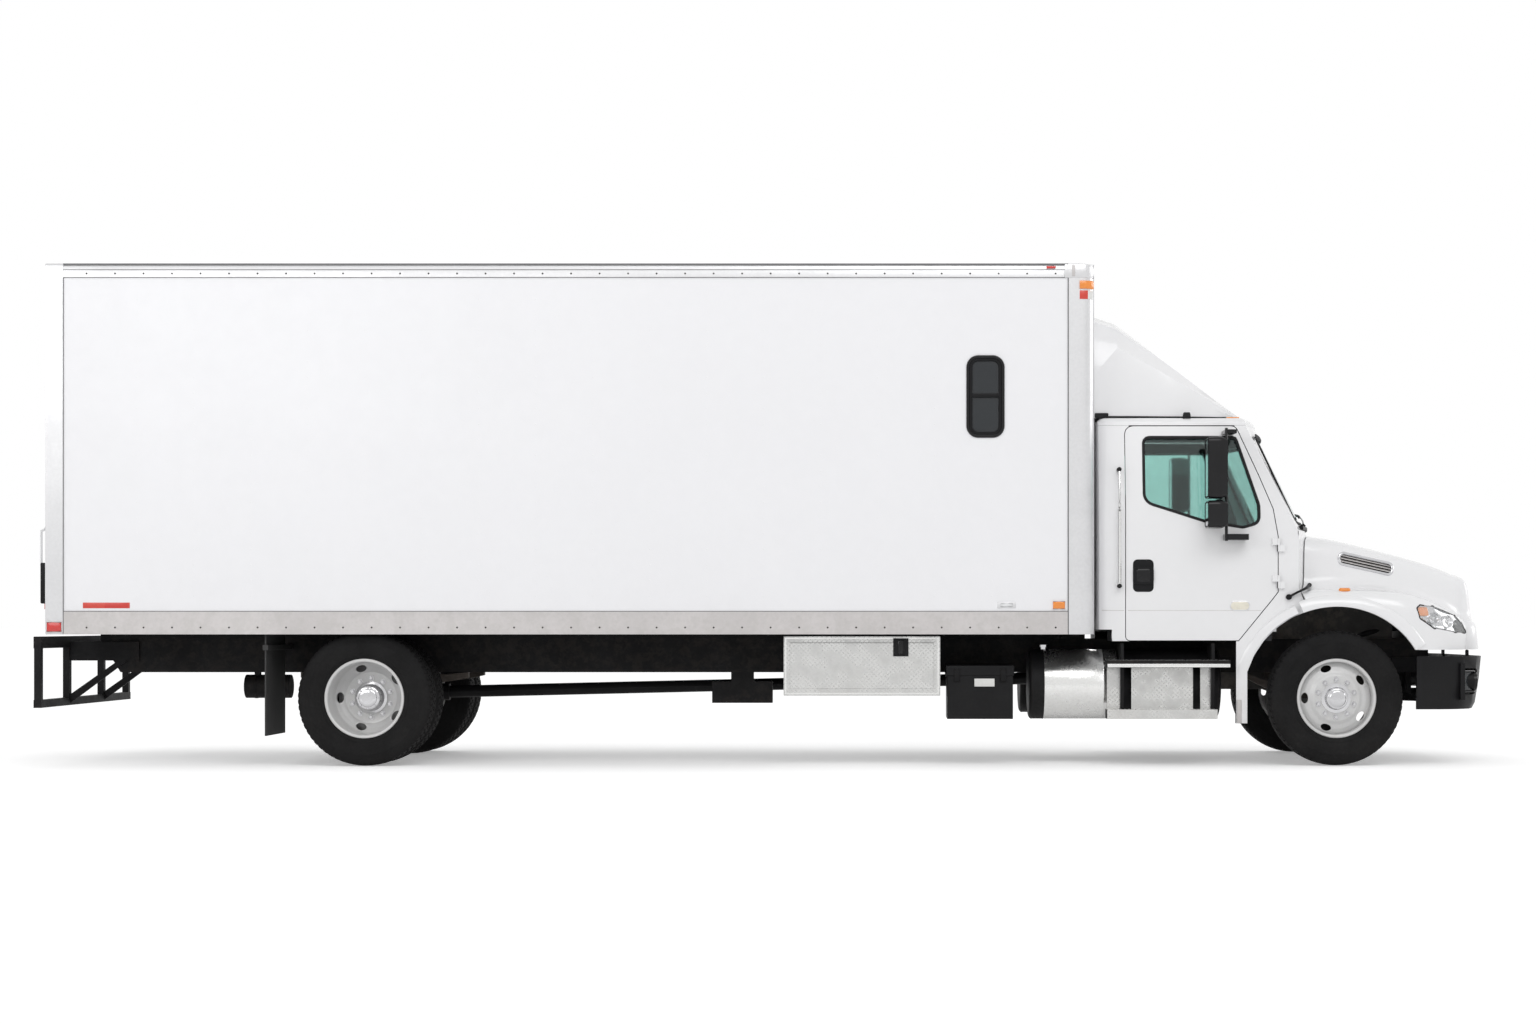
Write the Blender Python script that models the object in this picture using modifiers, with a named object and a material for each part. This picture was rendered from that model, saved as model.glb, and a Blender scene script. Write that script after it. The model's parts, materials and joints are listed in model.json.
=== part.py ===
"""Conventional-cab box truck, in metres.

+X is the nose, +Y the truck's left side, +Z up. The origin is on the ground
below the middle of the truck. Outlines seen from the side are (x, z) pairs,
outlines seen from above are (x, y), and cross-sections are (y, z).
"""
import math

import bmesh
import bpy
from mathutils import Matrix, Vector

SIDES = {"right": -1.0, "left": 1.0}

# Clearances
SEAT = 0.0003
PIN_GAP = 0.0005
GLASS_GAP = 0.0007
DOOR_GAP = 0.006
MERGE = 0.00001
BITE = 0.004

# Wheels and tyres
WHEEL_FACETS = 24
TYRE_RADIUS = 0.518
TYRE_HALF_WIDTH = 0.140
TREAD_HALF_WIDTH = 0.105
SHOULDER_DROP = 0.030
BEAD_RADIUS = 0.2863
BEAD_HALF_WIDTH = 0.1125
FLANGE_RADIUS = 0.302
FLANGE_WIDTH = 0.010
BARREL_WALL = 0.010
DRUM_RADIUS = 0.190
SPINDLE_RADIUS = 0.045
REAR_TUBE_RADIUS = 0.060
TWIN_SPACING = 0.335
HAND_HOLES = 5
HAND_HOLE_RADIUS = 0.232
HAND_HOLE_ALONG = 0.040
HAND_HOLE_ACROSS = 0.028
WHEEL_HEIGHT = TYRE_RADIUS * math.cos(math.pi / WHEEL_FACETS)
FRONT_AXLE_X = 4.355
REAR_AXLE_X = -3.023
FRONT_WHEEL_Y = 1.025
REAR_WHEEL_Y = 0.9225

# Chassis
FRAME_HALF = 0.430
FRAME_TOP = 0.960
FRAME_DEPTH = 0.262
FRAME_FLANGE = 0.080
FRAME_WEB = 0.012
FRAME_REAR = -5.260
FRAME_TAIL_RISE = 0.160
FRAME_FRONT = 5.200
CROSS_MEMBER_X = (-5.00, -4.05, -2.20, -0.90, 0.40, 1.70, 2.45, 5.06)
CROSS_MEMBER_WIDTH = 0.080
CROSS_MEMBER_DEPTH = 0.160
FRAME_BOTTOM = FRAME_TOP - FRAME_DEPTH
VALVE_BOX_X = (-0.442, 0.032)
VALVE_BOX_Y = (-0.425, -0.300)
VALVE_BOX_Z = (0.456, 0.623)
SHAFT_RADIUS = 0.048
YOKE_LENGTH = 0.060
CENTRE_BEARING_X = 0.400
GEARBOX_REAR = 2.900
GEARBOX_Z = 0.660
ENGINE_X = (3.930, 4.940)
ENGINE_HALF = 0.320
ENGINE_Z = (0.600, 1.400)
RADIATOR_X = (5.030, 5.100)
RADIATOR_HALF = 0.400
RADIATOR_TOP = 1.330

# Front axle and steering
BEAM_HEIGHT = 0.110
BEAM_WIDTH = 0.100
BEAM_DROP = 0.080
BEAM_BENDS = (0.520, 0.780)
KINGPIN_Y = 0.860
KINGPIN_BOSS_RADIUS = 0.040
KNUCKLE_GAP = 0.005
KNUCKLE_PLATE = 0.025
SPINDLE_REACH = 0.040
FRONT_DRUM_BACK = -0.085
REAR_DRUM_BACK = -0.200
KINGPIN_BOSS_HALF = 0.055
FORK_THICKNESS = 0.030
STEER_ARM_LENGTH = 0.200
TIE_ROD_RADIUS = 0.018
TIE_EYE_RADIUS = 0.028
TIE_EYE_HEIGHT = 0.044
REAR_HOUSING_RADIUS = 0.075
BANJO_RADIUS = 0.205
PINION_X = -2.640
PINION_Z = WHEEL_HEIGHT + 0.020
SPRING_WIDTH = 0.080
FRONT_SPRING_HALF = 0.600
REAR_SPRING_HALF = 0.660
SPRING_Y = 0.390
SPRING_PACK = 0.075
SPRING_EYE = 0.040

# Load body
BOX_REAR = -5.412
BOX_FRONT = 2.508
BOX_BOTTOM = 1.000
BOX_TOP = 3.800
BOX_HALF = 1.295
BOX_WALL = 0.036
RAIL_STEP = 0.006
BOTTOM_RAIL = 0.177
TOP_RAIL = 0.110
TOP_RAIL_WIDTH = 0.050
FRONT_WALL = 0.045
LAMP_PROUD = 0.014
REAR_POST = 0.136
FRONT_POST = 0.203
FRONT_CORNER_RADIUS = 0.100
DECK_TOP = 1.150
DECK_THICKNESS = 0.040
SILL_PITCH = 0.600
SILL_WIDTH = 0.060
LONG_SILL_WIDTH = 0.070
ROOF_THICKNESS = 0.040
REAR_POST_FACE = 0.165
REAR_HEADER = 0.240
REAR_LAMPS_Y = (0.0, 0.200, BOX_HALF - 0.115)
DOOR_OPENING_HALF = BOX_HALF - REAR_POST_FACE
DOOR_OPENING_TOP = BOX_TOP - REAR_HEADER
SLAT_PITCH = 0.300
SLAT_GROOVE = 0.012
WINDOW_X = (1.534, 1.827)
WINDOW_Z = (2.481, 3.108)
WINDOW_RADIUS = 0.085
WINDOW_FRAME = 0.030
WINDOW_LIP = 0.018
WINDOW_PROUD = 0.012
WINDOW_SIDE = "box_side_right"

# Cab
CAB_REAR = 2.549
CAB_BOTTOM = 0.948
CAB_HALF = 1.080
CAB_WALL = 0.050
ROOF_SEAM = 2.600
ROOF_RISE = 0.060
CAB_ROOF = ROOF_SEAM + ROOF_RISE
ROOF_ROUND = 0.045
BELT = 1.950
TAPER = 0.140
CAB_FLOOR_TOP = 1.060
CAB_PAN = 1.020
CAB_SILL_INNER = 0.600
CAB_NOTCH_X = 2.655
CAB_NOTCH_Z = 1.036
DOOR_REAR = 2.760
DOOR_FRONT = 3.918
DOOR_BOTTOM = 0.953
DOOR_TOP = ROOF_SEAM - DOOR_GAP
DOOR_GLASS_TOP = ROOF_SEAM - 0.091
FIREWALL_X = 3.880
FIREWALL_WALL = 0.030
COWL_Z = (1.725, 1.758)
SCREEN_BASE = (4.232, 1.854)
SCREEN_HEAD = (3.909, ROOF_SEAM - 0.073)
SCREEN_WRAP = 0.190
SCREEN_THICKNESS = 0.012
SCREEN_FRAME = 0.050
SCREEN_HALF_BASE = 0.985
SCREEN_HALF_HEAD = 0.960
SEAM_GAP = 0.004
SEAM_CENTRE_X = 4.275
SEAM_SIDE_X = 4.080
LEG_REAR_X = 3.600
LEG_FRONT_X = 3.685
LEG_BOTTOM = 0.320
ARCH_RADIUS = 0.700
ARCH_Z = 0.510
HINGE_X = 3.921
HINGE_Y = 1.102
HINGE_STRAP = 0.048
HINGE_RADIUS = 0.012
HINGE_HEIGHTS = (1.400, 1.680)
HINGE_LENGTH = 0.050
MIRROR_ARM = (3.506, 1.230)
MIRROR_Y = (1.140, 1.375)
MIRROR_ARM_Z = (1.707, 2.562)
MIRROR_ARM_RADIUS = 0.012
MIRROR_HEADS = ((2.023, 2.491), (1.800, 2.012))
MIRROR_CORNER = 0.035
DRIVER_Y = 0.480
SEAT_HALF = 0.260
SEAT_BACK_GAP = 0.131
SEAT_BASE = 0.270
SEAT_HEADROOM = 0.320
DASH_BOTTOM = 1.300
STEERING_RADIUS = 0.215
ROOF_LAMP_Y = (-0.920, -0.200, 0.0, 0.200, 0.920)

# Hood
HOOD_WALL = 0.028
FENDER_HALF = 1.190
HOOD_REACH = FENDER_HALF + 0.105
HOOD_BOTTOM = 0.882
HOOD_FRONT = 5.523
HOOD_PIVOT_X = 5.503
HOOD_PIVOT_Z = 0.866
HOOD_PIN_RADIUS = 0.010
HOOD_LUG_Y = 0.420
HOOD_LUG_WIDTH = 0.040
NOSE_RAKE = 0.0916
LAMP_INNER_Y = 0.700
VENT_CENTRE = (4.642, 1.545)
VENT_LENGTH = 0.420
VENT_HEIGHT = 0.022
VENT_PITCH = 0.042
VENT_SLOTS = 2
VENT_SLOPE = -12.0
GRILLE_HALF = 0.500
GRILLE_Z = (0.975, 1.325)
GRILLE_BARS = 6
GRILLE_DEPTH = 0.034
GRILLE_RIM = 0.030
GRILLE_BAR = 0.012
FAIRING_WALL = 0.020

# Bumper and side equipment
BUMPER_Z = (0.430, 0.833)
BUMPER_FRONT = 5.549
BUMPER_HALF = 1.165
BUMPER_REAR = 4.961
BUMPER_WALL = 0.040
BUMPER_RECESS_X = (5.300, 5.470)
BUMPER_RECESS_Z = (0.540, 0.740)
FOG_LAMP_RADIUS = 0.075
TANK_X = (2.029, 3.500)
TANK_RADIUS = 0.271
TANK_Y = 0.735
TANK_Z = 0.614
STEP_X = (2.607, 3.544)
STEP_OUTER = 1.190
STEP_RISERS = ((0.010, 0.110), (0.196, 0.472), (0.723, 0.104))
HANGER_TOP = 0.930
HANGER_FOOT = 0.500
STEP_LOW_Z = (0.358, 0.430)
STEP_HIGH_Z = (0.748, 0.804)
BRACKET = 0.020
BATTERY_X = (1.396, 1.898)
BATTERY_Y = (0.620, 1.090)
BATTERY_Z = (0.354, 0.761)
BATTERY_LID = 0.071
TOOLBOX_X = (0.153, 1.342)
TOOLBOX_Z = (0.534, 0.986)
TOOLBOX_Y = (0.620, 1.150)
TOOLBOX_WALL = 0.020
LID_GAP = 0.0008
LID_THICKNESS = 0.030
LID_RAISE = 0.004
AIR_TANK_X = (-4.120, -3.766)
AIR_TANK_RADIUS = 0.0925
MUD_FLAP_X = -3.766
MUD_FLAP_THICKNESS = 0.012
MUD_FLAP_BOTTOM = 0.230
FLAP_ARM = 0.040
GUARD_REAR = -5.549
GUARD_DEPTH = 0.060
GUARD_HALF = 1.150
GUARD_Z = (0.440, 0.983)
GUARD_BEAM = 0.090
GUARD_BAR = 0.060
GUARD_POST = 0.056


def linked_collection(name):
    """Make a collection and link it to the scene."""
    collection = bpy.data.collections.new(name)
    bpy.context.scene.collection.children.link(collection)
    return collection


for old in list(bpy.data.objects):
    bpy.data.objects.remove(old, do_unlink=True)
PARTS = linked_collection("box_truck")
CUTTERS = linked_collection("cutters")


def material(name, colour, roughness, metallic=0.0, alpha=1.0):
    """A Principled material."""
    made = bpy.data.materials.new(name)
    made.use_nodes = True
    shader = made.node_tree.nodes["Principled BSDF"]
    shader.inputs["Base Color"].default_value = (*colour, 1.0)
    shader.inputs["Roughness"].default_value = roughness
    shader.inputs["Metallic"].default_value = metallic
    shader.inputs["Alpha"].default_value = alpha
    made.diffuse_color = (*colour, 1.0)
    return made


WHITE_PAINT = (0.80, 0.80, 0.78)
BLACK_PAINT = (0.03, 0.03, 0.03)
STEEL = (0.45, 0.45, 0.46)
ALUMINIUM = (0.70, 0.71, 0.72)
RUBBER = (0.025, 0.025, 0.025)
GLASS = (0.10, 0.26, 0.26)
CLOTH = (0.16, 0.16, 0.17)


def add(name, bm, location=(0.0, 0.0, 0.0)):
    """Make an object from a bmesh."""
    bmesh.ops.recalc_face_normals(bm, faces=bm.faces)
    mesh = bpy.data.meshes.new(name)
    bm.to_mesh(mesh)
    bm.free()
    made = bpy.data.objects.new(name, mesh)
    made.location = location
    CUTTERS.objects.link(made)
    return made


def box(x, y, z, name="block"):
    """A box between the two ends of each range."""
    low = Vector((min(x), min(y), min(z)))
    high = Vector((max(x), max(y), max(z)))
    bm = bmesh.new()
    bmesh.ops.create_cube(bm, size=1.0)
    bmesh.ops.scale(bm, vec=high - low, verts=bm.verts)
    return add(name, bm, (low + high) / 2)


def rod(start, end, radius, facets=12, end_radius=None, name="rod"):
    """A cylinder or cone between two points."""
    start, end = Vector(start), Vector(end)
    run = end - start
    bm = bmesh.new()
    tip = radius if end_radius is None else end_radius
    bmesh.ops.create_cone(bm, cap_ends=True, segments=facets, radius1=radius,
                          radius2=tip, depth=run.length)
    turn = Vector((0.0, 0.0, 1.0)).rotation_difference(run.normalized())
    bmesh.ops.rotate(bm, matrix=turn.to_matrix(), verts=bm.verts)
    return add(name, bm, (start + end) / 2)


def ball(centre, radius, stretch=(1.0, 1.0, 1.0), facets=14, name="ball"):
    """A sphere, stretched along its axes."""
    bm = bmesh.new()
    bmesh.ops.create_uvsphere(bm, u_segments=facets, v_segments=facets // 2, radius=radius)
    bmesh.ops.scale(bm, vec=stretch, verts=bm.verts)
    return add(name, bm, centre)


def rounded(corners, steps=3):
    """An outline from (a, b, radius) corners, with an arc at each radius."""
    points = []
    count = len(corners)
    for index, (a, b, radius) in enumerate(corners):
        here = Vector((a, b))
        if radius == 0.0:
            points.append((a, b))
            continue
        back = (Vector(corners[index - 1][:2]) - here).normalized()
        ahead = (Vector(corners[(index + 1) % count][:2]) - here).normalized()
        half = back.angle(ahead) / 2
        centre = here + (back + ahead).normalized() * radius / math.sin(half)
        first = here + back * radius / math.tan(half) - centre
        sweep = first.angle_signed(here + ahead * radius / math.tan(half) - centre)
        for step in range(steps + 1):
            angle = -sweep * step / steps
            turned = Matrix.Rotation(angle, 2) @ first
            points.append(tuple(centre + turned))
    return points


def rectangle(a, b, radius=0.0):
    """The outline of a rectangle, with rounded corners if a radius is given."""
    corners = ((a[0], b[0]), (a[1], b[0]), (a[1], b[1]), (a[0], b[1]))
    return rounded([(*corner, radius) for corner in corners])


PLANES = {
    "xz": Matrix(((1, 0, 0), (0, 0, 1), (0, 1, 0))),
    "yz": Matrix(((0, 0, 1), (1, 0, 0), (0, 1, 0))),
    "xy": Matrix(((1, 0, 0), (0, 1, 0), (0, 0, 1))),
}


def plate(outline, plane, span, holes=(), name="plate"):
    """A flat outline in the named plane, thickened over the span of the third axis."""
    curve = bpy.data.curves.new(name, "CURVE")
    curve.dimensions = "2D"
    curve.fill_mode = "BOTH"
    curve.extrude = abs(span[1] - span[0]) / 2
    for loop in (outline, *holes):
        spline = curve.splines.new("POLY")
        spline.points.add(len(loop) - 1)
        for point, (a, b) in zip(spline.points, loop):
            point.co = (a, b, 0.0, 1.0)
        spline.use_cyclic_u = True
    drawn = bpy.data.objects.new(name, curve)
    CUTTERS.objects.link(drawn)
    bm = mesh_of(drawn)
    bpy.data.objects.remove(drawn, do_unlink=True)
    bmesh.ops.translate(bm, vec=(0.0, 0.0, (span[0] + span[1]) / 2), verts=bm.verts)
    bmesh.ops.transform(bm, matrix=PLANES[plane].to_4x4(), verts=bm.verts)
    bmesh.ops.dissolve_limit(bm, angle_limit=math.radians(0.5), verts=bm.verts, edges=bm.edges)
    return add(name, bm)


def mesh_of(source):
    """A welded bmesh of an object as it is evaluated, in world space."""
    graph = bpy.context.evaluated_depsgraph_get()
    shown = source.evaluated_get(graph)
    mesh = bpy.data.meshes.new_from_object(shown)
    bm = bmesh.new()
    bm.from_mesh(mesh)
    bpy.data.meshes.remove(mesh)
    bmesh.ops.transform(bm, matrix=shown.matrix_world, verts=bm.verts)
    bmesh.ops.remove_doubles(bm, verts=bm.verts, dist=MERGE)
    return bm


def tube(points, radius, name="tube", facets=2):
    """A bent round bar along points."""
    curve = bpy.data.curves.new(name, "CURVE")
    curve.dimensions = "3D"
    curve.bevel_depth = radius
    curve.bevel_resolution = facets
    curve.use_fill_caps = True
    spline = curve.splines.new("POLY")
    spline.points.add(len(points) - 1)
    for point, place in zip(spline.points, points):
        point.co = (*place, 1.0)
    drawn = bpy.data.objects.new(name, curve)
    CUTTERS.objects.link(drawn)
    bm = mesh_of(drawn)
    bpy.data.objects.remove(drawn, do_unlink=True)
    return add(name, bm)


def turned(profile, centre, side, facets, name="turned"):
    """A profile of (radius, outward) points revolved about a line along Y.

    The first facet is centred below the axis, so that a wheel stands on a flat.
    """
    bm = bmesh.new()
    verts = [bm.verts.new((radius, 0.0, out)) for radius, out in profile]
    for first, second in zip(verts, verts[1:]):
        bm.edges.new((first, second))
    if profile[0][0] > 0.0:
        bm.edges.new((verts[-1], verts[0]))
    mesh = bpy.data.meshes.new(name)
    bm.to_mesh(mesh)
    bm.free()
    made = bpy.data.objects.new(name, mesh)
    CUTTERS.objects.link(made)
    screw = made.modifiers.new("turn", "SCREW")
    screw.angle = 2 * math.pi
    screw.steps = facets
    screw.render_steps = facets
    screw.use_merge_vertices = True
    screw.merge_threshold = MERGE
    half_facet = math.pi / facets
    made.matrix_world = (Matrix.Translation(centre)
                         @ Matrix.Rotation(-side * math.pi / 2, 4, "X")
                         @ Matrix.Rotation(side * math.pi / 2 + half_facet, 4, "Z"))
    return made


def combine(target, others, operation):
    """Join or cut the target with each of the others."""
    for other in others:
        change = target.modifiers.new(operation.lower(), "BOOLEAN")
        change.operation = operation
        change.object = other
        other.hide_render = True
        other.display_type = "WIRE"
    return target


def fuse(target, *others):
    """One solid of the target and the others."""
    return combine(target, others, "UNION")


def cut(target, *others):
    """The target without the others."""
    return combine(target, others, "DIFFERENCE")


def keep_inside(target, *others):
    """What the target shares with the others."""
    return combine(target, others, "INTERSECT")


def narrowed(source):
    """The same solid drawn in toward the roof above the belt line."""
    bm = mesh_of(source)
    geometry = bm.verts[:] + bm.edges[:] + bm.faces[:]
    bmesh.ops.bisect_plane(bm, geom=geometry, dist=MERGE, plane_co=(0.0, 0.0, BELT),
                           plane_no=(0.0, 0.0, 1.0))
    for vert in bm.verts:
        vert.co.y *= cab_width_at(vert.co.z)
    bpy.data.objects.remove(source, do_unlink=True)
    return add("narrowed", bm)


def cab_width_at(height):
    """The cab's width at a height, as a share of its width at the belt line."""
    return 1.0 - TAPER * max(0.0, height - BELT)


def finish(made, name, paint, parent=None):
    """Name a finished piece, paint it and put it with the truck's parts."""
    made.name = name
    made.data.name = name
    made.data.materials.clear()
    made.data.materials.append(paint)
    made.hide_render = False
    made.display_type = "TEXTURED"
    CUTTERS.objects.unlink(made)
    PARTS.objects.link(made)
    if parent is not None:
        made.parent = parent
        made.matrix_parent_inverse = Matrix.Translation(parent.location).inverted()
    return made


def pivot(name, place):
    """An empty on a joint's axis."""
    made = bpy.data.objects.new(name, None)
    made.location = place
    made.empty_display_size = 0.2
    PARTS.objects.link(made)
    return made


def own(name, colour, roughness, metallic=0.0, alpha=1.0):
    """The material of one piece."""
    return material(name + "_finish", colour, roughness, metallic, alpha)


# Chassis


def frame_rail(side):
    """A channel rail with its flanges inward and its tail cut on a slope."""
    web_in = FRAME_HALF - FRAME_WEB
    flange_in = FRAME_HALF - FRAME_FLANGE
    section = [(FRAME_HALF, FRAME_BOTTOM), (FRAME_HALF, FRAME_TOP), (flange_in, FRAME_TOP),
               (flange_in, FRAME_TOP - FRAME_WEB), (web_in, FRAME_TOP - FRAME_WEB),
               (web_in, FRAME_BOTTOM + FRAME_WEB), (flange_in, FRAME_BOTTOM + FRAME_WEB),
               (flange_in, FRAME_BOTTOM)]
    rail = plate([(side * y, z) for y, z in section], "yz", (FRAME_REAR, FRAME_FRONT))
    low = FRAME_BOTTOM - BITE
    tail = [(FRAME_REAR - BITE, low), (FRAME_REAR + FRAME_TAIL_RISE, low),
            (FRAME_REAR - BITE, FRAME_TOP - BITE)]
    return cut(rail, plate(tail, "xz", (-FRAME_HALF * 2, FRAME_HALF * 2)))


def chassis_frame():
    """The ladder frame: two rails, cross-members and a small valve box below."""
    frame = frame_rail(1.0)
    reach = FRAME_HALF - FRAME_WEB / 2
    middle = (FRAME_TOP + FRAME_BOTTOM) / 2
    members = []
    for x in CROSS_MEMBER_X:
        members.append(box((x - CROSS_MEMBER_WIDTH / 2, x + CROSS_MEMBER_WIDTH / 2), (-reach, reach),
                           (middle - CROSS_MEMBER_DEPTH / 2, middle + CROSS_MEMBER_DEPTH / 2)))
    valve_box = box(VALVE_BOX_X, VALVE_BOX_Y, VALVE_BOX_Z)
    hanger = box((VALVE_BOX_X[0] + 0.15, VALVE_BOX_X[1] - 0.15), VALVE_BOX_Y,
                 (VALVE_BOX_Z[1] - BITE, FRAME_BOTTOM + BITE))
    fuse(frame, frame_rail(-1.0), *members, valve_box, hanger)
    return finish(frame, "chassis_frame", own("chassis_frame", BLACK_PAINT, 0.55))


def spring_pack(axle_x, half, seat_z, y, name):
    """A leaf spring pack: a flat arc from eye to eye, thicker at the axle."""
    steps = 6
    top = FRAME_BOTTOM - SEAT
    bottom_arc, top_arc = [], []
    for step in range(-steps, steps + 1):
        share = step / steps
        bend = share * share
        x = axle_x + half * share
        low = seat_z + (top - SPRING_EYE - seat_z) * bend
        thick = SPRING_PACK + (SPRING_EYE - SPRING_PACK) * bend
        bottom_arc.append((x, low))
        top_arc.append((x, low + thick))
    outline = bottom_arc + top_arc[::-1]
    return plate(outline, "xz", (y - SPRING_WIDTH / 2, y + SPRING_WIDTH / 2), name=name)


def front_axle():
    """A forged drop beam with a kingpin boss at each end, and its two springs."""
    boss_z = WHEEL_HEIGHT
    beam_z = boss_z - BEAM_DROP
    half = BEAM_HEIGHT / 2
    bend_in, bend_out = BEAM_BENDS
    right = [(bend_in, beam_z - half), (bend_out, boss_z - half * 0.72), (KINGPIN_Y, boss_z - half * 0.64),
             (KINGPIN_Y, boss_z + half * 0.64), (bend_out, boss_z + half * 0.72), (bend_in, beam_z + half)]
    outline = right + [(-y, z) for y, z in right[::-1]]
    x = (FRONT_AXLE_X - BEAM_WIDTH / 2, FRONT_AXLE_X + BEAM_WIDTH / 2)
    beam = plate(outline, "yz", x)
    for side in SIDES.values():
        centre = Vector((FRONT_AXLE_X, side * KINGPIN_Y, boss_z))
        rise = Vector((0.0, 0.0, KINGPIN_BOSS_HALF))
        fuse(beam, rod(centre - rise, centre + rise, KINGPIN_BOSS_RADIUS, 16))
        seat_z = beam_z + half - BITE
        fuse(beam, spring_pack(FRONT_AXLE_X, FRONT_SPRING_HALF, seat_z, side * SPRING_Y, "front_spring"))
    return finish(beam, "front_axle", own("front_axle", BLACK_PAINT, 0.6, 0.2))


def rear_axle():
    """The driven axle: a banjo housing with tubes to the hubs, and its two springs."""
    hub_reach = REAR_WHEEL_Y - 0.230
    spindle_reach = REAR_WHEEL_Y + 0.080
    centre = (REAR_AXLE_X, 0.0, WHEEL_HEIGHT)
    tube_z = Vector((REAR_AXLE_X, 0.0, WHEEL_HEIGHT))
    axle = rod(tube_z - Vector((0, hub_reach, 0)), tube_z + Vector((0, hub_reach, 0)),
               REAR_HOUSING_RADIUS, 20)
    spindle = rod(tube_z - Vector((0, spindle_reach, 0)), tube_z + Vector((0, spindle_reach, 0)),
                  REAR_TUBE_RADIUS, 20)
    banjo = ball(centre, BANJO_RADIUS, (1.0, 0.72, 1.0))
    nose = rod((REAR_AXLE_X, 0.0, PINION_Z), (PINION_X, 0.0, PINION_Z), 0.110, 16, 0.060)
    fuse(axle, spindle, banjo, nose)
    for side in SIDES.values():
        seat_z = WHEEL_HEIGHT + REAR_HOUSING_RADIUS - BITE
        fuse(axle, spring_pack(REAR_AXLE_X, REAR_SPRING_HALF, seat_z, side * SPRING_Y, "rear_spring"))
    return finish(axle, "rear_axle", own("rear_axle", BLACK_PAINT, 0.6, 0.2))


def drive_shaft():
    """A two-piece propeller shaft with its centre bearing hung from a cross-member."""
    rear = Vector((PINION_X + SEAT, 0.0, PINION_Z))
    front = Vector((GEARBOX_REAR - SEAT, 0.0, GEARBOX_Z))
    share = (CENTRE_BEARING_X - rear.x) / (front.x - rear.x)
    middle = rear.lerp(front, share)
    yoke = Vector((YOKE_LENGTH, 0.0, 0.0))
    shaft = rod(rear + yoke / 2, front - yoke / 2, SHAFT_RADIUS, 12)
    bearing = rod(middle - Vector((0.04, 0, 0)), middle + Vector((0.04, 0, 0)), 0.085, 16)
    under = (FRAME_TOP + FRAME_BOTTOM - CROSS_MEMBER_DEPTH) / 2 - SEAT
    hanger = box((middle.x - 0.025, middle.x + 0.025), (-0.070, 0.070), (middle.z, under))
    yokes = [rod(rear, rear + yoke, 0.068, 12), rod(front - yoke, front, 0.068, 12)]
    fuse(shaft, bearing, hanger, *yokes)
    return finish(shaft, "drive_shaft", own("drive_shaft", STEEL, 0.5, 0.6))


def engine():
    """The engine and gearbox as plain blocks, with mounts into the frame rails."""
    block = box(ENGINE_X, (-ENGINE_HALF, ENGINE_HALF), ENGINE_Z)
    gearbox = box((GEARBOX_REAR, ENGINE_X[0] + BITE), (-0.220, 0.220), (0.560, 0.960))
    mount_reach = FRAME_HALF - FRAME_WEB - SEAT
    mounts = box((4.300, 4.480), (-mount_reach, mount_reach), (0.740, 0.840))
    fuse(block, gearbox, mounts)
    return finish(block, "engine", own("engine", STEEL, 0.6, 0.4))


def radiator():
    """The radiator behind the grille, standing on the front cross-member."""
    core = box(RADIATOR_X, (-RADIATOR_HALF, RADIATOR_HALF), (FRAME_TOP + SEAT, RADIATOR_TOP))
    return finish(core, "radiator", own("radiator", BLACK_PAINT, 0.7))


# Front axle ends, steering and wheels


def knuckle(side, name, holder):
    """A steering knuckle: fork round the kingpin boss, spindle and steering arm."""
    x, y, z = FRONT_AXLE_X, KINGPIN_Y, WHEEL_HEIGHT
    inner = KINGPIN_BOSS_HALF + PIN_GAP
    outer = inner + FORK_THICKNESS
    face = y + KINGPIN_BOSS_RADIUS + KNUCKLE_GAP
    back = face + KNUCKLE_PLATE
    body = box((x - 0.052, x + 0.052), (side * face, side * back), (z - outer, z + outer))
    for sign in (-1.0, 1.0):
        fuse(body, box((x - KINGPIN_BOSS_RADIUS, x + KINGPIN_BOSS_RADIUS),
                       (side * (y - KINGPIN_BOSS_RADIUS), side * (face + BITE)),
                       (z + sign * inner, z + sign * outer)))
    arm_half = 0.024
    fuse(body, box((x - STEER_ARM_LENGTH - arm_half, x), (side * (y - arm_half), side * (y + arm_half)),
                   (z - outer + BITE / 4, z - inner - BITE / 4)))
    spindle_end = FRONT_WHEEL_Y + SPINDLE_REACH
    fuse(body, rod((x, side * (face + BITE), z), (x, side * spindle_end, z), SPINDLE_RADIUS, 20))
    return finish(body, name, own(name, STEEL, 0.55, 0.5), holder)


def tie_rod(holder):
    """The rod between the two steering arms, with an eye below each arm."""
    x = FRONT_AXLE_X - STEER_ARM_LENGTH
    arm_bottom = WHEEL_HEIGHT - KINGPIN_BOSS_HALF - PIN_GAP - FORK_THICKNESS + BITE / 4
    centre_z = arm_bottom - PIN_GAP - TIE_EYE_HEIGHT / 2
    bar = rod((x, -KINGPIN_Y, centre_z), (x, KINGPIN_Y, centre_z), TIE_ROD_RADIUS, 12)
    for side in SIDES.values():
        fuse(bar, rod((x, side * KINGPIN_Y, arm_bottom - PIN_GAP),
                      (x, side * KINGPIN_Y, arm_bottom - PIN_GAP - TIE_EYE_HEIGHT), TIE_EYE_RADIUS, 16))
    return finish(bar, "tie_rod", own("tie_rod", STEEL, 0.5, 0.6), holder)


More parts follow.
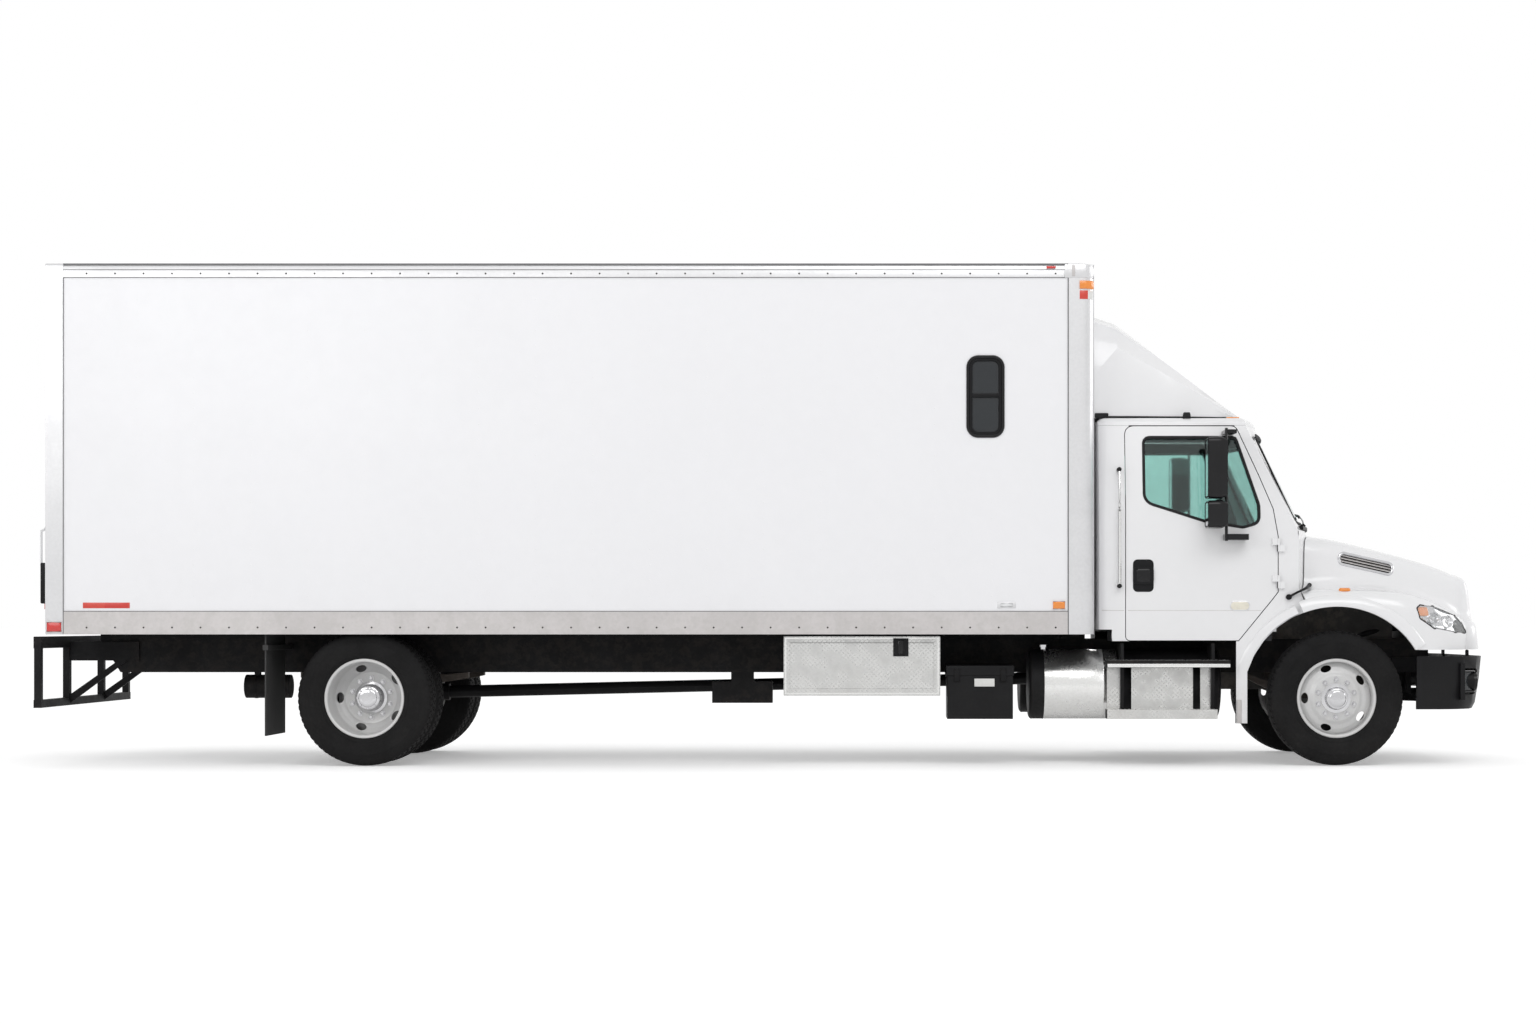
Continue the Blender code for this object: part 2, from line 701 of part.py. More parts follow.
def tyre(side, centre_y, x, name, holder):
    """A tyre as one turned ring with a flat tread, round shoulders and a bead."""
    half = TYRE_HALF_WIDTH
    outer_half = [(TYRE_RADIUS, TREAD_HALF_WIDTH), (TYRE_RADIUS - SHOULDER_DROP, half - 0.010),
                  ((TYRE_RADIUS + BEAD_RADIUS) / 2, half), (FLANGE_RADIUS + 0.004, BEAD_HALF_WIDTH),
                  (BEAD_RADIUS, BEAD_HALF_WIDTH)]
    down = [(radius, out) for radius, out in outer_half[::-1]]
    profile = down + [(radius, -out) for radius, out in outer_half]
    ring = turned(profile, (x, side * centre_y, WHEEL_HEIGHT), side, WHEEL_FACETS)
    return finish(ring, name, own(name, RUBBER, 0.85), holder)


def hand_holes(x, centre_y, side, span):
    """A ring of oval cutters through a wheel disc, longest round the wheel."""
    bm = bmesh.new()
    middle = side * (centre_y + (span[0] + span[1]) / 2)
    for index in range(HAND_HOLES):
        angle = 2 * math.pi * (index + 0.5) / HAND_HOLES
        place = Vector((x + HAND_HOLE_RADIUS * math.cos(angle), middle,
                        WHEEL_HEIGHT + HAND_HOLE_RADIUS * math.sin(angle)))
        turn = Matrix.Rotation(-angle - math.pi / 2, 4, "Y") @ Matrix.Rotation(math.pi / 2, 4, "X")
        oval = Matrix.Diagonal((HAND_HOLE_ALONG, HAND_HOLE_ACROSS, span[1] - span[0], 1.0))
        bmesh.ops.create_cone(bm, cap_ends=True, segments=10, radius1=1.0, radius2=1.0, depth=1.0,
                              matrix=Matrix.Translation(place) @ turn @ oval)
    return add("hand_holes", bm)


def front_rim(side, name, holder):
    """A front wheel: barrel, outset disc with hand holes, hub and brake drum."""
    lip = BEAD_HALF_WIDTH + SEAT
    edge = lip + FLANGE_WIDTH
    outer = BEAD_RADIUS - SEAT
    inner = outer - BARREL_WALL
    bore = (SPINDLE_RADIUS + PIN_GAP) / math.cos(math.pi / WHEEL_FACETS)
    drum_back = FRONT_DRUM_BACK
    profile = [(0.0, 0.165), (0.058, 0.160), (0.078, 0.138), (0.086, 0.092), (0.172, 0.092),
               (0.245, 0.066), (inner, 0.042), (inner, edge), (FLANGE_RADIUS, edge),
               (FLANGE_RADIUS, lip), (outer, lip), (outer, -lip), (FLANGE_RADIUS, -lip),
               (FLANGE_RADIUS, -edge), (inner, -edge), (inner, 0.028), (0.240, 0.052),
               (DRUM_RADIUS, 0.068), (DRUM_RADIUS, drum_back), (bore, drum_back),
               (bore, SPINDLE_REACH + 0.010), (0.0, SPINDLE_REACH + 0.010)]
    wheel = turned(profile, (FRONT_AXLE_X, side * FRONT_WHEEL_Y, WHEEL_HEIGHT), side, WHEEL_FACETS)
    cut(wheel, hand_holes(FRONT_AXLE_X, FRONT_WHEEL_Y, side, (0.020, 0.110)))
    return finish(wheel, name, own(name, (0.75, 0.75, 0.74), 0.45, 0.2), holder)


def rear_rim(side, name, holder):
    """A twin wheel: two barrels back to back, dished discs, hub and brake drum."""
    lip = BEAD_HALF_WIDTH + SEAT
    outer = BEAD_RADIUS - SEAT
    inner = outer - BARREL_WALL
    near = TWIN_SPACING / 2 - lip
    far = TWIN_SPACING / 2 + lip
    bore = (REAR_TUBE_RADIUS + PIN_GAP) / math.cos(math.pi / WHEEL_FACETS)
    hub = [(0.0, 0.172), (0.070, 0.168), (0.092, 0.150), (0.105, 0.014), (0.195, 0.014)]
    dish = [(0.245, 0.050), (inner, 0.080), (inner, far + FLANGE_WIDTH),
            (FLANGE_RADIUS, far + FLANGE_WIDTH), (FLANGE_RADIUS, far), (outer, far), (outer, near),
            (inner, near), (0.236, 0.028)]
    inner_dish = [(radius, -out) for radius, out in dish[::-1]]
    drum = [(0.195, -0.014), (DRUM_RADIUS, -0.030), (DRUM_RADIUS, REAR_DRUM_BACK), (bore, REAR_DRUM_BACK),
            (bore, 0.100), (0.0, 0.100)]
    profile = hub + dish + inner_dish + drum
    wheel = turned(profile, (REAR_AXLE_X, side * REAR_WHEEL_Y, WHEEL_HEIGHT), side, WHEEL_FACETS)
    cut(wheel, hand_holes(REAR_AXLE_X, REAR_WHEEL_Y, side, (-0.090, 0.090)))
    return finish(wheel, name, own(name, (0.75, 0.75, 0.74), 0.45, 0.2), holder)


def running_gear():
    """Axles, steering and all wheels."""
    front_axle()
    rear_axle()
    for word, side in SIDES.items():
        kingpin = pivot(f"kingpin_{word}", (FRONT_AXLE_X, side * KINGPIN_Y, WHEEL_HEIGHT))
        knuckle(side, f"knuckle_{word}", kingpin)
        front = pivot(f"front_hub_{word}", (FRONT_AXLE_X, side * FRONT_WHEEL_Y, WHEEL_HEIGHT))
        rear = pivot(f"rear_hub_{word}", (REAR_AXLE_X, side * REAR_WHEEL_Y, WHEEL_HEIGHT))
        tyre(side, FRONT_WHEEL_Y, FRONT_AXLE_X, f"front_tyre_{word}", front)
        front_rim(side, f"front_rim_{word}", front)
        half = TWIN_SPACING / 2
        tyre(side, REAR_WHEEL_Y + half, REAR_AXLE_X, f"rear_tyre_outer_{word}", rear)
        tyre(side, REAR_WHEEL_Y - half, REAR_AXLE_X, f"rear_tyre_inner_{word}", rear)
        rear_rim(side, f"rear_rim_{word}", rear)
    ball_joint = pivot("tie_rod_joint", (FRONT_AXLE_X - STEER_ARM_LENGTH, -KINGPIN_Y, WHEEL_HEIGHT))
    tie_rod(ball_joint)


# Load body


def side_section(side):
    """The cross-section of a side: bottom rail, thin wall and top rail."""
    skin = BOX_HALF - RAIL_STEP
    inner = BOX_HALF - BOX_WALL
    shelf = BOX_HALF - TOP_RAIL_WIDTH
    rail_low = BOX_TOP - TOP_RAIL
    points = [(BOX_HALF, BOX_BOTTOM), (BOX_HALF, BOX_BOTTOM + BOTTOM_RAIL), (skin, BOX_BOTTOM + BOTTOM_RAIL),
              (skin, rail_low), (BOX_HALF, rail_low), (BOX_HALF, BOX_TOP - 0.030),
              (BOX_HALF - 0.010, BOX_TOP - 0.009), (BOX_HALF - 0.030, BOX_TOP), (shelf, BOX_TOP),
              (shelf, rail_low - BITE), (inner, rail_low - BITE), (inner, BOX_BOTTOM)]
    return [(side * y, z) for y, z in points]


def box_side(side, name):
    """One side wall of the load body."""
    span = (BOX_REAR + REAR_POST + SEAT, BOX_FRONT - FRONT_POST - SEAT)
    wall = plate(side_section(side), "yz", span)
    if name == WINDOW_SIDE:
        opening = inset(rectangle(WINDOW_X, WINDOW_Z, WINDOW_RADIUS), WINDOW_LIP)
        cut(wall, plate(opening, "xz", (side * (BOX_HALF - 2 * BOX_WALL), side * (BOX_HALF + BOX_WALL))))
    return finish(wall, name, own(name, WHITE_PAINT, 0.35))


def box_window():
    """The two-pane window in the right side: frame, divider and panes in one solid."""
    side = SIDES["right"]
    skin = BOX_HALF - RAIL_STEP
    outline = rectangle(WINDOW_X, WINDOW_Z, WINDOW_RADIUS)
    frame = plate(outline, "xz", (side * (skin + SEAT), side * (skin + WINDOW_PROUD)))
    plug = plate(inset(outline, WINDOW_LIP + SEAT), "xz", (side * (BOX_HALF - BOX_WALL), side * (skin + BITE)))
    fuse(frame, plug)
    middle = (WINDOW_Z[0] + WINDOW_Z[1]) / 2
    edge_x = (WINDOW_X[0] + WINDOW_FRAME, WINDOW_X[1] - WINDOW_FRAME)
    for low, high in ((WINDOW_Z[0] + WINDOW_FRAME, middle - WINDOW_FRAME / 2),
                      (middle + WINDOW_FRAME / 2, WINDOW_Z[1] - WINDOW_FRAME)):
        pane = rectangle(edge_x, (low, high), WINDOW_RADIUS / 2)
        cut(frame, plate(pane, "xz", (side * (skin - 0.002), side * (BOX_HALF + BOX_WALL))))
    return finish(frame, "box_window", own("box_window", BLACK_PAINT, 0.25))


def box_floor():
    """The deck on its cross sills, which rest on two long sills along the frame."""
    inner = BOX_HALF - BOX_WALL - SEAT
    reach = (BOX_REAR + REAR_POST + SEAT, BOX_FRONT - FRONT_POST - SEAT)
    deck = box(reach, (-inner, inner), (DECK_TOP - DECK_THICKNESS, DECK_TOP))
    bm = bmesh.new()
    count = int((reach[1] - reach[0] - SILL_WIDTH) / SILL_PITCH) + 1
    height = DECK_TOP - DECK_THICKNESS + BITE - BOX_BOTTOM
    for index in range(count):
        centre = (reach[0] + SILL_WIDTH + index * SILL_PITCH, 0.0, BOX_BOTTOM + height / 2)
        size = Matrix.Diagonal((SILL_WIDTH, 2 * (inner - 0.010), height, 1.0))
        bmesh.ops.create_cube(bm, size=1.0, matrix=Matrix.Translation(centre) @ size)
    fuse(deck, add("cross_sills", bm))
    for side in SIDES.values():
        sill_y = (side * (FRAME_HALF - LONG_SILL_WIDTH), side * FRAME_HALF)
        fuse(deck, box((FRAME_REAR, reach[1] - 0.020), sill_y, (FRAME_TOP + SEAT, BOX_BOTTOM + BITE)))
    return finish(deck, "box_floor", own("box_floor", (0.30, 0.24, 0.17), 0.7))


def box_front():
    """The front wall with its two rounded corner posts, bent from one outline."""
    leg = BOX_HALF - TOP_RAIL_WIDTH
    rear = BOX_FRONT - FRONT_POST
    corners = [(rear, BOX_HALF, 0.0), (BOX_FRONT, BOX_HALF, FRONT_CORNER_RADIUS),
               (BOX_FRONT, -BOX_HALF, FRONT_CORNER_RADIUS), (rear, -BOX_HALF, 0.0), (rear, -leg, 0.0),
               (BOX_FRONT - FRONT_WALL, -leg, 0.0), (BOX_FRONT - FRONT_WALL, leg, 0.0), (rear, leg, 0.0)]
    wall = plate(rounded(corners, 5), "xy", (BOX_BOTTOM, BOX_TOP))
    edge = BOX_FRONT + BITE
    top = BOX_TOP + BITE
    radius = FRONT_CORNER_RADIUS
    steps = 4
    centre = (BOX_FRONT - radius, BOX_TOP - radius)
    arc = [(centre[0] + radius * math.sin(math.pi / 2 * step / steps),
            centre[1] + radius * math.cos(math.pi / 2 * step / steps)) for step in range(steps + 1)]
    crop = [(centre[0], top), *arc, (edge, centre[1]), (edge, top)]
    cut(wall, plate(crop, "xz", (-BOX_HALF * 1.1, BOX_HALF * 1.1)))
    return finish(wall, "box_front", own("box_front", WHITE_PAINT, 0.35))


def box_roof():
    """The roof sheet between the top rails."""
    half = BOX_HALF - TOP_RAIL_WIDTH - SEAT
    x = (BOX_REAR + REAR_POST + SEAT, BOX_FRONT - FRONT_WALL - SEAT)
    sheet = box(x, (-half, half), (BOX_TOP - ROOF_THICKNESS, BOX_TOP - 0.006))
    return finish(sheet, "box_roof", own("box_roof", WHITE_PAINT, 0.4))


def box_rear_frame():
    """The rear portal: posts, header and sill in one ring, with lamps and grab handles."""
    span = (BOX_REAR, BOX_REAR + REAR_POST)
    ring = plate(rectangle((-BOX_HALF, BOX_HALF), (BOX_BOTTOM, BOX_TOP), 0.020), "yz", span,
                 holes=[rectangle((-DOOR_OPENING_HALF, DOOR_OPENING_HALF),
                                  (BOX_BOTTOM + BOTTOM_RAIL, DOOR_OPENING_TOP))])
    both_sides = sorted({-y for y in REAR_LAMPS_Y} | set(REAR_LAMPS_Y))
    lamps = [(y, BOX_TOP - 0.090, 0.060, 0.022) for y in both_sides]
    for side in SIDES.values():
        lamps.append((side * (BOX_HALF - REAR_POST_FACE / 2), BOX_BOTTOM + 0.300, 0.055, 0.110))
    for y, z, half_y, half_z in lamps:
        fuse(ring, box((BOX_REAR - LAMP_PROUD, BOX_REAR + BITE), (y - half_y, y + half_y),
                       (z - half_z, z + half_z)))
    for side in SIDES.values():
        y = side * (BOX_HALF - 0.030)
        low, high = 1.500, 1.800
        out = BOX_REAR - 0.039
        points = [(BOX_REAR + BITE, y, low), (out, y, low + 0.020), (out, y, high - 0.020),
                  (BOX_REAR + BITE, y, high)]
        fuse(ring, tube(points, 0.011, facets=1))
    return finish(ring, "box_rear_frame", own("box_rear_frame", WHITE_PAINT, 0.35))


def box_rear_door():
    """The closed roll-up door, with a groove between its slats."""
    out = BOX_REAR + 0.030
    back = out + 0.028
    low = BOX_BOTTOM + BOTTOM_RAIL + SEAT
    high = DOOR_OPENING_TOP - SEAT
    face = [(out, low)]
    count = int((high - low) / SLAT_PITCH)
    for index in range(1, count + 1):
        seam = low + index * SLAT_PITCH
        half = SLAT_GROOVE / 2
        face += [(out, seam - half), (out + half, seam - half), (out + half, seam + half), (out, seam + half)]
    outline = face + [(out, high), (back, high), (back, low)]
    half_width = DOOR_OPENING_HALF - SEAT
    shutter = plate(outline, "xz", (-half_width, half_width))
    handle = box((out - 0.022, out + BITE), (-0.120, 0.120), (low + 0.100, low + 0.160))
    fuse(shutter, handle)
    return finish(shutter, "box_rear_door", own("box_rear_door", WHITE_PAINT, 0.4))


def load_body():
    """All pieces of the load body."""
    box_floor()
    for word, side in SIDES.items():
        box_side(side, f"box_side_{word}")
    box_window()
    box_front()
    box_roof()
    box_rear_frame()
    box_rear_door()


# Lofted and inset outlines


def inset(outline, distance):
    """The outline moved inward by a distance, or outward if it is negative."""
    points = [Vector(point) for point in outline]
    area = sum(a.x * b.y - b.x * a.y for a, b in zip(points, points[1:] + points[:1]))
    turn = 1.0 if area > 0.0 else -1.0
    moved = []
    for before, here, after in zip(points[-1:] + points[:-1], points, points[1:] + points[:1]):
        first = (here - before).normalized()
        second = (after - here).normalized()
        normal_a = Vector((-first.y, first.x)) * turn
        normal_b = Vector((-second.y, second.x)) * turn
        middle = (normal_a + normal_b).normalized()
        moved.append(tuple(here + middle * distance / middle.dot(normal_a)))
    return moved


def loft(loops, name="loft"):
    """A closed solid through like loops of points, with flat ends."""
    bm = bmesh.new()
    rings = [[bm.verts.new(point) for point in loop] for loop in loops]
    for ring, following in zip(rings, rings[1:]):
        for index, vert in enumerate(ring):
            ahead = (index + 1) % len(ring)
            bm.faces.new((vert, ring[ahead], following[ahead], following[index]))
    bmesh.ops.triangulate(bm, faces=bm.faces[:])
    bm.faces.new(rings[0])
    bm.faces.new(rings[-1])
    return add(name, bm)


# Cab


def door_outline():
    """The door seen from the side: raked front edge, hinge line and round top."""
    front = DOOR_FRONT
    return rounded([(DOOR_REAR, DOOR_BOTTOM, 0.030), (front - 0.300, DOOR_BOTTOM, 0.0),
                    (front - 0.047, 1.262, 0.0), (front, 1.324, 0.0), (front, 1.747, 0.0),
                    (front - 0.038, 1.956, 0.0), (front - 0.144, 2.216, 0.0),
                    (front - 0.312, DOOR_TOP, 0.050), (DOOR_REAR, DOOR_TOP, 0.060)], 3)


def window_outline():
    """The door window, with its lower edge dropping toward the mirror."""
    front = DOOR_FRONT
    return rounded([(DOOR_REAR + 0.139, DOOR_GLASS_TOP, 0.045), (DOOR_REAR + 0.139, 2.010, 0.090),
                    (front - 0.552, 1.860, 0.0), (front - 0.264, 1.815, 0.0),
                    (front - 0.140, 1.850, 0.060), (front - 0.144, 1.990, 0.0),
                    (front - 0.313, DOOR_GLASS_TOP, 0.030)], 3)


def seam_x(y, gap=0.0):
    """The seam between cowl and hood, bowed forward in the middle."""
    share = min(1.0, abs(y) / CAB_HALF)
    return SEAM_CENTRE_X - (SEAM_CENTRE_X - SEAM_SIDE_X) * share * share + gap


def seam_line(gap, half):
    """Points along the seam, seen from above, from one side of the cab to the other."""
    return [(seam_x(y, gap), y) for y in (half * (step / 6 - 1) for step in range(13))]


def screen_x(y, z):
    """The windscreen's outer face: raked back, and wrapped round at the sides."""
    rake = (SCREEN_HEAD[0] - SCREEN_BASE[0]) / (SCREEN_HEAD[1] - SCREEN_BASE[1])
    centre = SCREEN_BASE[0] + rake * (z - SCREEN_BASE[1])
    return centre - SCREEN_WRAP * (y / CAB_HALF) ** 2


def screen_sheet(behind, thickness, half, low, high):
    """A sheet that follows the windscreen's face at a distance behind it."""
    steps = 10
    loops = []
    for step in range(steps + 1):
        y = half * (2 * step / steps - 1)
        loops.append([(screen_x(y, z) - behind - depth, y, z)
                      for z, depth in ((low, 0.0), (high, 0.0), (high, thickness), (low, thickness))])
    return loft(loops, "screen_sheet")


def screen_opening():
    """The windscreen opening seen from the front."""
    return rounded([(-SCREEN_HALF_BASE, SCREEN_BASE[1], 0.070), (SCREEN_HALF_BASE, SCREEN_BASE[1], 0.070),
                    (SCREEN_HALF_HEAD, SCREEN_HEAD[1], 0.070), (-SCREEN_HALF_HEAD, SCREEN_HEAD[1], 0.070)], 3)


def door_clearance(side):
    """A cutter one door gap larger than the door."""
    reach = (side * (CAB_HALF - 2 * CAB_WALL), side * (CAB_HALF + CAB_WALL))
    return plate(inset(door_outline(), -DOOR_GAP), "xz", reach)


def cab_floor():
    """The floor pan with deep sills, standing on pads on the frame."""
    half = CAB_HALF - CAB_WALL - DOOR_GAP
    section = [(CAB_SILL_INNER, CAB_BOTTOM), (half, CAB_BOTTOM), (half, CAB_FLOOR_TOP),
               (-half, CAB_FLOOR_TOP), (-half, CAB_BOTTOM), (-CAB_SILL_INNER, CAB_BOTTOM),
               (-CAB_SILL_INNER, CAB_PAN), (CAB_SILL_INNER, CAB_PAN)]
    pan = plate(section, "yz", (CAB_NOTCH_X + SEAT, FIREWALL_X - SEAT))
    for side in SIDES.values():
        for x in (2.780, 3.620):
            fuse(pan, box((x, x + 0.100), (side * (FRAME_HALF - FRAME_FLANGE), side * FRAME_HALF),
                          (FRAME_TOP + SEAT, CAB_PAN + BITE)))
    return finish(pan, "cab_floor", own("cab_floor", (0.20, 0.20, 0.21), 0.8))


def cab_rear():
    """The back wall and the rear corners of the cab, bent from one outline."""
    front = DOOR_REAR + 0.030
    inner = CAB_HALF - CAB_WALL
    corners = [(front, CAB_HALF, 0.0), (CAB_REAR, CAB_HALF, 0.070), (CAB_REAR, -CAB_HALF, 0.070),
               (front, -CAB_HALF, 0.0), (front, -inner, 0.0), (CAB_REAR + CAB_WALL, -inner, 0.030),
               (CAB_REAR + CAB_WALL, inner, 0.030), (front, inner, 0.0)]
    wall = plate(rounded(corners, 3), "xy", (CAB_BOTTOM, ROOF_SEAM - SEAT))
    wide = (-CAB_HALF * 1.1, CAB_HALF * 1.1)
    cut(wall, box((CAB_REAR - BITE, CAB_NOTCH_X), wide, (CAB_BOTTOM - BITE, CAB_NOTCH_Z)))
    cut(wall, *[door_clearance(side) for side in SIDES.values()])
    sill_half = CAB_HALF - CAB_WALL - DOOR_GAP
    floor_room = box((CAB_REAR + CAB_WALL, front + BITE), (-sill_half - SEAT, sill_half + SEAT),
                     (CAB_BOTTOM - BITE, CAB_FLOOR_TOP + SEAT))
    cut(wall, floor_room)
    for side in SIDES.values():
        rail_x = DOOR_REAR - 0.052
        face = side * (CAB_HALF - BITE)
        out = side * (CAB_HALF + 0.045)
        points = [(rail_x, face, 1.368), (rail_x, out, 1.390), (rail_x, out, 1.930), (rail_x, face, 1.950)]
        fuse(wall, tube(points, 0.012, facets=1))
    return finish(narrowed(wall), "cab_rear", own("cab_rear", WHITE_PAINT, 0.3))


def side_outline():
    """The cab's side ahead of the door: splash leg, wheel arch, hood seam and pillar."""
    arch = []
    start = math.acos((LEG_FRONT_X - FRONT_AXLE_X) / ARCH_RADIUS)
    end = math.acos((SEAM_SIDE_X + 0.068 - FRONT_AXLE_X) / ARCH_RADIUS)
    steps = 5
    for step in range(steps + 1):
        angle = start + (end - start) * step / steps
        arch.append((FRONT_AXLE_X + ARCH_RADIUS * math.cos(angle), ARCH_Z + ARCH_RADIUS * math.sin(angle)))
    pillar_foot = screen_x(CAB_HALF, 1.782) - BITE
    pillar_head = screen_x(CAB_HALF, ROOF_SEAM - SEAT) - BITE
    return [(LEG_REAR_X, LEG_BOTTOM), (LEG_FRONT_X, LEG_BOTTOM), *arch,
            (seam_x(CAB_HALF, -SEAM_GAP), 1.360), (seam_x(CAB_HALF, -SEAM_GAP), 1.700),
            (pillar_foot, 1.765), (pillar_head, ROOF_SEAM - SEAT), (LEG_REAR_X, ROOF_SEAM - SEAT)]


def hinge_barrels(side, above):
    """Half of the door hinges: barrels on the hinge line, each with its strap."""
    made = []
    reach = HINGE_STRAP if above else -HINGE_STRAP
    for height in HINGE_HEIGHTS:
        low = height + PIN_GAP / 2 if above else height - HINGE_LENGTH
        high = height + HINGE_LENGTH if above else height - PIN_GAP / 2
        made.append(rod((HINGE_X, side * HINGE_Y, low), (HINGE_X, side * HINGE_Y, high), HINGE_RADIUS, 12))
        made.append(box((HINGE_X, HINGE_X - reach), (side * (CAB_HALF - BITE), side * (HINGE_Y + BITE)),
                        (low, high)))
    return made


def cab_front():
    """Cowl, firewall, side panels and windscreen frame in one welded piece."""
    half = CAB_HALF - CAB_WALL / 2
    front = seam_line(-SEAM_GAP, half)
    outline = front + [(FIREWALL_X, half), (FIREWALL_X, -half)]
    cowl = plate(outline, "xy", (COWL_Z[0], COWL_Z[1]))
    fuse(cowl, box((FIREWALL_X, FIREWALL_X + FIREWALL_WALL), (-half, half), (CAB_PAN, COWL_Z[0] + BITE)))
    frame = screen_sheet(0.0, SCREEN_FRAME, CAB_HALF - BITE, COWL_Z[1] - BITE, ROOF_SEAM - SEAT)
    cut(frame, plate(screen_opening(), "yz", (CAB_REAR, BUMPER_REAR)))
    ahead = seam_line(-SEAM_GAP, CAB_HALF) + [(BUMPER_REAR, CAB_HALF), (BUMPER_REAR, -CAB_HALF)]
    cut(frame, plate(ahead, "xy", (COWL_Z[0], BELT)))
    fuse(cowl, frame)
    for side in SIDES.values():
        fuse(cowl, plate(side_outline(), "xz", (side * (CAB_HALF - CAB_WALL), side * CAB_HALF)))
    cut(cowl, *[door_clearance(side) for side in SIDES.values()])
    for side in SIDES.values():
        fuse(cowl, *hinge_barrels(side, False))
    return finish(narrowed(cowl), "cab_front", own("cab_front", WHITE_PAINT, 0.3))


def windscreen():
    """The curved windscreen, seated in its opening."""
    sheet = screen_sheet(0.014, SCREEN_THICKNESS, CAB_HALF - BITE, COWL_Z[1], ROOF_SEAM)
    keep_inside(sheet, plate(inset(screen_opening(), GLASS_GAP), "yz", (CAB_REAR, BUMPER_REAR)))
    return finish(narrowed(sheet), "windscreen", own("windscreen", GLASS, 0.05, 0.0, 0.45))


def cab_roof():
    """The roof panel with rounded edges and its row of marker lamps."""
    half = CAB_HALF
    front = [(screen_x(y, ROOF_SEAM), y) for y in (half * (1 - step / 4) for step in range(9))]
    outline = rounded([(CAB_REAR, -half, 0.070), *[(x, -y, 0.0) for x, y in front],
                       (CAB_REAR, half, 0.070)], 3)
    loops = []
    for share, shrink in ((0.0, 0.0), (0.45, 0.0), (0.82, 0.4), (1.0, 1.0)):
        loops.append([(x, y, ROOF_SEAM + ROOF_RISE * share) for x, y in inset(outline, ROOF_ROUND * shrink)])
    roof = loft(loops)
    for y in ROOF_LAMP_Y:
        x = screen_x(y, ROOF_SEAM) - 0.130
        fuse(roof, box((x - 0.050, x + 0.050), (y - 0.022, y + 0.022), (CAB_ROOF - BITE, CAB_ROOF + 0.016)))
    return finish(narrowed(roof), "cab_roof", own("cab_roof", WHITE_PAINT, 0.3))


def cab_door(side, name, holder):
    """A door as thick as its wall, with its window cut, hinges and pull handle."""
    face = (side * (CAB_HALF - CAB_WALL), side * CAB_HALF)
    leaf = plate(door_outline(), "xz", face, holes=[window_outline()])
    handle = rectangle((DOOR_REAR + 0.053, DOOR_REAR + 0.211), (1.380, 1.515), 0.030)
    fuse(leaf, plate(handle, "xz", (side * (CAB_HALF - BITE), side * (CAB_HALF + 0.016))))
    fuse(leaf, *hinge_barrels(side, True))
    return finish(narrowed(leaf), name, own(name, WHITE_PAINT, 0.3), holder)


def door_glass(side, name, holder):
    """The door's glass, in the middle of its thickness."""
    middle = CAB_HALF - CAB_WALL / 2
    pane = plate(inset(window_outline(), GLASS_GAP), "xz", (side * (middle - 0.004), side * (middle + 0.004)))
    return finish(narrowed(pane), name, own(name, GLASS, 0.05, 0.0, 0.45), holder)


def mirror(side, name, holder):
    """A mirror on an upright arm, with a flat glass above and a round-cornered one below."""
    arm_x, arm_y = MIRROR_ARM
    low, high = MIRROR_ARM_Z
    radius = MIRROR_ARM_RADIUS
    arm = rod((arm_x, side * arm_y, low), (arm_x, side * arm_y, high), radius, 10)
    upper = CAB_HALF * cab_width_at(high - 0.042) + SEAT
    fuse(arm, box((arm_x - radius / 2, arm_x + 0.080), (side * upper, side * (arm_y + BITE)),
                  (high - 0.038, high - 0.010)))
    lower = CAB_HALF + SEAT
    fuse(arm, box((arm_x - radius / 2, arm_x + 0.170), (side * lower, side * (arm_y + BITE)),
                  (low + 0.008, low + 0.053)))
    for head in MIRROR_HEADS:
        shape = rectangle((side * MIRROR_Y[0], side * MIRROR_Y[1]), head, MIRROR_CORNER)
        loops = [[(x, y, z) for y, z in inset(shape, shrink)]
                 for x, shrink in ((arm_x - 0.150, 0.004), (arm_x - 0.050, 0.0), (arm_x - 0.004, 0.022))]
        fuse(arm, loft(loops))
    return finish(arm, name, own(name, BLACK_PAINT, 0.4), holder)


def dashboard():
    """The dashboard on the firewall, with steering column and wheel."""
    face = FIREWALL_X - SEAT
    low = DASH_BOTTOM
    outline = [(face, low), (face, low + 0.340), (face - 0.120, low + 0.360), (face - 0.300, low + 0.300),
               (face - 0.320, low + 0.220), (face - 0.220, low + 0.030)]
    half = CAB_HALF - CAB_WALL - DOOR_GAP - 0.030
    top = plate(outline, "xz", (-half, half))
    hub = Vector((face - 0.4397, DRIVER_Y, low + 0.380))
    lean = Vector((-0.72, 0.0, 0.69)).normalized()
    fuse(top, rod(hub - lean * 0.300, hub, 0.030, 12), rod(hub - lean * 0.030, hub + lean * 0.020, 0.060, 12))
    across = Vector((0.0, 1.0, 0.0))
    up = lean.cross(across)
    for angle in (0.0, math.pi, math.pi * 1.5):
        reach = hub + (across * math.cos(angle) + up * math.sin(angle)) * STEERING_RADIUS
        fuse(top, rod(hub, reach, 0.012, 6))
    ring = [hub + (across * math.cos(turn) + up * math.sin(turn)) * STEERING_RADIUS
            for turn in (2 * math.pi * step / 20 for step in range(20))]
    fuse(top, hoop(ring, 0.014))
    return finish(top, "dashboard", own("dashboard", (0.10, 0.10, 0.11), 0.75))


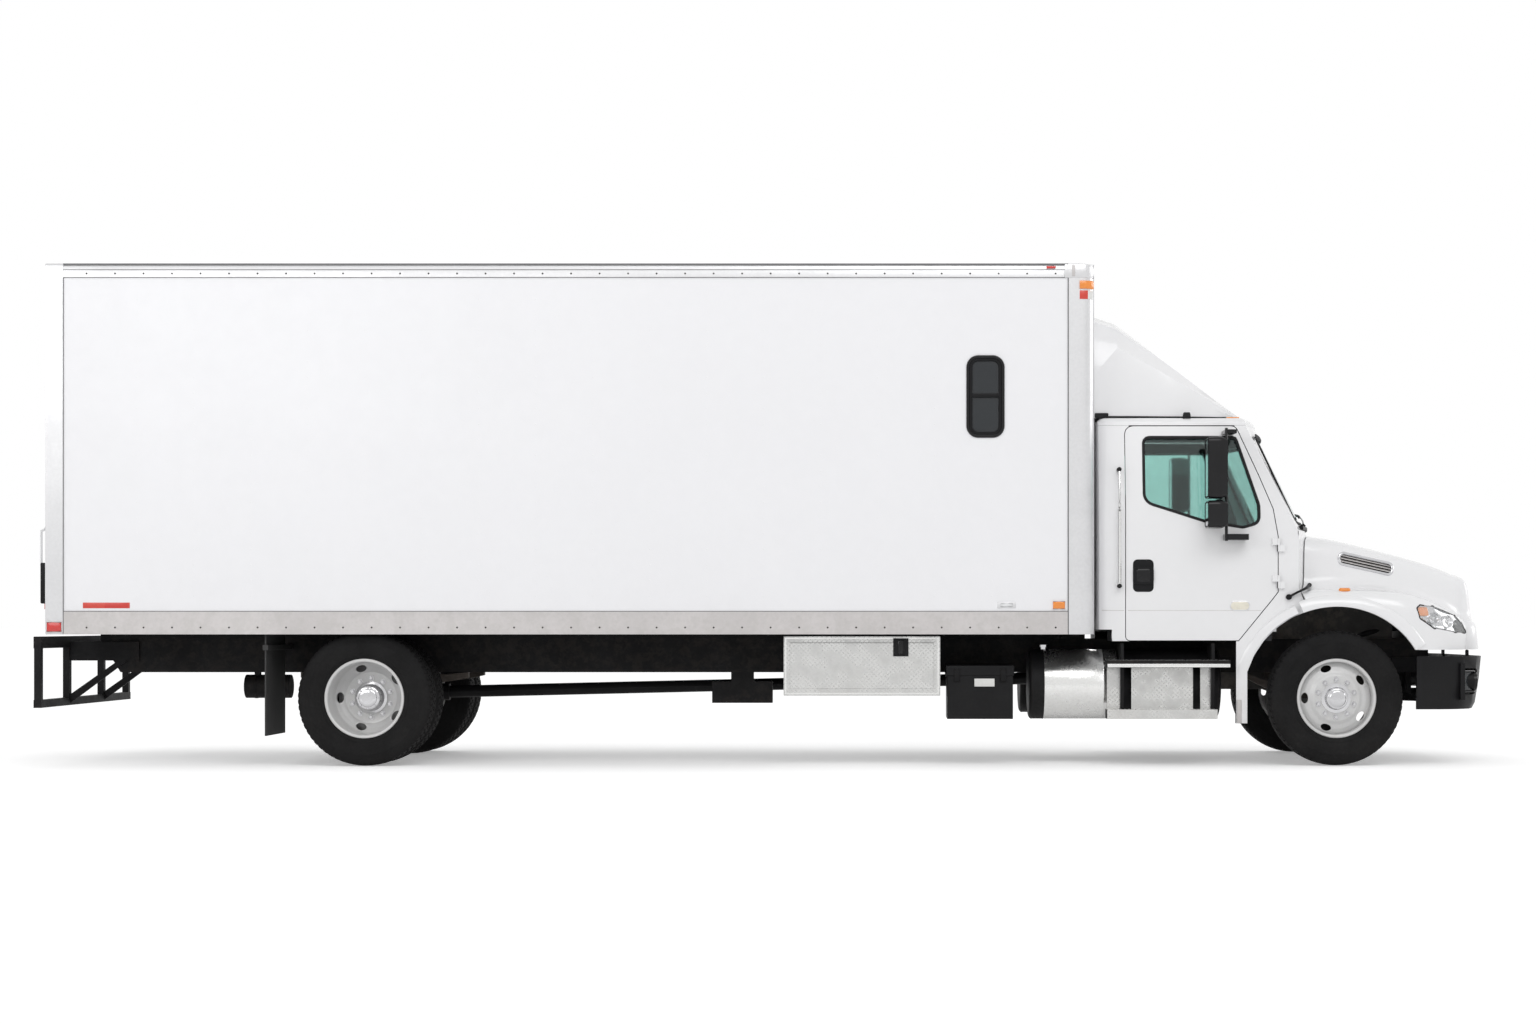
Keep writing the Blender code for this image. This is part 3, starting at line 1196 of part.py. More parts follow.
def hoop(points, radius):
    """A closed round bar through a ring of points."""
    curve = bpy.data.curves.new("hoop", "CURVE")
    curve.dimensions = "3D"
    curve.bevel_depth = radius
    curve.bevel_resolution = 1
    spline = curve.splines.new("POLY")
    spline.points.add(len(points) - 1)
    for point, place in zip(spline.points, points):
        point.co = (*place, 1.0)
    spline.use_cyclic_u = True
    drawn = bpy.data.objects.new("hoop", curve)
    CUTTERS.objects.link(drawn)
    bm = mesh_of(drawn)
    bpy.data.objects.remove(drawn, do_unlink=True)
    return add("hoop", bm)


def cab_seat(centre_y, name):
    """A seat on its pedestal: cushion, back and head rest in one soft outline."""
    rear = CAB_REAR + SEAT_BACK_GAP
    floor = CAB_FLOOR_TOP + SEAT
    base = CAB_FLOOR_TOP + SEAT_BASE
    top = ROOF_SEAM - SEAT_HEADROOM
    outline = rounded([(rear + 0.150, floor, 0.0), (rear + 0.570, floor, 0.0), (rear + 0.570, base, 0.0),
                       (rear + 0.650, base + 0.010, 0.040), (rear + 0.650, base + 0.170, 0.050),
                       (rear + 0.200, base + 0.130, 0.060), (rear + 0.120, top - 0.200, 0.030),
                       (rear + 0.110, top, 0.050), (rear + 0.010, top, 0.040), (rear, base + 0.150, 0.060),
                       (rear + 0.080, base, 0.040), (rear + 0.150, base, 0.0)], 3)
    seat = plate(outline, "xz", (centre_y - SEAT_HALF, centre_y + SEAT_HALF))
    return finish(seat, name, own(name, CLOTH, 0.9))


def cab():
    """The cab with its doors, glass, mirrors and what shows inside."""
    cab_floor()
    cab_rear()
    cab_front()
    windscreen()
    cab_roof()
    dashboard()
    cab_seat(DRIVER_Y, "driver_seat")
    cab_seat(-DRIVER_Y, "passenger_seat")
    for word, side in SIDES.items():
        hinge = pivot(f"door_hinge_{word}", (HINGE_X, side * HINGE_Y, HINGE_HEIGHTS[0]))
        cab_door(side, f"door_{word}", hinge)
        door_glass(side, f"door_glass_{word}", hinge)
        mirror(side, f"mirror_{word}", hinge)


# Hood

HOOD_SECTIONS = (
    # x, top z, bonnet half-width, shoulder z, fender top z, fender drawn in from its widest
    (3.960, 1.800, 0.870, 1.670, 1.330, 0.040),
    (4.400, 1.757, 0.820, 1.640, 1.345, 0.005),
    (4.700, 1.690, 0.770, 1.580, 1.340, 0.000),
    (4.960, 1.625, 0.720, 1.520, 1.300, 0.012),
    (5.150, 1.573, 0.680, 1.470, 1.235, 0.070),
    (5.300, 1.522, 0.640, 1.415, 1.165, 0.190),
    (5.400, 1.480, 0.605, 1.375, 1.110, 0.320),
)
HOOD_NOSE = (1.425, 0.560, 1.330, 1.075, 0.450)
LAMP_DEPTH = (
    # x, how far in from the widest fender the lamp's back lies
    (4.900, 0.080),
    (5.150, 0.138),
    (5.300, 0.258),
    (5.440, 0.430),
)


def nose_x(z):
    """The hood's front face, leaning back as it rises."""
    return HOOD_FRONT - NOSE_RAKE * (z - HOOD_BOTTOM)


def hood_loop(x, row, shrink, bottom):
    """One closed section of the hood; x may be a number or a function of height."""
    top, bonnet, shoulder, fender_top, drawn_in = row
    top, shoulder, fender_top = top - shrink, shoulder - shrink, fender_top - shrink
    bonnet, fender = bonnet - shrink, FENDER_HALF - drawn_in - shrink
    step = fender - bonnet
    half = [(0.0, top), (bonnet * 0.50, top - 0.008), (bonnet * 0.84, top - 0.030),
            (bonnet * 0.97, (top + shoulder) / 2), (bonnet, shoulder),
            (bonnet + step * 0.10, fender_top + 0.060),
            (bonnet + step * 0.30, fender_top + 0.004), (bonnet + step * 0.75, fender_top - 0.006),
            (bonnet + step * 0.93, fender_top - 0.045), (fender, fender_top - 0.120), (fender, bottom)]
    outline = half + [(-y, z) for y, z in half[:0:-1]]
    return [(x(z) if callable(x) else x, y, z) for y, z in outline]


def hood_block(shrink=0.0, drop=0.0, back=0.0):
    """The hood's outer form as a solid, or its inner form if it is shrunk."""
    bottom = HOOD_BOTTOM - drop
    loops = [hood_loop(x - (back if index == 0 else 0.0), row, shrink, bottom)
             for index, (x, *row) in enumerate(HOOD_SECTIONS)]
    loops.append(hood_loop(lambda z: nose_x(z) - shrink, HOOD_NOSE, shrink, bottom))
    return loft(loops, "hood_block")


def lamp_outline():
    """The headlamp seen from the side, with its tail swept up to the rear."""
    return [(4.961, 1.200), (4.988, 1.222), (5.098, 1.214), (5.299, 1.145), (5.361, 1.083), (5.405, 1.008),
            (5.285, 1.014), (5.098, 1.045), (4.985, 1.121)]


def vent_slots(side):
    """The louvre slots in the hood's side, sloping down to the front."""
    slots = []
    for index in range(VENT_SLOTS):
        drop = (index - (VENT_SLOTS - 1) / 2) * VENT_PITCH
        outline = rectangle((-VENT_LENGTH / 2, VENT_LENGTH / 2),
                            (drop - VENT_HEIGHT / 2, drop + VENT_HEIGHT / 2))
        turn = Matrix.Rotation(math.radians(VENT_SLOPE), 2)
        placed = [tuple(turn @ Vector(point) + Vector(VENT_CENTRE)) for point in outline]
        slots.append(plate(placed, "xz", (side * 0.600, side * 0.950)))
    return slots


def lug_outline(far):
    """A lug round the hood's pivot, straight from there up or down to its root."""
    away = 1.0 if far > HOOD_PIVOT_Z else -1.0
    x, z, radius = HOOD_PIVOT_X, HOOD_PIVOT_Z, HOOD_PIN_RADIUS
    points = [(x + radius * math.cos(turn), z - away * radius * math.sin(turn))
              for turn in (math.pi * step / 6 for step in range(7))]
    return points + [(x - radius, far), (x + radius, far)]


def hood(holder):
    """The tilting hood and fenders in one moulded shell, with its lugs at the nose."""
    shell = hood_block()
    cut(shell, hood_block(HOOD_WALL, 0.100, 0.100))
    reach = HOOD_REACH
    seam = [(SEAM_SIDE_X + SEAM_GAP, -reach), *seam_line(SEAM_GAP, CAB_HALF), (SEAM_SIDE_X + SEAM_GAP, reach)]
    behind = seam + [(CAB_REAR, reach), (CAB_REAR, -reach)]
    cut(shell, plate(behind, "xy", (HOOD_BOTTOM - 0.2, CAB_ROOF)))
    arch = [(FRONT_AXLE_X + ARCH_RADIUS * math.cos(turn), ARCH_Z + ARCH_RADIUS * math.sin(turn))
            for turn in (2 * math.pi * step / 40 for step in range(40))]
    cut(shell, plate(arch, "xz", (-reach, reach)))
    cut(shell, box((HOOD_FRONT - 0.150, HOOD_FRONT + 0.050), (-GRILLE_HALF, GRILLE_HALF), GRILLE_Z))
    for side in SIDES.values():
        beside = (side * (CAB_HALF - 2 * CAB_WALL), side * reach)
        cut(shell, plate(inset(side_outline(), -DOOR_GAP), "xz", beside))
        cut(shell, plate(lamp_outline(), "xz", (side * LAMP_INNER_Y, side * reach)))
        cut(shell, *vent_slots(side))
        lug_y = (side * HOOD_LUG_Y, side * (HOOD_LUG_Y - HOOD_LUG_WIDTH))
        fuse(shell, plate(lug_outline(HOOD_BOTTOM + 0.020), "xz", lug_y))
    return finish(shell, "hood", own("hood", WHITE_PAINT, 0.3), holder)


def headlamp(side, name, holder):
    """A headlamp that fills its opening and follows the fender's corner."""
    lamp = hood_block()
    shape = plate(inset(lamp_outline(), SEAT), "xz", (side * (LAMP_INNER_Y + SEAT), side * HOOD_REACH))
    back = [(x, FENDER_HALF - deep) for x, deep in LAMP_DEPTH]
    outline = back + [(back[-1][0], HOOD_REACH), (back[0][0], HOOD_REACH)]
    front = plate([(x, side * y) for x, y in outline], "xy", (HOOD_BOTTOM, CAB_ROOF))
    keep_inside(lamp, shape, front)
    return finish(lamp, name, own(name, (0.85, 0.86, 0.86), 0.1, 0.1), holder)


def grille(holder):
    """The grille: a frame with horizontal bars and two uprights, leaning with the nose."""
    y = (-GRILLE_HALF + SEAT, GRILLE_HALF - SEAT)
    z = (GRILLE_Z[0] + SEAT, GRILLE_Z[1] - SEAT)
    rim = GRILLE_RIM
    bar = plate(rectangle(y, z), "yz", (-GRILLE_DEPTH, 0.0),
                holes=[rectangle((y[0] + rim, y[1] - rim), (z[0] + rim, z[1] - rim))])
    pitch = (z[1] - z[0] - rim) / (GRILLE_BARS + 1)
    for index in range(1, GRILLE_BARS + 1):
        centre = z[0] + rim / 2 + index * pitch
        fuse(bar, box((-GRILLE_DEPTH + 0.006, -0.004), (y[0] + rim / 2, y[1] - rim / 2),
                      (centre - GRILLE_BAR / 2, centre + GRILLE_BAR / 2)))
    for centre in (-GRILLE_HALF / 3, GRILLE_HALF / 3):
        fuse(bar, box((-GRILLE_DEPTH + 0.003, -0.012), (centre - 0.008, centre + 0.008),
                      (z[0] + rim / 2, z[1] - rim / 2)))
    bm = mesh_of(bar)
    for vert in bm.verts:
        vert.co.x += nose_x(vert.co.z)
    bpy.data.objects.remove(bar, do_unlink=True)
    return finish(add("grille", bm), "grille", own("grille", BLACK_PAINT, 0.4), holder)


def front_end():
    """Engine, radiator, tilting hood and bumper."""
    engine()
    radiator()
    hinge = pivot("hood_hinge", (HOOD_PIVOT_X, 0.0, HOOD_PIVOT_Z))
    hood(hinge)
    grille(hinge)
    for word, side in SIDES.items():
        headlamp(side, f"headlamp_{word}", hinge)
    bumper()


BUMPER_OUTER = (
    # share of the depth from rear to front, how far in from the ends
    (0.00, 0.000),
    (0.35, 0.010),
    (0.62, 0.060),
    (0.84, 0.170),
    (0.96, 0.340),
    (1.00, 0.520),
)
BUMPER_INNER = (
    (0.00, 0.000),
    (0.34, 0.010),
    (0.59, 0.062),
    (0.79, 0.180),
    (0.90, 0.320),
    (1.00, 0.490),
)


def bumper_loop(z, front):
    """The bumper seen from above at one height: a bar bent back at both ends."""
    reach = front - BUMPER_REAR
    wall = BUMPER_WALL
    outer = [(BUMPER_REAR + reach * share, BUMPER_HALF - drawn_in) for share, drawn_in in BUMPER_OUTER]
    inner = [(BUMPER_REAR + reach * share, BUMPER_HALF - wall - drawn_in) for share, drawn_in in BUMPER_INNER]
    inner[-1] = (front - wall, inner[-1][1])
    right = [(x, -y) for x, y in outer]
    right_inner = [(x, -y) for x, y in inner]
    loop = outer + right[::-1] + right_inner + inner[::-1]
    return [(x, y, z) for x, y in loop]


def bumper():
    """The bumper: a raked bar wrapped round the corners, its brackets and the hood's pivots."""
    low, high = BUMPER_Z
    levels = ((high, BUMPER_FRONT), (high - 0.170, BUMPER_FRONT - 0.018), (low + 0.045, BUMPER_FRONT - 0.050),
              (low, BUMPER_FRONT - 0.075))
    bar = loft([bumper_loop(z, front) for z, front in levels])
    for side in SIDES.values():
        recess = rectangle(BUMPER_RECESS_X, BUMPER_RECESS_Z, 0.030)
        cut(bar, plate(recess, "xz", (side * (BUMPER_HALF - 0.300), side * (BUMPER_HALF + 0.050))))
        lamp_z = (BUMPER_RECESS_Z[0] + BUMPER_RECESS_Z[1]) / 2
        back_x = (BUMPER_RECESS_X[0], BUMPER_RECESS_X[0] + 0.035)
        lamp_y = side * (BUMPER_HALF - 0.205)
        fuse(bar, rod((back_x[0] + 0.030, lamp_y, lamp_z), (BUMPER_RECESS_X[1] - 0.030, lamp_y, lamp_z),
                      FOG_LAMP_RADIUS, 16))
        fuse(bar, box(back_x, (side * (BUMPER_HALF - 0.265), side * (BUMPER_HALF - 0.030)),
                      (BUMPER_RECESS_Z[0] - BUMPER_WALL, BUMPER_RECESS_Z[1] + BUMPER_WALL)))
        bracket_y = (side * (FRAME_HALF + SEAT), side * (FRAME_HALF + SEAT + BRACKET))
        fuse(bar, box((FRAME_FRONT - 0.300, BUMPER_FRONT - BUMPER_WALL / 2 - 0.030), bracket_y,
                      (FRAME_BOTTOM + 0.010, high - 0.020)))
        post_in = HOOD_LUG_Y + PIN_GAP
        post_out = post_in + HOOD_LUG_WIDTH
        fuse(bar, plate(lug_outline(high - 0.060), "xz", (side * post_in, side * post_out)))
    return finish(bar, "bumper", own("bumper", BLACK_PAINT, 0.5))


# Roof fairing

FAIRING_SECTIONS = (
    # distance ahead of the cab's rear, rise over its roof, half-width at the top edge
    (-0.019, 0.845, 0.905),
    (0.166, 0.782, 0.900),
    (0.428, 0.587, 0.880),
    (0.686, 0.381, 0.850),
    (0.947, 0.166, 0.800),
    (1.111, 0.040, 0.740),
)


def fairing_block(shrink, drop, back):
    """The fairing's outer form as a solid, or its inner form if it is shrunk."""
    loops = []
    last = len(FAIRING_SECTIONS) - 1
    low = CAB_ROOF + SEAT
    for index, (ahead, rise, half) in enumerate(FAIRING_SECTIONS):
        place = CAB_REAR + ahead - (back if index == 0 else 0.0) - (shrink * 3 if index == last else 0.0)
        high, wide = CAB_ROOF + rise - shrink, half - shrink
        tall = high - low
        right = [(0.0, high), (wide * 0.60, high - tall * 0.02), (wide * 0.86, high - tall * 0.10),
                 (wide * 0.97, high - tall * 0.30), (wide, high - tall * 0.60), (wide, low - drop)]
        outline = right + [(-y, z) for y, z in right[:0:-1]]
        loops.append([(place, y, z) for y, z in outline])
    return loft(loops, "fairing_block")


def roof_fairing():
    """The air deflector on the cab roof, a moulded shell open to the rear and below."""
    shell = fairing_block(0.0, 0.0, 0.0)
    cut(shell, fairing_block(FAIRING_WALL, 0.050, 0.050))
    return finish(shell, "roof_fairing", own("roof_fairing", WHITE_PAINT, 0.35))


# Equipment along the sides and at the rear


def fuel_tank(side, name):
    """A round tank on two cradles hung from the frame rail."""
    centre = Vector((0.0, side * TANK_Y, TANK_Z))
    bm = bmesh.new()
    length = TANK_X[1] - TANK_X[0]
    bmesh.ops.create_cone(bm, cap_ends=True, segments=24, radius1=TANK_RADIUS, radius2=TANK_RADIUS,
                          depth=length)
    caps = [edge for edge in bm.edges if len(edge.link_faces) == 2
            and any(len(face.verts) > 4 for face in edge.link_faces)]
    bmesh.ops.bevel(bm, geom=caps, offset=0.015, segments=1, profile=0.5, affect="EDGES")
    bmesh.ops.rotate(bm, matrix=Matrix.Rotation(math.pi / 2, 3, "Y"), verts=bm.verts)
    tank = add("fuel_tank", bm, centre + Vector(((TANK_X[0] + TANK_X[1]) / 2, 0, 0)))
    for x in (TANK_X[0] + 0.250, TANK_X[1] - 0.250):
        cradle_y = (side * (FRAME_HALF + SEAT), side * (TANK_Y - TANK_RADIUS + 0.060))
        fuse(tank, box((x - 0.030, x + 0.030), cradle_y, (FRAME_BOTTOM + 0.020, FRAME_BOTTOM + 0.120)))
    fuse(tank, rod((TANK_X[0] + 0.120, side * (TANK_Y + 0.110), TANK_Z + TANK_RADIUS - 0.060),
                   (TANK_X[0] + 0.120, side * (TANK_Y + 0.150), TANK_Z + TANK_RADIUS + 0.010), 0.045, 14))
    return finish(tank, name, own(name, ALUMINIUM, 0.25, 0.9))


def step(side, name):
    """The cab steps: two treads and riser plates on hangers over the tank."""
    low_z, high_z = STEP_LOW_Z, STEP_HIGH_Z
    steps_made = box(STEP_X, (side * (STEP_OUTER - 0.190), side * STEP_OUTER), high_z)
    lower = box((STEP_X[0], STEP_X[1] - 0.100), (side * (STEP_OUTER - 0.170), side * (STEP_OUTER + 0.010)),
                low_z)
    riser_y = (side * (STEP_OUTER - 0.160), side * (STEP_OUTER - 0.145))
    risers = [box((STEP_X[0] + start, STEP_X[0] + start + width), riser_y, (low_z[1] - BITE, high_z[0] + BITE))
              for start, width in STEP_RISERS]
    hangers = []
    for x in (TANK_X[0] + 0.700, TANK_X[1] - 0.080):
        root = HANGER_TOP - 0.170
        outline = [(FRAME_HALF + SEAT, root), (FRAME_HALF + SEAT, HANGER_TOP), (STEP_OUTER - 0.080, HANGER_TOP),
                   (STEP_OUTER - 0.060, high_z[0] - 0.010), (STEP_OUTER - 0.120, low_z[0]),
                   (STEP_OUTER - 0.170, low_z[0]), (STEP_OUTER - 0.170, HANGER_FOOT), (TANK_Y + 0.100, root)]
        hanger = plate([(side * y, z) for y, z in outline], "yz", (x - 0.012, x + 0.012))
        hangers.append(hanger)
    fuse(steps_made, lower, *risers, *hangers)
    around = rod((TANK_X[0] - 0.1, side * TANK_Y, TANK_Z), (TANK_X[1] + 0.1, side * TANK_Y, TANK_Z),
                 (TANK_RADIUS + SEAT) / math.cos(math.pi / 24), 24)
    cut(steps_made, around)
    return finish(steps_made, name, own(name, ALUMINIUM, 0.4, 0.7))


def battery_box():
    """The battery box behind the tank, with its overhanging lid."""
    side = SIDES["right"]
    x, y = BATTERY_X, BATTERY_Y
    low, high = BATTERY_Z
    seam = high - BATTERY_LID
    case = box(x, (side * y[0], side * y[1]), (low, seam))
    lid = box((x[0] - 0.008, x[1] + 0.008), (side * (y[0] - 0.008), side * (y[1] + 0.010)), (seam - BITE, high))
    bracket = box((x[0] + 0.080, x[1] - 0.080), (side * (FRAME_HALF + SEAT), side * (y[0] + BRACKET)),
                  (seam + 0.015, high - 0.006))
    fuse(case, lid, bracket)
    return finish(case, "battery_box", own("battery_box", BLACK_PAINT, 0.55))


def toolbox():
    """The toolbox: an open-fronted steel case hung from the frame rail."""
    side = SIDES["right"]
    near, far = TOOLBOX_Y
    wall = TOOLBOX_WALL
    case = box(TOOLBOX_X, (side * near, side * far), TOOLBOX_Z)
    room = box((TOOLBOX_X[0] + wall, TOOLBOX_X[1] - wall), (side * (near + wall), side * (far + wall)),
               (TOOLBOX_Z[0] + wall, TOOLBOX_Z[1] - wall))
    cut(case, room)
    for x in (TOOLBOX_X[0] + 0.200, TOOLBOX_X[1] - 0.280):
        fuse(case, box((x, x + 0.080), (side * (FRAME_HALF + SEAT), side * (near + BITE)),
                       (FRAME_BOTTOM + 0.040, FRAME_TOP - 0.020)))
    return finish(case, "toolbox", own("toolbox", ALUMINIUM, 0.35, 0.8))


def toolbox_door(holder):
    """The toolbox door, hinged along its lower edge, with its latch at the top."""
    side = SIDES["right"]
    far = TOOLBOX_Y[1] + LID_GAP
    low, high = TOOLBOX_Z[0] + LID_RAISE, TOOLBOX_Z[1]
    face = far + LID_THICKNESS
    leaf = box(TOOLBOX_X, (side * far, side * face), (low, high))
    panel = box((TOOLBOX_X[0] + 0.050, TOOLBOX_X[1] - 0.050), (side * far, side * (face + 0.008)),
                (low + 0.050, high - 0.050))
    latch = box((TOOLBOX_X[1] - 0.357, TOOLBOX_X[1] - 0.242), (side * face, side * (face + 0.022)),
                (high - 0.153, high - 0.016))
    fuse(leaf, panel, latch)
    return finish(leaf, "toolbox_door", own("toolbox_door", ALUMINIUM, 0.35, 0.8), holder)


def air_tank():
    """The air reservoir under the right frame rail, on two saddles."""
    y = -(FRAME_HALF - 0.045)
    radius = AIR_TANK_RADIUS
    z = FRAME_BOTTOM - 0.019 - radius
    start, end = AIR_TANK_X
    tank = rod((start, y, z), (end, y, z), radius, 20)
    for x in (start + 0.090, end - 0.090):
        fuse(tank, box((x - 0.020, x + 0.020), (y - 0.030, y + 0.030), (z + radius / 2, FRAME_BOTTOM - SEAT)))
    return finish(tank, "air_tank", own("air_tank", BLACK_PAINT, 0.45))


def mud_flap(side, name):
    """A flap behind the twin wheels, hung on an arm from the frame rail."""
    half = TWIN_SPACING / 2 + TYRE_HALF_WIDTH
    thick = MUD_FLAP_THICKNESS / 2
    flap = box((MUD_FLAP_X - thick, MUD_FLAP_X + thick),
               (side * (REAR_WHEEL_Y - half), side * (REAR_WHEEL_Y + half)),
               (MUD_FLAP_BOTTOM, BOX_BOTTOM - SEAT))
    arm = box((MUD_FLAP_X - FLAP_ARM / 2, MUD_FLAP_X + FLAP_ARM / 2),
              (side * (FRAME_HALF + SEAT), side * (REAR_WHEEL_Y + half + BITE)),
              (FRAME_TOP - 2 * FLAP_ARM, FRAME_TOP - FLAP_ARM))
    fuse(flap, arm)
    return finish(flap, name, own(name, RUBBER, 0.85))


def rear_guard():
    """The rear underrun guard: beam, uprights, cross bar and braces to the frame."""
    rear, face = GUARD_REAR, GUARD_REAR + GUARD_DEPTH
    wide = (-GUARD_HALF, GUARD_HALF)
    low, high = GUARD_Z
    beam = box((rear, face), wide, (high - GUARD_BEAM, high))
    pieces = [box((rear, face), wide, (low, low + GUARD_BAR))]
    post = GUARD_POST / 2
    for y in (-GUARD_HALF + post, -FRAME_HALF - 0.010, FRAME_HALF + 0.010, GUARD_HALF - post):
        pieces.append(box((rear + BITE, face - BITE), (y - post, y + post),
                          (low + BITE, high - GUARD_BEAM + BITE)))
    for side in SIDES.values():
        near = FRAME_HALF + SEAT
        y = (side * near, side * (near + BRACKET))
        pieces.append(box((face - 2 * BITE, FRAME_REAR + 0.310), y, (FRAME_TOP - 0.170, FRAME_TOP - 0.020)))
        brace = [(face - 0.011, low + 0.010), (face - 0.011, low + 0.080), (FRAME_REAR + 0.200, 0.830),
                 (FRAME_REAR + 0.270, 0.830)]
        pieces.append(plate(brace, "xz", y))
    fuse(beam, *pieces)
    return finish(beam, "rear_guard", own("rear_guard", BLACK_PAINT, 0.5))


def equipment():
    """Tanks, steps, boxes, flaps and the rear guard."""
    drive_shaft()
    for word, side in SIDES.items():
        fuel_tank(side, f"fuel_tank_{word}")
        step(side, f"step_{word}")
        mud_flap(side, f"mud_flap_{word}")
    battery_box()
    toolbox()
    far = TOOLBOX_Y[1] + LID_GAP + LID_THICKNESS
    lid_hinge = pivot("toolbox_hinge", (TOOLBOX_X[0], -far, TOOLBOX_Z[0] + LID_RAISE))
    toolbox_door(lid_hinge)
    air_tank()
    rear_guard()


chassis_frame()
running_gear()
load_body()
cab()
front_end()
roof_fairing()
equipment()
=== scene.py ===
"""Looks of the box truck: finishes, lamps, seals, wheels, glass, seats and the studio.

+X is the nose, +Y the truck's left, +Z up, metres. Every new piece is worked out
on grids of points, and its place is in its mesh.
"""
import json
import math

import bmesh
import bpy
import numpy as np
from bpy.props import FloatProperty, FloatVectorProperty, IntProperty, PointerProperty
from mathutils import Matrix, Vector

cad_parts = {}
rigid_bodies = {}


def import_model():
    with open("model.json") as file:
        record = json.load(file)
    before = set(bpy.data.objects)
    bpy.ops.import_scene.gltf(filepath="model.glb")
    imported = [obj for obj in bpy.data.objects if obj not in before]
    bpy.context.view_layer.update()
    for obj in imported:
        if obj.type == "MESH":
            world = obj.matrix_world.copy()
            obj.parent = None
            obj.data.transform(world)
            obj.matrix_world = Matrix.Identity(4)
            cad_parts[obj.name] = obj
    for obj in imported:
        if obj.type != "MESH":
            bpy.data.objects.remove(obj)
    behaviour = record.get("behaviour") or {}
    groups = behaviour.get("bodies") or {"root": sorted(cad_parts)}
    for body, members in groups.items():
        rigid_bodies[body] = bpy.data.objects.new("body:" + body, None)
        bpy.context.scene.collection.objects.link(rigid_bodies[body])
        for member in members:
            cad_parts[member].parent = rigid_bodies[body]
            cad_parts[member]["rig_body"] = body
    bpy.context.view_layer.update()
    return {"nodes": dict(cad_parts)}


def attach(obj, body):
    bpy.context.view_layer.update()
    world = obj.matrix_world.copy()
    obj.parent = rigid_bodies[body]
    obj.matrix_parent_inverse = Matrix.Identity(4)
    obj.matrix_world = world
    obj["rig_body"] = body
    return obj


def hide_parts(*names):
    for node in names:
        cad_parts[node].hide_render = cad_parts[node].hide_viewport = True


bl_info = {
    "name": "Box truck looks",
    "version": (1, 0, 0),
    "blender": (4, 5, 0),
    "location": "View3D > Sidebar > Truck",
    "description": "Dresses the box truck's frame with its finishes and fine pieces",
    "category": "Object",
}

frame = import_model()
NODES = frame["nodes"]
SIDES = {"right": -1.0, "left": 1.0}
TURN = 2.0 * math.pi
WELD = 0.00002
COPY_WELD = 0.00003
FLAT_ANGLE = math.radians(0.3)
EDGE_ANGLE = math.radians(30.0)


# Grids and meshes


def rows(*points):
    """Points as an array."""
    return np.array(points, dtype=float)


def smooth_path(points, count):
    """Points along a Catmull-Rom curve through the given ones, as equal shares of its spans."""
    points = np.asarray(points, float)
    spans = len(points) - 1
    place = np.linspace(0.0, spans, count)
    first = np.minimum(place.astype(int), spans - 1)
    share = (place - first)[:, None]
    padded = np.vstack([2 * points[0] - points[1], points, 2 * points[-1] - points[-2]])
    before, here, after, later = (padded[first + step] for step in range(4))
    return 0.5 * (2 * here + (after - before) * share
                  + (2 * before - 5 * here + 4 * after - later) * share ** 2
                  + (3 * here - before - 3 * after + later) * share ** 3)


def even_path(points, count, closed=False):
    """Points at equal distances along a polyline."""
    points = np.asarray(points, float)
    if closed:
        points = np.vstack([points, points[:1]])
    gaps = np.linalg.norm(np.diff(points, axis=0), axis=1)
    along = np.concatenate([[0.0], np.cumsum(gaps)])
    place = np.linspace(0.0, along[-1], count, endpoint=not closed)
    return np.stack([np.interp(place, along, points[:, axis]) for axis in range(points.shape[1])], axis=1)


def round_corners(corners, steps=6):
    """A closed outline from rows of x, y and radius: each corner becomes an arc of that radius."""
    corners = np.asarray(corners, float)
    made = []
    for before, here, after in zip(np.roll(corners, 1, 0), corners, np.roll(corners, -1, 0)):
        toward = (before - here)[:2] / np.linalg.norm((before - here)[:2])
        away = (after - here)[:2] / np.linalg.norm((after - here)[:2])
        half = math.acos(max(-1.0, min(1.0, float(toward @ away)))) / 2
        if here[2] <= 0.0 or half > math.pi / 2 - 0.01:
            made.append(here[None, :2])
            continue
        reach = here[2] / math.tan(half)
        middle = here[:2] + (toward + away) / np.linalg.norm(toward + away) * here[2] / math.sin(half)
        start = here[:2] + toward * reach - middle
        end = here[:2] + away * reach - middle
        share = np.linspace(0.0, 1.0, steps)[:, None]
        sweep = math.pi - 2 * half
        arc = (start * np.sin((1 - share) * sweep) + end * np.sin(share * sweep)) / math.sin(sweep)
        made.append(middle + arc)
    return np.vstack(made)


def rectangle(u, v, radius=0.0, steps=5):
    """A rounded rectangle's outline from two spans."""
    corners = [(u[0], v[0], radius), (u[1], v[0], radius), (u[1], v[1], radius), (u[0], v[1], radius)]
    return round_corners(corners, steps)


def outward(outline, distance):
    """A closed outline moved outward by a distance, or inward if it is negative."""
    outline = np.asarray(outline, float)
    ahead = np.roll(outline, -1, 0) - outline
    ahead /= np.maximum(np.linalg.norm(ahead, axis=1), 1e-9)[:, None]
    back = np.roll(ahead, 1, 0)
    area = np.sum(outline[:, 0] * np.roll(outline[:, 1], -1) - np.roll(outline[:, 0], -1) * outline[:, 1])
    turn = 1.0 if area > 0 else -1.0
    normal = np.stack([ahead[:, 1], -ahead[:, 0]], 1) + np.stack([back[:, 1], -back[:, 0]], 1)
    normal /= np.maximum(np.linalg.norm(normal, axis=1), 1e-9)[:, None]
    lean = np.sum(normal * np.stack([ahead[:, 1], -ahead[:, 0]], 1), axis=1)
    return outline + normal * (turn * distance / np.maximum(lean, 0.35))[:, None]


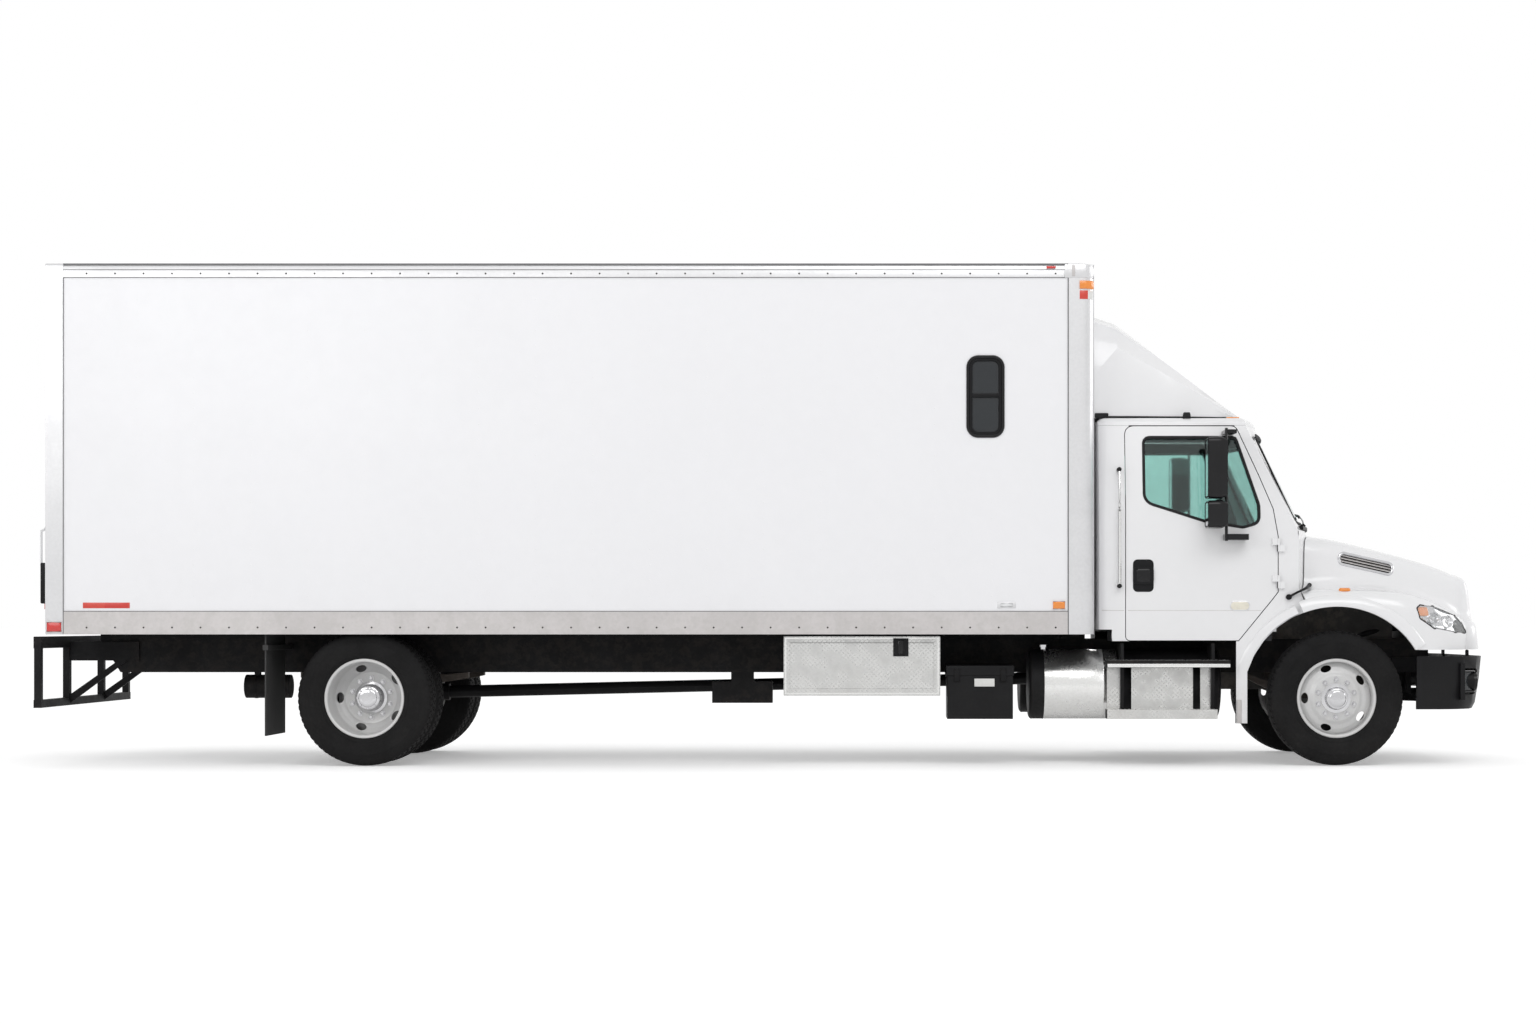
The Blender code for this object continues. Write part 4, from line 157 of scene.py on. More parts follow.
def set_in(outline, plane, depth):
    """A flat outline as 3-D points: its plane is xz, yz or xy, and depth is the third coordinate."""
    outline = np.asarray(outline, float)
    depth = np.broadcast_to(depth, (len(outline),))
    order = {"xz": (0, None, 1), "yz": (None, 0, 1), "xy": (0, 1, None)}[plane]
    return np.stack([depth if axis is None else outline[:, axis] for axis in order], axis=1)


class Form:
    """A mesh gathered from grids: points, faces and which material each face takes."""

    def __init__(self):
        self.points = []
        self.faces = []
        self.slots = []
        self.total = 0

    def put(self, points, faces, slot=0):
        """Add points and faces given as index rows of three or four."""
        self.points.append(np.asarray(points, float).reshape(-1, 3))
        self.faces.append(np.asarray(faces) + self.total)
        self.slots.append(np.full(len(faces), slot))
        self.total += len(self.points[-1])
        return self

    def grid(self, points, wrap_u=False, wrap_v=False, slot=0):
        """Add an array of rows and columns of points as quads, closed round if wrapped."""
        points = np.asarray(points, float)
        m, n = points.shape[:2]
        u = np.arange(m if wrap_u else m - 1)[:, None]
        v = np.arange(n if wrap_v else n - 1)[None, :]
        a = u * n + v
        b = ((u + 1) % m) * n + v
        c = ((u + 1) % m) * n + (v + 1) % n
        d = u * n + (v + 1) % n
        return self.put(points, np.stack([a, b, c, d], axis=-1).reshape(-1, 4), slot)

    def loops(self, loops, slot=0, caps=(True, True)):
        """Add closed loops of like length as a skin, its ends closed to their middles."""
        loops = [np.asarray(loop, float) for loop in loops]
        if caps[0]:
            loops.insert(0, np.broadcast_to(loops[0].mean(0), loops[0].shape))
        if caps[1]:
            loops.append(np.broadcast_to(loops[-1].mean(0), loops[-1].shape))
        return self.grid(np.stack(loops), wrap_v=True, slot=slot)

    def prism(self, outline, plane, span, slot=0, edge=0.0):
        """Add an outline drawn through a span, its rims eased by an edge width."""
        low, high = span
        if edge <= 0.0:
            return self.loops([set_in(outline, plane, low), set_in(outline, plane, high)], slot)
        near, far = (edge, -edge) if high > low else (-edge, edge)
        inner = outward(outline, -edge)
        middle = outward(outline, -edge * 0.3)
        return self.loops([set_in(inner, plane, low), set_in(middle, plane, low + near * 0.3),
                           set_in(outline, plane, low + near), set_in(outline, plane, high + far),
                           set_in(middle, plane, high + far * 0.3), set_in(inner, plane, high)], slot)

    def box(self, x, y, z, slot=0, edge=0.002):
        """Add a block with eased edges."""
        return self.prism(rectangle(x, y, edge * 1.5, 3), "xy", z, slot, edge)

    def turned(self, profile, centre, axis, count=32, slot=0, closed=False):
        """Add rows of radius and distance along an axis, turned round it."""
        profile = np.asarray(profile, float)
        axis = np.asarray(axis, float) / np.linalg.norm(axis)
        side = np.cross(axis, (0.0, 0.0, 1.0) if abs(axis[2]) < 0.9 else (1.0, 0.0, 0.0))
        side /= np.linalg.norm(side)
        up = np.cross(axis, side)
        angle = np.linspace(0.0, TURN, count, endpoint=False)[:, None, None]
        ring = side * np.cos(angle) + up * np.sin(angle)
        points = np.asarray(centre) + ring * profile[None, :, :1] + axis * profile[None, :, 1:2]
        return self.grid(points, wrap_u=True, wrap_v=closed, slot=slot)

    def rod(self, start, end, radius, count=12, slot=0, edge=0.0015):
        """Add a round bar between two points, its ends eased."""
        start, end = np.asarray(start, float), np.asarray(end, float)
        length = float(np.linalg.norm(end - start))
        edge = min(edge, radius * 0.5, length * 0.4)
        profile = rows((0.0, 0.0), (radius - edge, 0.0), (radius, edge), (radius, length - edge),
                       (radius - edge, length), (0.0, length))
        return self.turned(profile, start, end - start, count, slot)

    def tube(self, path, radius, count=8, slot=0, squash=1.0):
        """Add a round bar along a path: a circle set square to the path at each point."""
        path = np.asarray(path, float)
        ahead = np.gradient(path, axis=0)
        ahead /= np.maximum(np.linalg.norm(ahead, axis=1), 1e-9)[:, None]
        side = np.cross(ahead, (0.0, 0.0, 1.0))
        flat = np.linalg.norm(side, axis=1) < 1e-3
        side[flat] = np.cross(ahead[flat], (0.0, 1.0, 0.0))
        side /= np.linalg.norm(side, axis=1)[:, None]
        top = np.cross(side, ahead)
        angle = np.linspace(0.0, TURN, count, endpoint=False)
        ring = (side[:, None] * np.cos(angle)[None, :, None]
                + top[:, None] * np.sin(angle)[None, :, None] * squash) * radius
        return self.loops(list(path[:, None] + ring), slot)

    def copies(self, other, places):
        """Add another form once at each place."""
        base = np.vstack(other.points)
        places = np.asarray(places, float).reshape(-1, 3)
        if not len(places):
            return self
        points = (base[None] + places[:, None]).reshape(-1, 3)
        step = (np.arange(len(places)) * len(base))[:, None, None]
        for group in other.faces:
            faces = (group[None] + step).reshape(-1, group.shape[1])
            self.faces.append(faces + self.total)
            self.slots.append(np.zeros(len(faces), int))
        self.points.append(points)
        self.total += len(points)
        return self

    def build(self, name, body, materials, replaces=(), angle=35.0):
        """Make the mesh object, close its seams, face it outward and set it riding on its body."""
        mesh = bpy.data.meshes.new(name)
        points = np.vstack(self.points)
        sizes = np.concatenate([np.full(len(f), f.shape[1]) for f in self.faces])
        corner = np.concatenate([f.reshape(-1) for f in self.faces]).astype(np.int32)
        mesh.vertices.add(len(points))
        mesh.vertices.foreach_set("co", points.astype(np.float32).ravel())
        mesh.loops.add(len(corner))
        mesh.loops.foreach_set("vertex_index", corner)
        mesh.polygons.add(len(sizes))
        starts = np.concatenate([[0], np.cumsum(sizes)[:-1]]).astype(np.int32)
        mesh.polygons.foreach_set("loop_start", starts)
        mesh.polygons.foreach_set("material_index", np.concatenate(self.slots).astype(np.int32))
        mesh.update(calc_edges=True)
        mesh.validate()
        close(mesh)
        return settle(mesh, name, body, materials, replaces, angle)


def close(mesh):
    """Merge doubled points and turn the faces outward."""
    bm = bmesh.new()
    bm.from_mesh(mesh)
    bmesh.ops.remove_doubles(bm, verts=bm.verts, dist=WELD)
    bmesh.ops.dissolve_degenerate(bm, edges=bm.edges, dist=WELD / 2)
    bmesh.ops.recalc_face_normals(bm, faces=bm.faces)
    bm.to_mesh(mesh)
    bm.free()


def settle(mesh, name, body, materials, replaces=(), angle=35.0):
    """Wrap a mesh in its object, smooth it below an angle and set it riding on its body."""
    if not isinstance(materials, (list, tuple)):
        materials = [materials]
    for one in materials:
        mesh.materials.append(one)
    piece = bpy.data.objects.new(name, mesh)
    bpy.context.scene.collection.objects.link(piece)
    smooth(mesh, angle)
    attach(piece, body)
    if replaces:
        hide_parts(*replaces)
    return piece


def smooth(mesh, angle):
    """Shade smooth and mark the edges sharper than an angle."""
    mesh.polygons.foreach_set("use_smooth", np.ones(len(mesh.polygons), bool))
    mesh.set_sharp_from_angle(angle=math.radians(angle))


def add_bevel(piece, width, segments):
    """Ease a piece's sharp edges by a width."""
    bevel = piece.modifiers.new("eased_edges", "BEVEL")
    bevel.width = width
    bevel.segments = segments
    bevel.limit_method = "ANGLE"
    bevel.angle_limit = EDGE_ANGLE
    bevel.harden_normals = True
    bevel.miter_outer = "MITER_SHARP"


def body_of(node):
    """The body that carries a node."""
    return NODES[node]["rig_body"]


def eased_copy(node, materials, width, segments=2, smooth_below=35.0, choose=None):
    """A node's own form with eased edges: its copy merged, its flat facets joined and its edges beveled."""
    mesh = NODES[node].data.copy()
    mesh.name = node + "_skin"
    mesh.materials.clear()
    bm = bmesh.new()
    bm.from_mesh(mesh)
    bmesh.ops.remove_doubles(bm, verts=bm.verts, dist=COPY_WELD)
    bmesh.ops.dissolve_limit(bm, angle_limit=FLAT_ANGLE, verts=bm.verts, edges=bm.edges)
    if choose is not None:
        for face in bm.faces:
            face.material_index = choose(face.calc_center_median(), face.normal)
    bm.to_mesh(mesh)
    bm.free()
    if mesh.has_custom_normals:
        mesh.attributes.remove(mesh.attributes["custom_normal"])
    piece = settle(mesh, mesh.name, body_of(node), materials, (node,), smooth_below)
    add_bevel(piece, width, segments)


def paint(material, *nodes):
    """Give nodes that keep their own form a material."""
    for node in nodes:
        data = NODES[node].data
        data.materials.clear()
        data.materials.append(material)
        smooth(data, 30.0)


def cut_out(piece, *cutters):
    """Cut forms out of a piece for good."""
    for cutter in cutters:
        step = piece.modifiers.new("cut", "BOOLEAN")
        step.operation = "DIFFERENCE"
        step.solver = "MANIFOLD"
        step.object = cutter
    apply_modifiers(piece)
    for cutter in cutters:
        bpy.data.objects.remove(cutter, do_unlink=True)


def apply_modifiers(piece):
    """Bake a piece's modifiers into its mesh."""
    bpy.context.view_layer.update()
    graph = bpy.context.evaluated_depsgraph_get()
    made = bpy.data.meshes.new_from_object(piece.evaluated_get(graph))
    piece.modifiers.clear()
    piece.data = made


def cutter(form):
    """A form as a bare object to cut with."""
    mesh = bpy.data.meshes.new("cutter")
    points = np.vstack(form.points)
    mesh.from_pydata(points.tolist(), [], [face for group in form.faces for face in group.tolist()])
    close(mesh)
    made = bpy.data.objects.new("cutter", mesh)
    bpy.context.scene.collection.objects.link(made)
    return made


def span_on(side, near, far):
    """The span of y between two distances out from the middle, on one side."""
    return tuple(sorted((side * near, side * far)))


def rounded(outline, radius, steps):
    """A closed outline with every corner rounded by one radius."""
    return round_corners(np.column_stack([outline, np.full(len(outline), radius)]), steps)


# Shader effects, each a node group built once


class Tree:
    """A short way to add and join shader nodes."""

    def __init__(self, tree):
        self.tree = tree
        self.column = 0

    def node(self, kind, settings=None, **inputs):
        """Add a node, set its options, and set or join its inputs by name or number."""
        made = self.tree.nodes.new(kind)
        made.location = (self.column * 180, -(self.column % 4) * 120)
        self.column += 1
        for name, value in (settings or {}).items():
            setattr(made, name, value)
        for name, value in inputs.items():
            key = int(name[1:]) if name[0] == "_" else name.replace("_", " ")
            self.join(value, made.inputs[key])
        return made

    def join(self, value, socket):
        """Join an output to a socket, or set the socket's value."""
        if isinstance(value, bpy.types.NodeSocket):
            self.tree.links.new(value, socket)
        elif isinstance(value, bpy.types.Node):
            self.tree.links.new(value.outputs[0], socket)
        else:
            socket.default_value = value

    def fill(self, sockets, values):
        """Join or set several sockets from a table of their names."""
        for name, value in values.items():
            self.join(value, sockets[name])

    def xyz(self, place):
        """The three numbers of a place."""
        return self.node("ShaderNodeSeparateXYZ", Vector=place).outputs

    def math(self, operation, a, b=0.0, clamp=False):
        """A math node's output."""
        made = self.node("ShaderNodeMath", {"operation": operation, "use_clamp": clamp})
        self.join(a, made.inputs[0])
        self.join(b, made.inputs[1])
        return made.outputs[0]

    def times(self, a, b, clamp=False):
        """The product of two values."""
        return self.math("MULTIPLY", a, b, clamp)

    def plus(self, a, b, clamp=False):
        """The sum of two values."""
        return self.math("ADD", a, b, clamp)

    def minus(self, a, b):
        """The first value less the second."""
        return self.math("SUBTRACT", a, b)

    def span(self, value, low, high, out_low=0.0, out_high=1.0):
        """A smooth step of a value between two limits."""
        made = self.node("ShaderNodeMapRange", {"interpolation_type": "SMOOTHSTEP"})
        for index, item in enumerate((value, low, high, out_low, out_high)):
            self.join(item, made.inputs[index])
        return made.outputs[0]

    def mix(self, share, a, b):
        """Two colours mixed by a share."""
        made = self.node("ShaderNodeMix", {"data_type": "RGBA"})
        self.join(share, made.inputs[0])
        self.join(a, made.inputs[6])
        self.join(b, made.inputs[7])
        return made.outputs[2]

    def noise(self, place, scale, detail=3.0, rough=0.55):
        """A noise value at a place."""
        return self.node("ShaderNodeTexNoise", Vector=place, Scale=scale, Detail=detail, Roughness=rough).outputs[0]


def effect(name, sockets_in, sockets_out, draw):
    """A node group made once: its sockets are rows of name, kind and default."""
    if name in bpy.data.node_groups:
        return bpy.data.node_groups[name]
    group = bpy.data.node_groups.new(name, "ShaderNodeTree")
    for label, kind, default in sockets_in:
        socket = group.interface.new_socket(label, in_out="INPUT", socket_type=kind)
        if default is not None:
            socket.default_value = default
    for label, kind in sockets_out:
        group.interface.new_socket(label, in_out="OUTPUT", socket_type=kind)
    tree = Tree(group)
    source = group.nodes.new("NodeGroupInput")
    sink = group.nodes.new("NodeGroupOutput")
    tree.fill(sink.inputs, draw(tree, source.outputs))
    return group


FLOAT, COLOUR, VECTOR = "NodeSocketFloat", "NodeSocketColor", "NodeSocketVector"


def draw_road_film(t, given):
    """Dust that thickens toward the ground: height steps times patches of two noises."""
    height = t.xyz(given["Place"])[2]
    low = t.span(height, given["Low"], given["High"], 1.0, 0.0)
    patch = t.span(t.noise(given["Place"], 3.0, 5.0, 0.6), 0.35, 0.7)
    specks = t.span(t.noise(given["Place"], 45.0, 3.0, 0.7), 0.4, 0.75)
    cover = t.times(t.times(t.plus(t.times(patch, 0.7), 0.3), low),
                   t.plus(t.times(specks, 0.5), 0.5))
    mask = t.times(cover, given["Amount"], clamp=True)
    return {"Colour": t.mix(mask, given["Base"], given["Film"]), "Mask": mask}


def draw_tone(t, given):
    """Slow and fine changes of tone over a surface."""
    slow = t.noise(given["Place"], given["Scale"], 4.0, 0.6)
    fine = t.noise(given["Place"], t.times(given["Scale"], 17.0), 3.0, 0.6)
    share = t.plus(t.times(slow, 0.65), t.times(fine, 0.35))
    share = t.span(share, 0.32, 0.68)
    dark = t.node("ShaderNodeHueSaturation", Color=given["Base"], Value=t.minus(1.0, given["Depth"]))
    return {"Colour": t.mix(share, dark.outputs[0], given["Base"]), "Value": share}


def draw_worn_edge(t, given):
    """A mask that is high where the surface bends outward and a noise lets it show."""
    bend = t.span(t.node("ShaderNodeNewGeometry").outputs["Pointiness"], 0.52, 0.58)
    patch = t.span(t.noise(given["Place"], given["Scale"], 4.0, 0.7), 0.42, 0.62)
    return {"Mask": t.times(t.times(bend, patch), given["Amount"], clamp=True)}


def draw_tread_plate(t, given):
    """Raised lozenges in rows that alternate between two slants."""
    place = t.xyz(given["Place"])
    u = t.times(place[0], given["Scale"])
    v = t.times(place[2], given["Scale"])
    heights = []
    for slant, shift in ((1.0, 0.0), (-1.0, 0.5)):
        a = t.plus(u, shift)
        b = t.plus(v, shift)
        cell_a = t.minus(t.math("FRACT", a), 0.5)
        cell_b = t.minus(t.math("FRACT", b), 0.5)
        along = t.math("ABSOLUTE", t.plus(cell_a, t.times(cell_b, slant)))
        across = t.math("ABSOLUTE", t.minus(t.times(cell_a, slant), cell_b))
        size = t.plus(t.times(along, 1.1), t.times(across, 4.2))
        heights.append(t.span(size, 0.30, 0.46, 1.0, 0.0))
    return {"Height": t.math("MAXIMUM", heights[0], heights[1])}


def draw_weave(t, given):
    """Two sets of threads crossing over and under each other."""
    place = t.xyz(given["Place"])
    turn = t.times(given["Scale"], 6.2832)
    side = t.plus(place[1], t.times(place[0], 0.6))
    warp = t.math("SINE", t.times(side, turn))
    weft = t.math("SINE", t.times(t.plus(place[2], place[0]), turn))
    cross = t.times(warp, weft)
    return {"Height": t.plus(t.times(cross, 0.5), 0.5)}


def place_of(t):
    """The surface's own place in the truck's frame."""
    return t.node("ShaderNodeTexCoord").outputs["Object"]


def road_film():
    return effect("road_film",
                  [("Place", VECTOR, None), ("Base", COLOUR, None), ("Film", COLOUR, (0.30, 0.27, 0.23, 1)),
                   ("Low", FLOAT, 0.0), ("High", FLOAT, 1.0), ("Amount", FLOAT, 0.4)],
                  [("Colour", COLOUR), ("Mask", FLOAT)], draw_road_film)


def tone():
    return effect("tone", [("Place", VECTOR, None), ("Base", COLOUR, None), ("Scale", FLOAT, 2.0),
                           ("Depth", FLOAT, 0.1)],
                  [("Colour", COLOUR), ("Value", FLOAT)], draw_tone)


def worn_edge():
    return effect("worn_edge", [("Place", VECTOR, None), ("Scale", FLOAT, 12.0), ("Amount", FLOAT, 0.5)],
                  [("Mask", FLOAT)], draw_worn_edge)


def tread_plate():
    return effect("tread_plate", [("Place", VECTOR, None), ("Scale", FLOAT, 30.0)], [("Height", FLOAT)],
                  draw_tread_plate)


def weave():
    return effect("weave", [("Place", VECTOR, None), ("Scale", FLOAT, 300.0)], [("Height", FLOAT)], draw_weave)


def use(t, group, **inputs):
    """Place an effect in a material."""
    made = t.node("ShaderNodeGroup", {"node_tree": group})
    t.fill(made.inputs, inputs)
    return made.outputs


def new_material(name):
    """A new material with its tree, its shader's sockets and the surface's own place."""
    made = bpy.data.materials.new(name)
    made.use_nodes = True
    t = Tree(made.node_tree)
    return made, t, made.node_tree.nodes["Principled BSDF"].inputs, place_of(t)


# Finishes


FLUTE_PITCH = 0.012


def colour4(colour):
    """A colour with full alpha."""
    return (*tuple(colour)[:3], 1.0)


def finish_of(name, colour, rough=0.4, metal=0.0, coat=0.0, depth=0.06, tone_scale=1.5, film=0.25,
              film_high=1.4, film_colour=(0.32, 0.29, 0.25), grain=0.0, grain_scale=60.0, rough_swing=0.10,
              worn=0.0, worn_colour=(0.45, 0.44, 0.42), relief=None, colour_by=None, specular=0.5):
    """A painted, cast, moulded or bare finish: tone, road film, worn edges and fine relief."""
    if name in bpy.data.materials:
        return bpy.data.materials[name]
    made, t, shader, place = new_material(name)
    made.diffuse_color = colour4(colour)
    base = colour_by(t, place) if colour_by else colour4(colour)
    toned = use(t, tone(), Place=place, Base=base, Scale=tone_scale, Depth=depth)
    now = toned["Colour"]
    if worn > 0.0:
        bare = use(t, worn_edge(), Place=place, Amount=worn)["Mask"]
        now = t.mix(bare, now, colour4(worn_colour))
    roughness = t.span(toned["Value"], 0.0, 1.0, rough + rough_swing / 2, rough - rough_swing / 2)
    if film > 0.0:
        dust = use(t, road_film(), Place=place, Base=now, Film=colour4(film_colour), Low=0.0, High=film_high,
                   Amount=film)
        now = dust["Colour"]
        roughness = t.plus(roughness, t.times(dust["Mask"], 0.45), clamp=True)
    t.fill(shader, {"Base Color": now, "Roughness": roughness, "Metallic": metal, "Specular IOR Level": specular,
                    "Coat Weight": coat, "Coat Roughness": 0.06})
    if grain > 0.0 or relief is not None:
        height = t.noise(place, grain_scale, 3.0, 0.6)
        distance = grain
        if relief is not None:
            extra, distance = relief(t, place)
            share = min(1.0, grain / distance) if distance else 0.0
            height = t.plus(extra, t.times(height, share))
        bump = t.node("ShaderNodeBump", Height=height, Distance=distance, Strength=1.0)
        t.join(bump, shader["Normal"])
    return made


def glass_of(name, colour, alpha=1.0, clear=0.0, specular=0.5):
    """Tinted sheet glass with a little dust: see-through by its alpha, or clear all through."""
    if name in bpy.data.materials:
        return bpy.data.materials[name]
    made, t, shader, place = new_material(name)
    made.diffuse_color = (*colour, alpha)
    toned = use(t, tone(), Place=place, Base=colour4(colour), Scale=1.3, Depth=0.10)
    t.fill(shader, {"Base Color": toned["Colour"], "Roughness": t.span(toned["Value"], 0.0, 1.0, 0.06, 0.03),
                    "Transmission Weight": clear, "IOR": 1.5, "Specular IOR Level": specular})
    if clear == 0.0:
        dusty = t.span(t.noise(place, 2.0, 4.0, 0.6), 0.3, 0.7, alpha - 0.02, alpha + 0.03)
        t.join(dusty, shader["Alpha"])
    return made


def lens_of(name, colour, rough=0.12):
    """A moulded lamp lens: a grid of small flutes over a coloured body."""
    def flutes(t, place):
        parts = t.xyz(place)
        turn = TURN / FLUTE_PITCH
        across = t.math("SINE", t.times(parts[0], turn))
        beside = t.math("SINE", t.times(parts[1], turn))
        up = t.math("SINE", t.times(parts[2], turn))
        both = t.times(t.times(across, beside), up)
        return t.plus(t.times(both, 0.5), 0.5), 0.0006
    return finish_of(name, colour, rough, coat=0.6, depth=0.12, tone_scale=25.0, film=0.12, relief=flutes)


PAINT = {}


def truck_white():
    return finish_of("truck_white", PAINT["white"], 0.22, coat=0.5, depth=0.02, tone_scale=0.9, film=0.30,
                     film_high=1.15, grain=0.00025, grain_scale=220.0, rough_swing=0.06)


def van_white():
    return finish_of("van_white", PAINT["panel"], 0.34, coat=0.15, depth=0.025, tone_scale=0.5, film=0.12,
                     film_high=1.9, grain=0.0004, grain_scale=90.0)


def rail_aluminium():
    return finish_of("rail_aluminium", (0.69, 0.69, 0.70), 0.36, metal=0.6, depth=0.10, tone_scale=2.5, film=0.15,
                     film_high=1.4, film_colour=(0.42, 0.41, 0.40), grain=0.0003, grain_scale=150.0)


def rail_grey():
    return finish_of("rail_grey", (0.60, 0.575, 0.57), 0.45, metal=0.25, depth=0.12, tone_scale=2.0, film=0.25,
                     film_high=1.4, film_colour=(0.40, 0.37, 0.36), grain=0.0004, grain_scale=120.0, worn=0.3)


def bright_aluminium():
    def brushed(t, place):
        stretch = t.node("ShaderNodeMapping", Vector=place, Scale=(6.0, 260.0, 260.0))
        return t.noise(stretch.outputs[0], 1.0, 3.0, 0.6), 0.0003
    return finish_of("bright_aluminium", (0.78, 0.78, 0.77), 0.22, metal=0.95, depth=0.12, tone_scale=3.0,
                     film=0.35, film_high=1.0, relief=brushed, rough_swing=0.16)


def tread_plate_aluminium():
    def lozenges(t, place):
        return use(t, tread_plate(), Place=place, Scale=28.0)["Height"], 0.0030
    return finish_of("tread_plate_aluminium", (0.66, 0.66, 0.65), 0.30, metal=0.85, depth=0.22, tone_scale=9.0,
                     film=0.35, film_high=1.1, relief=lozenges, rough_swing=0.2)


def chassis_black():
    return finish_of("chassis_black", (0.012, 0.012, 0.013), 0.55, depth=0.35, tone_scale=3.5, film=0.25,
                     film_high=1.1, film_colour=(0.050, 0.045, 0.040), grain=0.0006, grain_scale=70.0, worn=0.22,
                     worn_colour=(0.06, 0.048, 0.040), specular=0.12)


def moulded_black():
    return finish_of("moulded_black", (0.010, 0.010, 0.011), 0.40, depth=0.20, tone_scale=3.0, film=0.16,
                     film_high=1.1, film_colour=(0.06, 0.057, 0.054), grain=0.0005, grain_scale=320.0,
                     specular=0.14)


def gloss_black():
    return finish_of("gloss_black", (0.010, 0.010, 0.011), 0.14, coat=0.15, depth=0.2, tone_scale=3.0, film=0.1,
                     film_colour=(0.08, 0.075, 0.07), specular=0.18)


def seal_rubber():
    return finish_of("seal_rubber", (0.016, 0.016, 0.017), 0.62, depth=0.2, tone_scale=8.0, film=0.15,
                     film_colour=(0.08, 0.075, 0.07), grain=0.0003, grain_scale=260.0, specular=0.2)


def tyre_rubber():
    return finish_of("tyre_rubber", (0.010, 0.010, 0.0105), 0.70, depth=0.30, tone_scale=4.0, film=0.40,
                     film_high=1.3, film_colour=(0.045, 0.042, 0.040), grain=0.0006, grain_scale=180.0, specular=0.12)


def wheel_paint():
    return finish_of("wheel_paint", PAINT["wheels"], 0.32, metal=0.1, coat=0.25, depth=0.10, tone_scale=6.0,
                     film=0.40, film_high=1.1, film_colour=(0.34, 0.31, 0.27), grain=0.0003, grain_scale=140.0,
                     worn=0.3, worn_colour=(0.38, 0.34, 0.30))


def chrome():
    return finish_of("chrome", (0.62, 0.62, 0.635), 0.10, metal=1.0, depth=0.12, tone_scale=9.0, film=0.16,
                     rough_swing=0.06)


def cast_steel():
    return finish_of("cast_steel", (0.060, 0.058, 0.055), 0.60, metal=0.4, depth=0.30, tone_scale=7.0, film=0.40,
                     film_high=1.2, film_colour=(0.085, 0.078, 0.068), grain=0.0012, grain_scale=90.0, worn=0.4,
                     worn_colour=(0.18, 0.155, 0.13))


def amber_lens():
    return lens_of("amber_lens", (0.90, 0.28, 0.03))


def red_lens():
    return lens_of("red_lens", (0.66, 0.025, 0.02))


def clear_lens():
    return lens_of("clear_lens", (0.82, 0.83, 0.84), rough=0.06)


def cover_glass():
    return glass_of("cover_glass", (0.86, 0.88, 0.88), 0.16)


def cab_glass():
    return glass_of("cab_glass", (0.54, 0.785, 0.74), clear=1.0, specular=0.12)


def dark_glass():
    return glass_of("dark_glass", (0.020, 0.024, 0.028), 0.90)


def mirror_glass():
    return finish_of("mirror_glass", (0.72, 0.74, 0.76), 0.03, metal=1.0, depth=0.04, tone_scale=5.0, film=0.08,
                     rough_swing=0.02)


def deck_boards():
    def boards(t, place):
        parts = t.xyz(place)
        gap = t.math("ABSOLUTE", t.minus(t.math("FRACT", t.times(parts[1], 6.5)), 0.5))
        return t.span(gap, 0.47, 0.492, 1.0, 0.0), 0.003

    def grain_colour(t, place):
        stretch = t.node("ShaderNodeMapping", Vector=place, Scale=(1.2, 26.0, 26.0))
        return t.mix(t.noise(stretch.outputs[0], 1.0, 5.0, 0.6), (0.20, 0.13, 0.075, 1), (0.38, 0.27, 0.17, 1))
    return finish_of("deck_boards", (0.30, 0.22, 0.14), 0.7, depth=0.25, tone_scale=2.0, film=0.2, relief=boards,
                     colour_by=grain_colour)


def cabin_plastic():
    return finish_of("cabin_plastic", (0.040, 0.040, 0.043), 0.62, depth=0.15, tone_scale=4.0, film=0.0,
                     grain=0.0004, grain_scale=420.0, specular=0.25)


def cabin_trim():
    return finish_of("cabin_trim", (0.075, 0.076, 0.080), 0.8, depth=0.15, tone_scale=3.0, film=0.0, grain=0.0005,
                     grain_scale=300.0, specular=0.25)


def seat_cloth():
    def threads(t, place):
        return use(t, weave(), Place=place, Scale=240.0)["Height"], 0.0006
    return finish_of("seat_cloth", (0.055, 0.058, 0.066), 0.9, depth=0.25, tone_scale=9.0, film=0.0, relief=threads,
                     specular=0.2)


def leaf_steel():
    def leaves(t, place):
        height = t.xyz(place)[2]
        layer = t.math("ABSOLUTE", t.minus(t.math("FRACT", t.times(height, 78.0)), 0.5))
        return t.span(layer, 0.40, 0.47, 1.0, 0.0), 0.003
    return finish_of("leaf_steel", (0.085, 0.07, 0.06), 0.65, metal=0.3, depth=0.3, tone_scale=6.0, film=0.4,
                     film_high=1.1, relief=leaves)


def flap_rubber():
    return finish_of("flap_rubber", (0.020, 0.020, 0.021), 0.68, depth=0.25, tone_scale=3.0, film=0.5,
                     film_high=1.1, grain=0.0005, grain_scale=160.0)


def label_white():
    return finish_of("label_white", (0.78, 0.78, 0.76), 0.5, depth=0.08, tone_scale=8.0, film=0.3)


def reflective_red():
    def stripes(t, place):
        along = t.xyz(place)[0]
        share = t.span(t.math("FRACT", t.times(along, 2.82)), 0.49, 0.50)
        return t.mix(share, (0.62, 0.03, 0.02, 1), (0.66, 0.05, 0.03, 1))
    return finish_of("reflective_red", (0.62, 0.03, 0.02), 0.35, coat=0.3, depth=0.12, tone_scale=40.0, film=0.25,
                     colour_by=stripes, grain=0.0003, grain_scale=900.0)


def warm_lens():
    return lens_of("warm_lens", (0.84, 0.80, 0.68), rough=0.10)


def rail_lip():
    return finish_of("rail_lip", (0.16, 0.16, 0.165), 0.5, metal=0.3, depth=0.15, tone_scale=3.0, film=0.2)


# Wheels and tyres

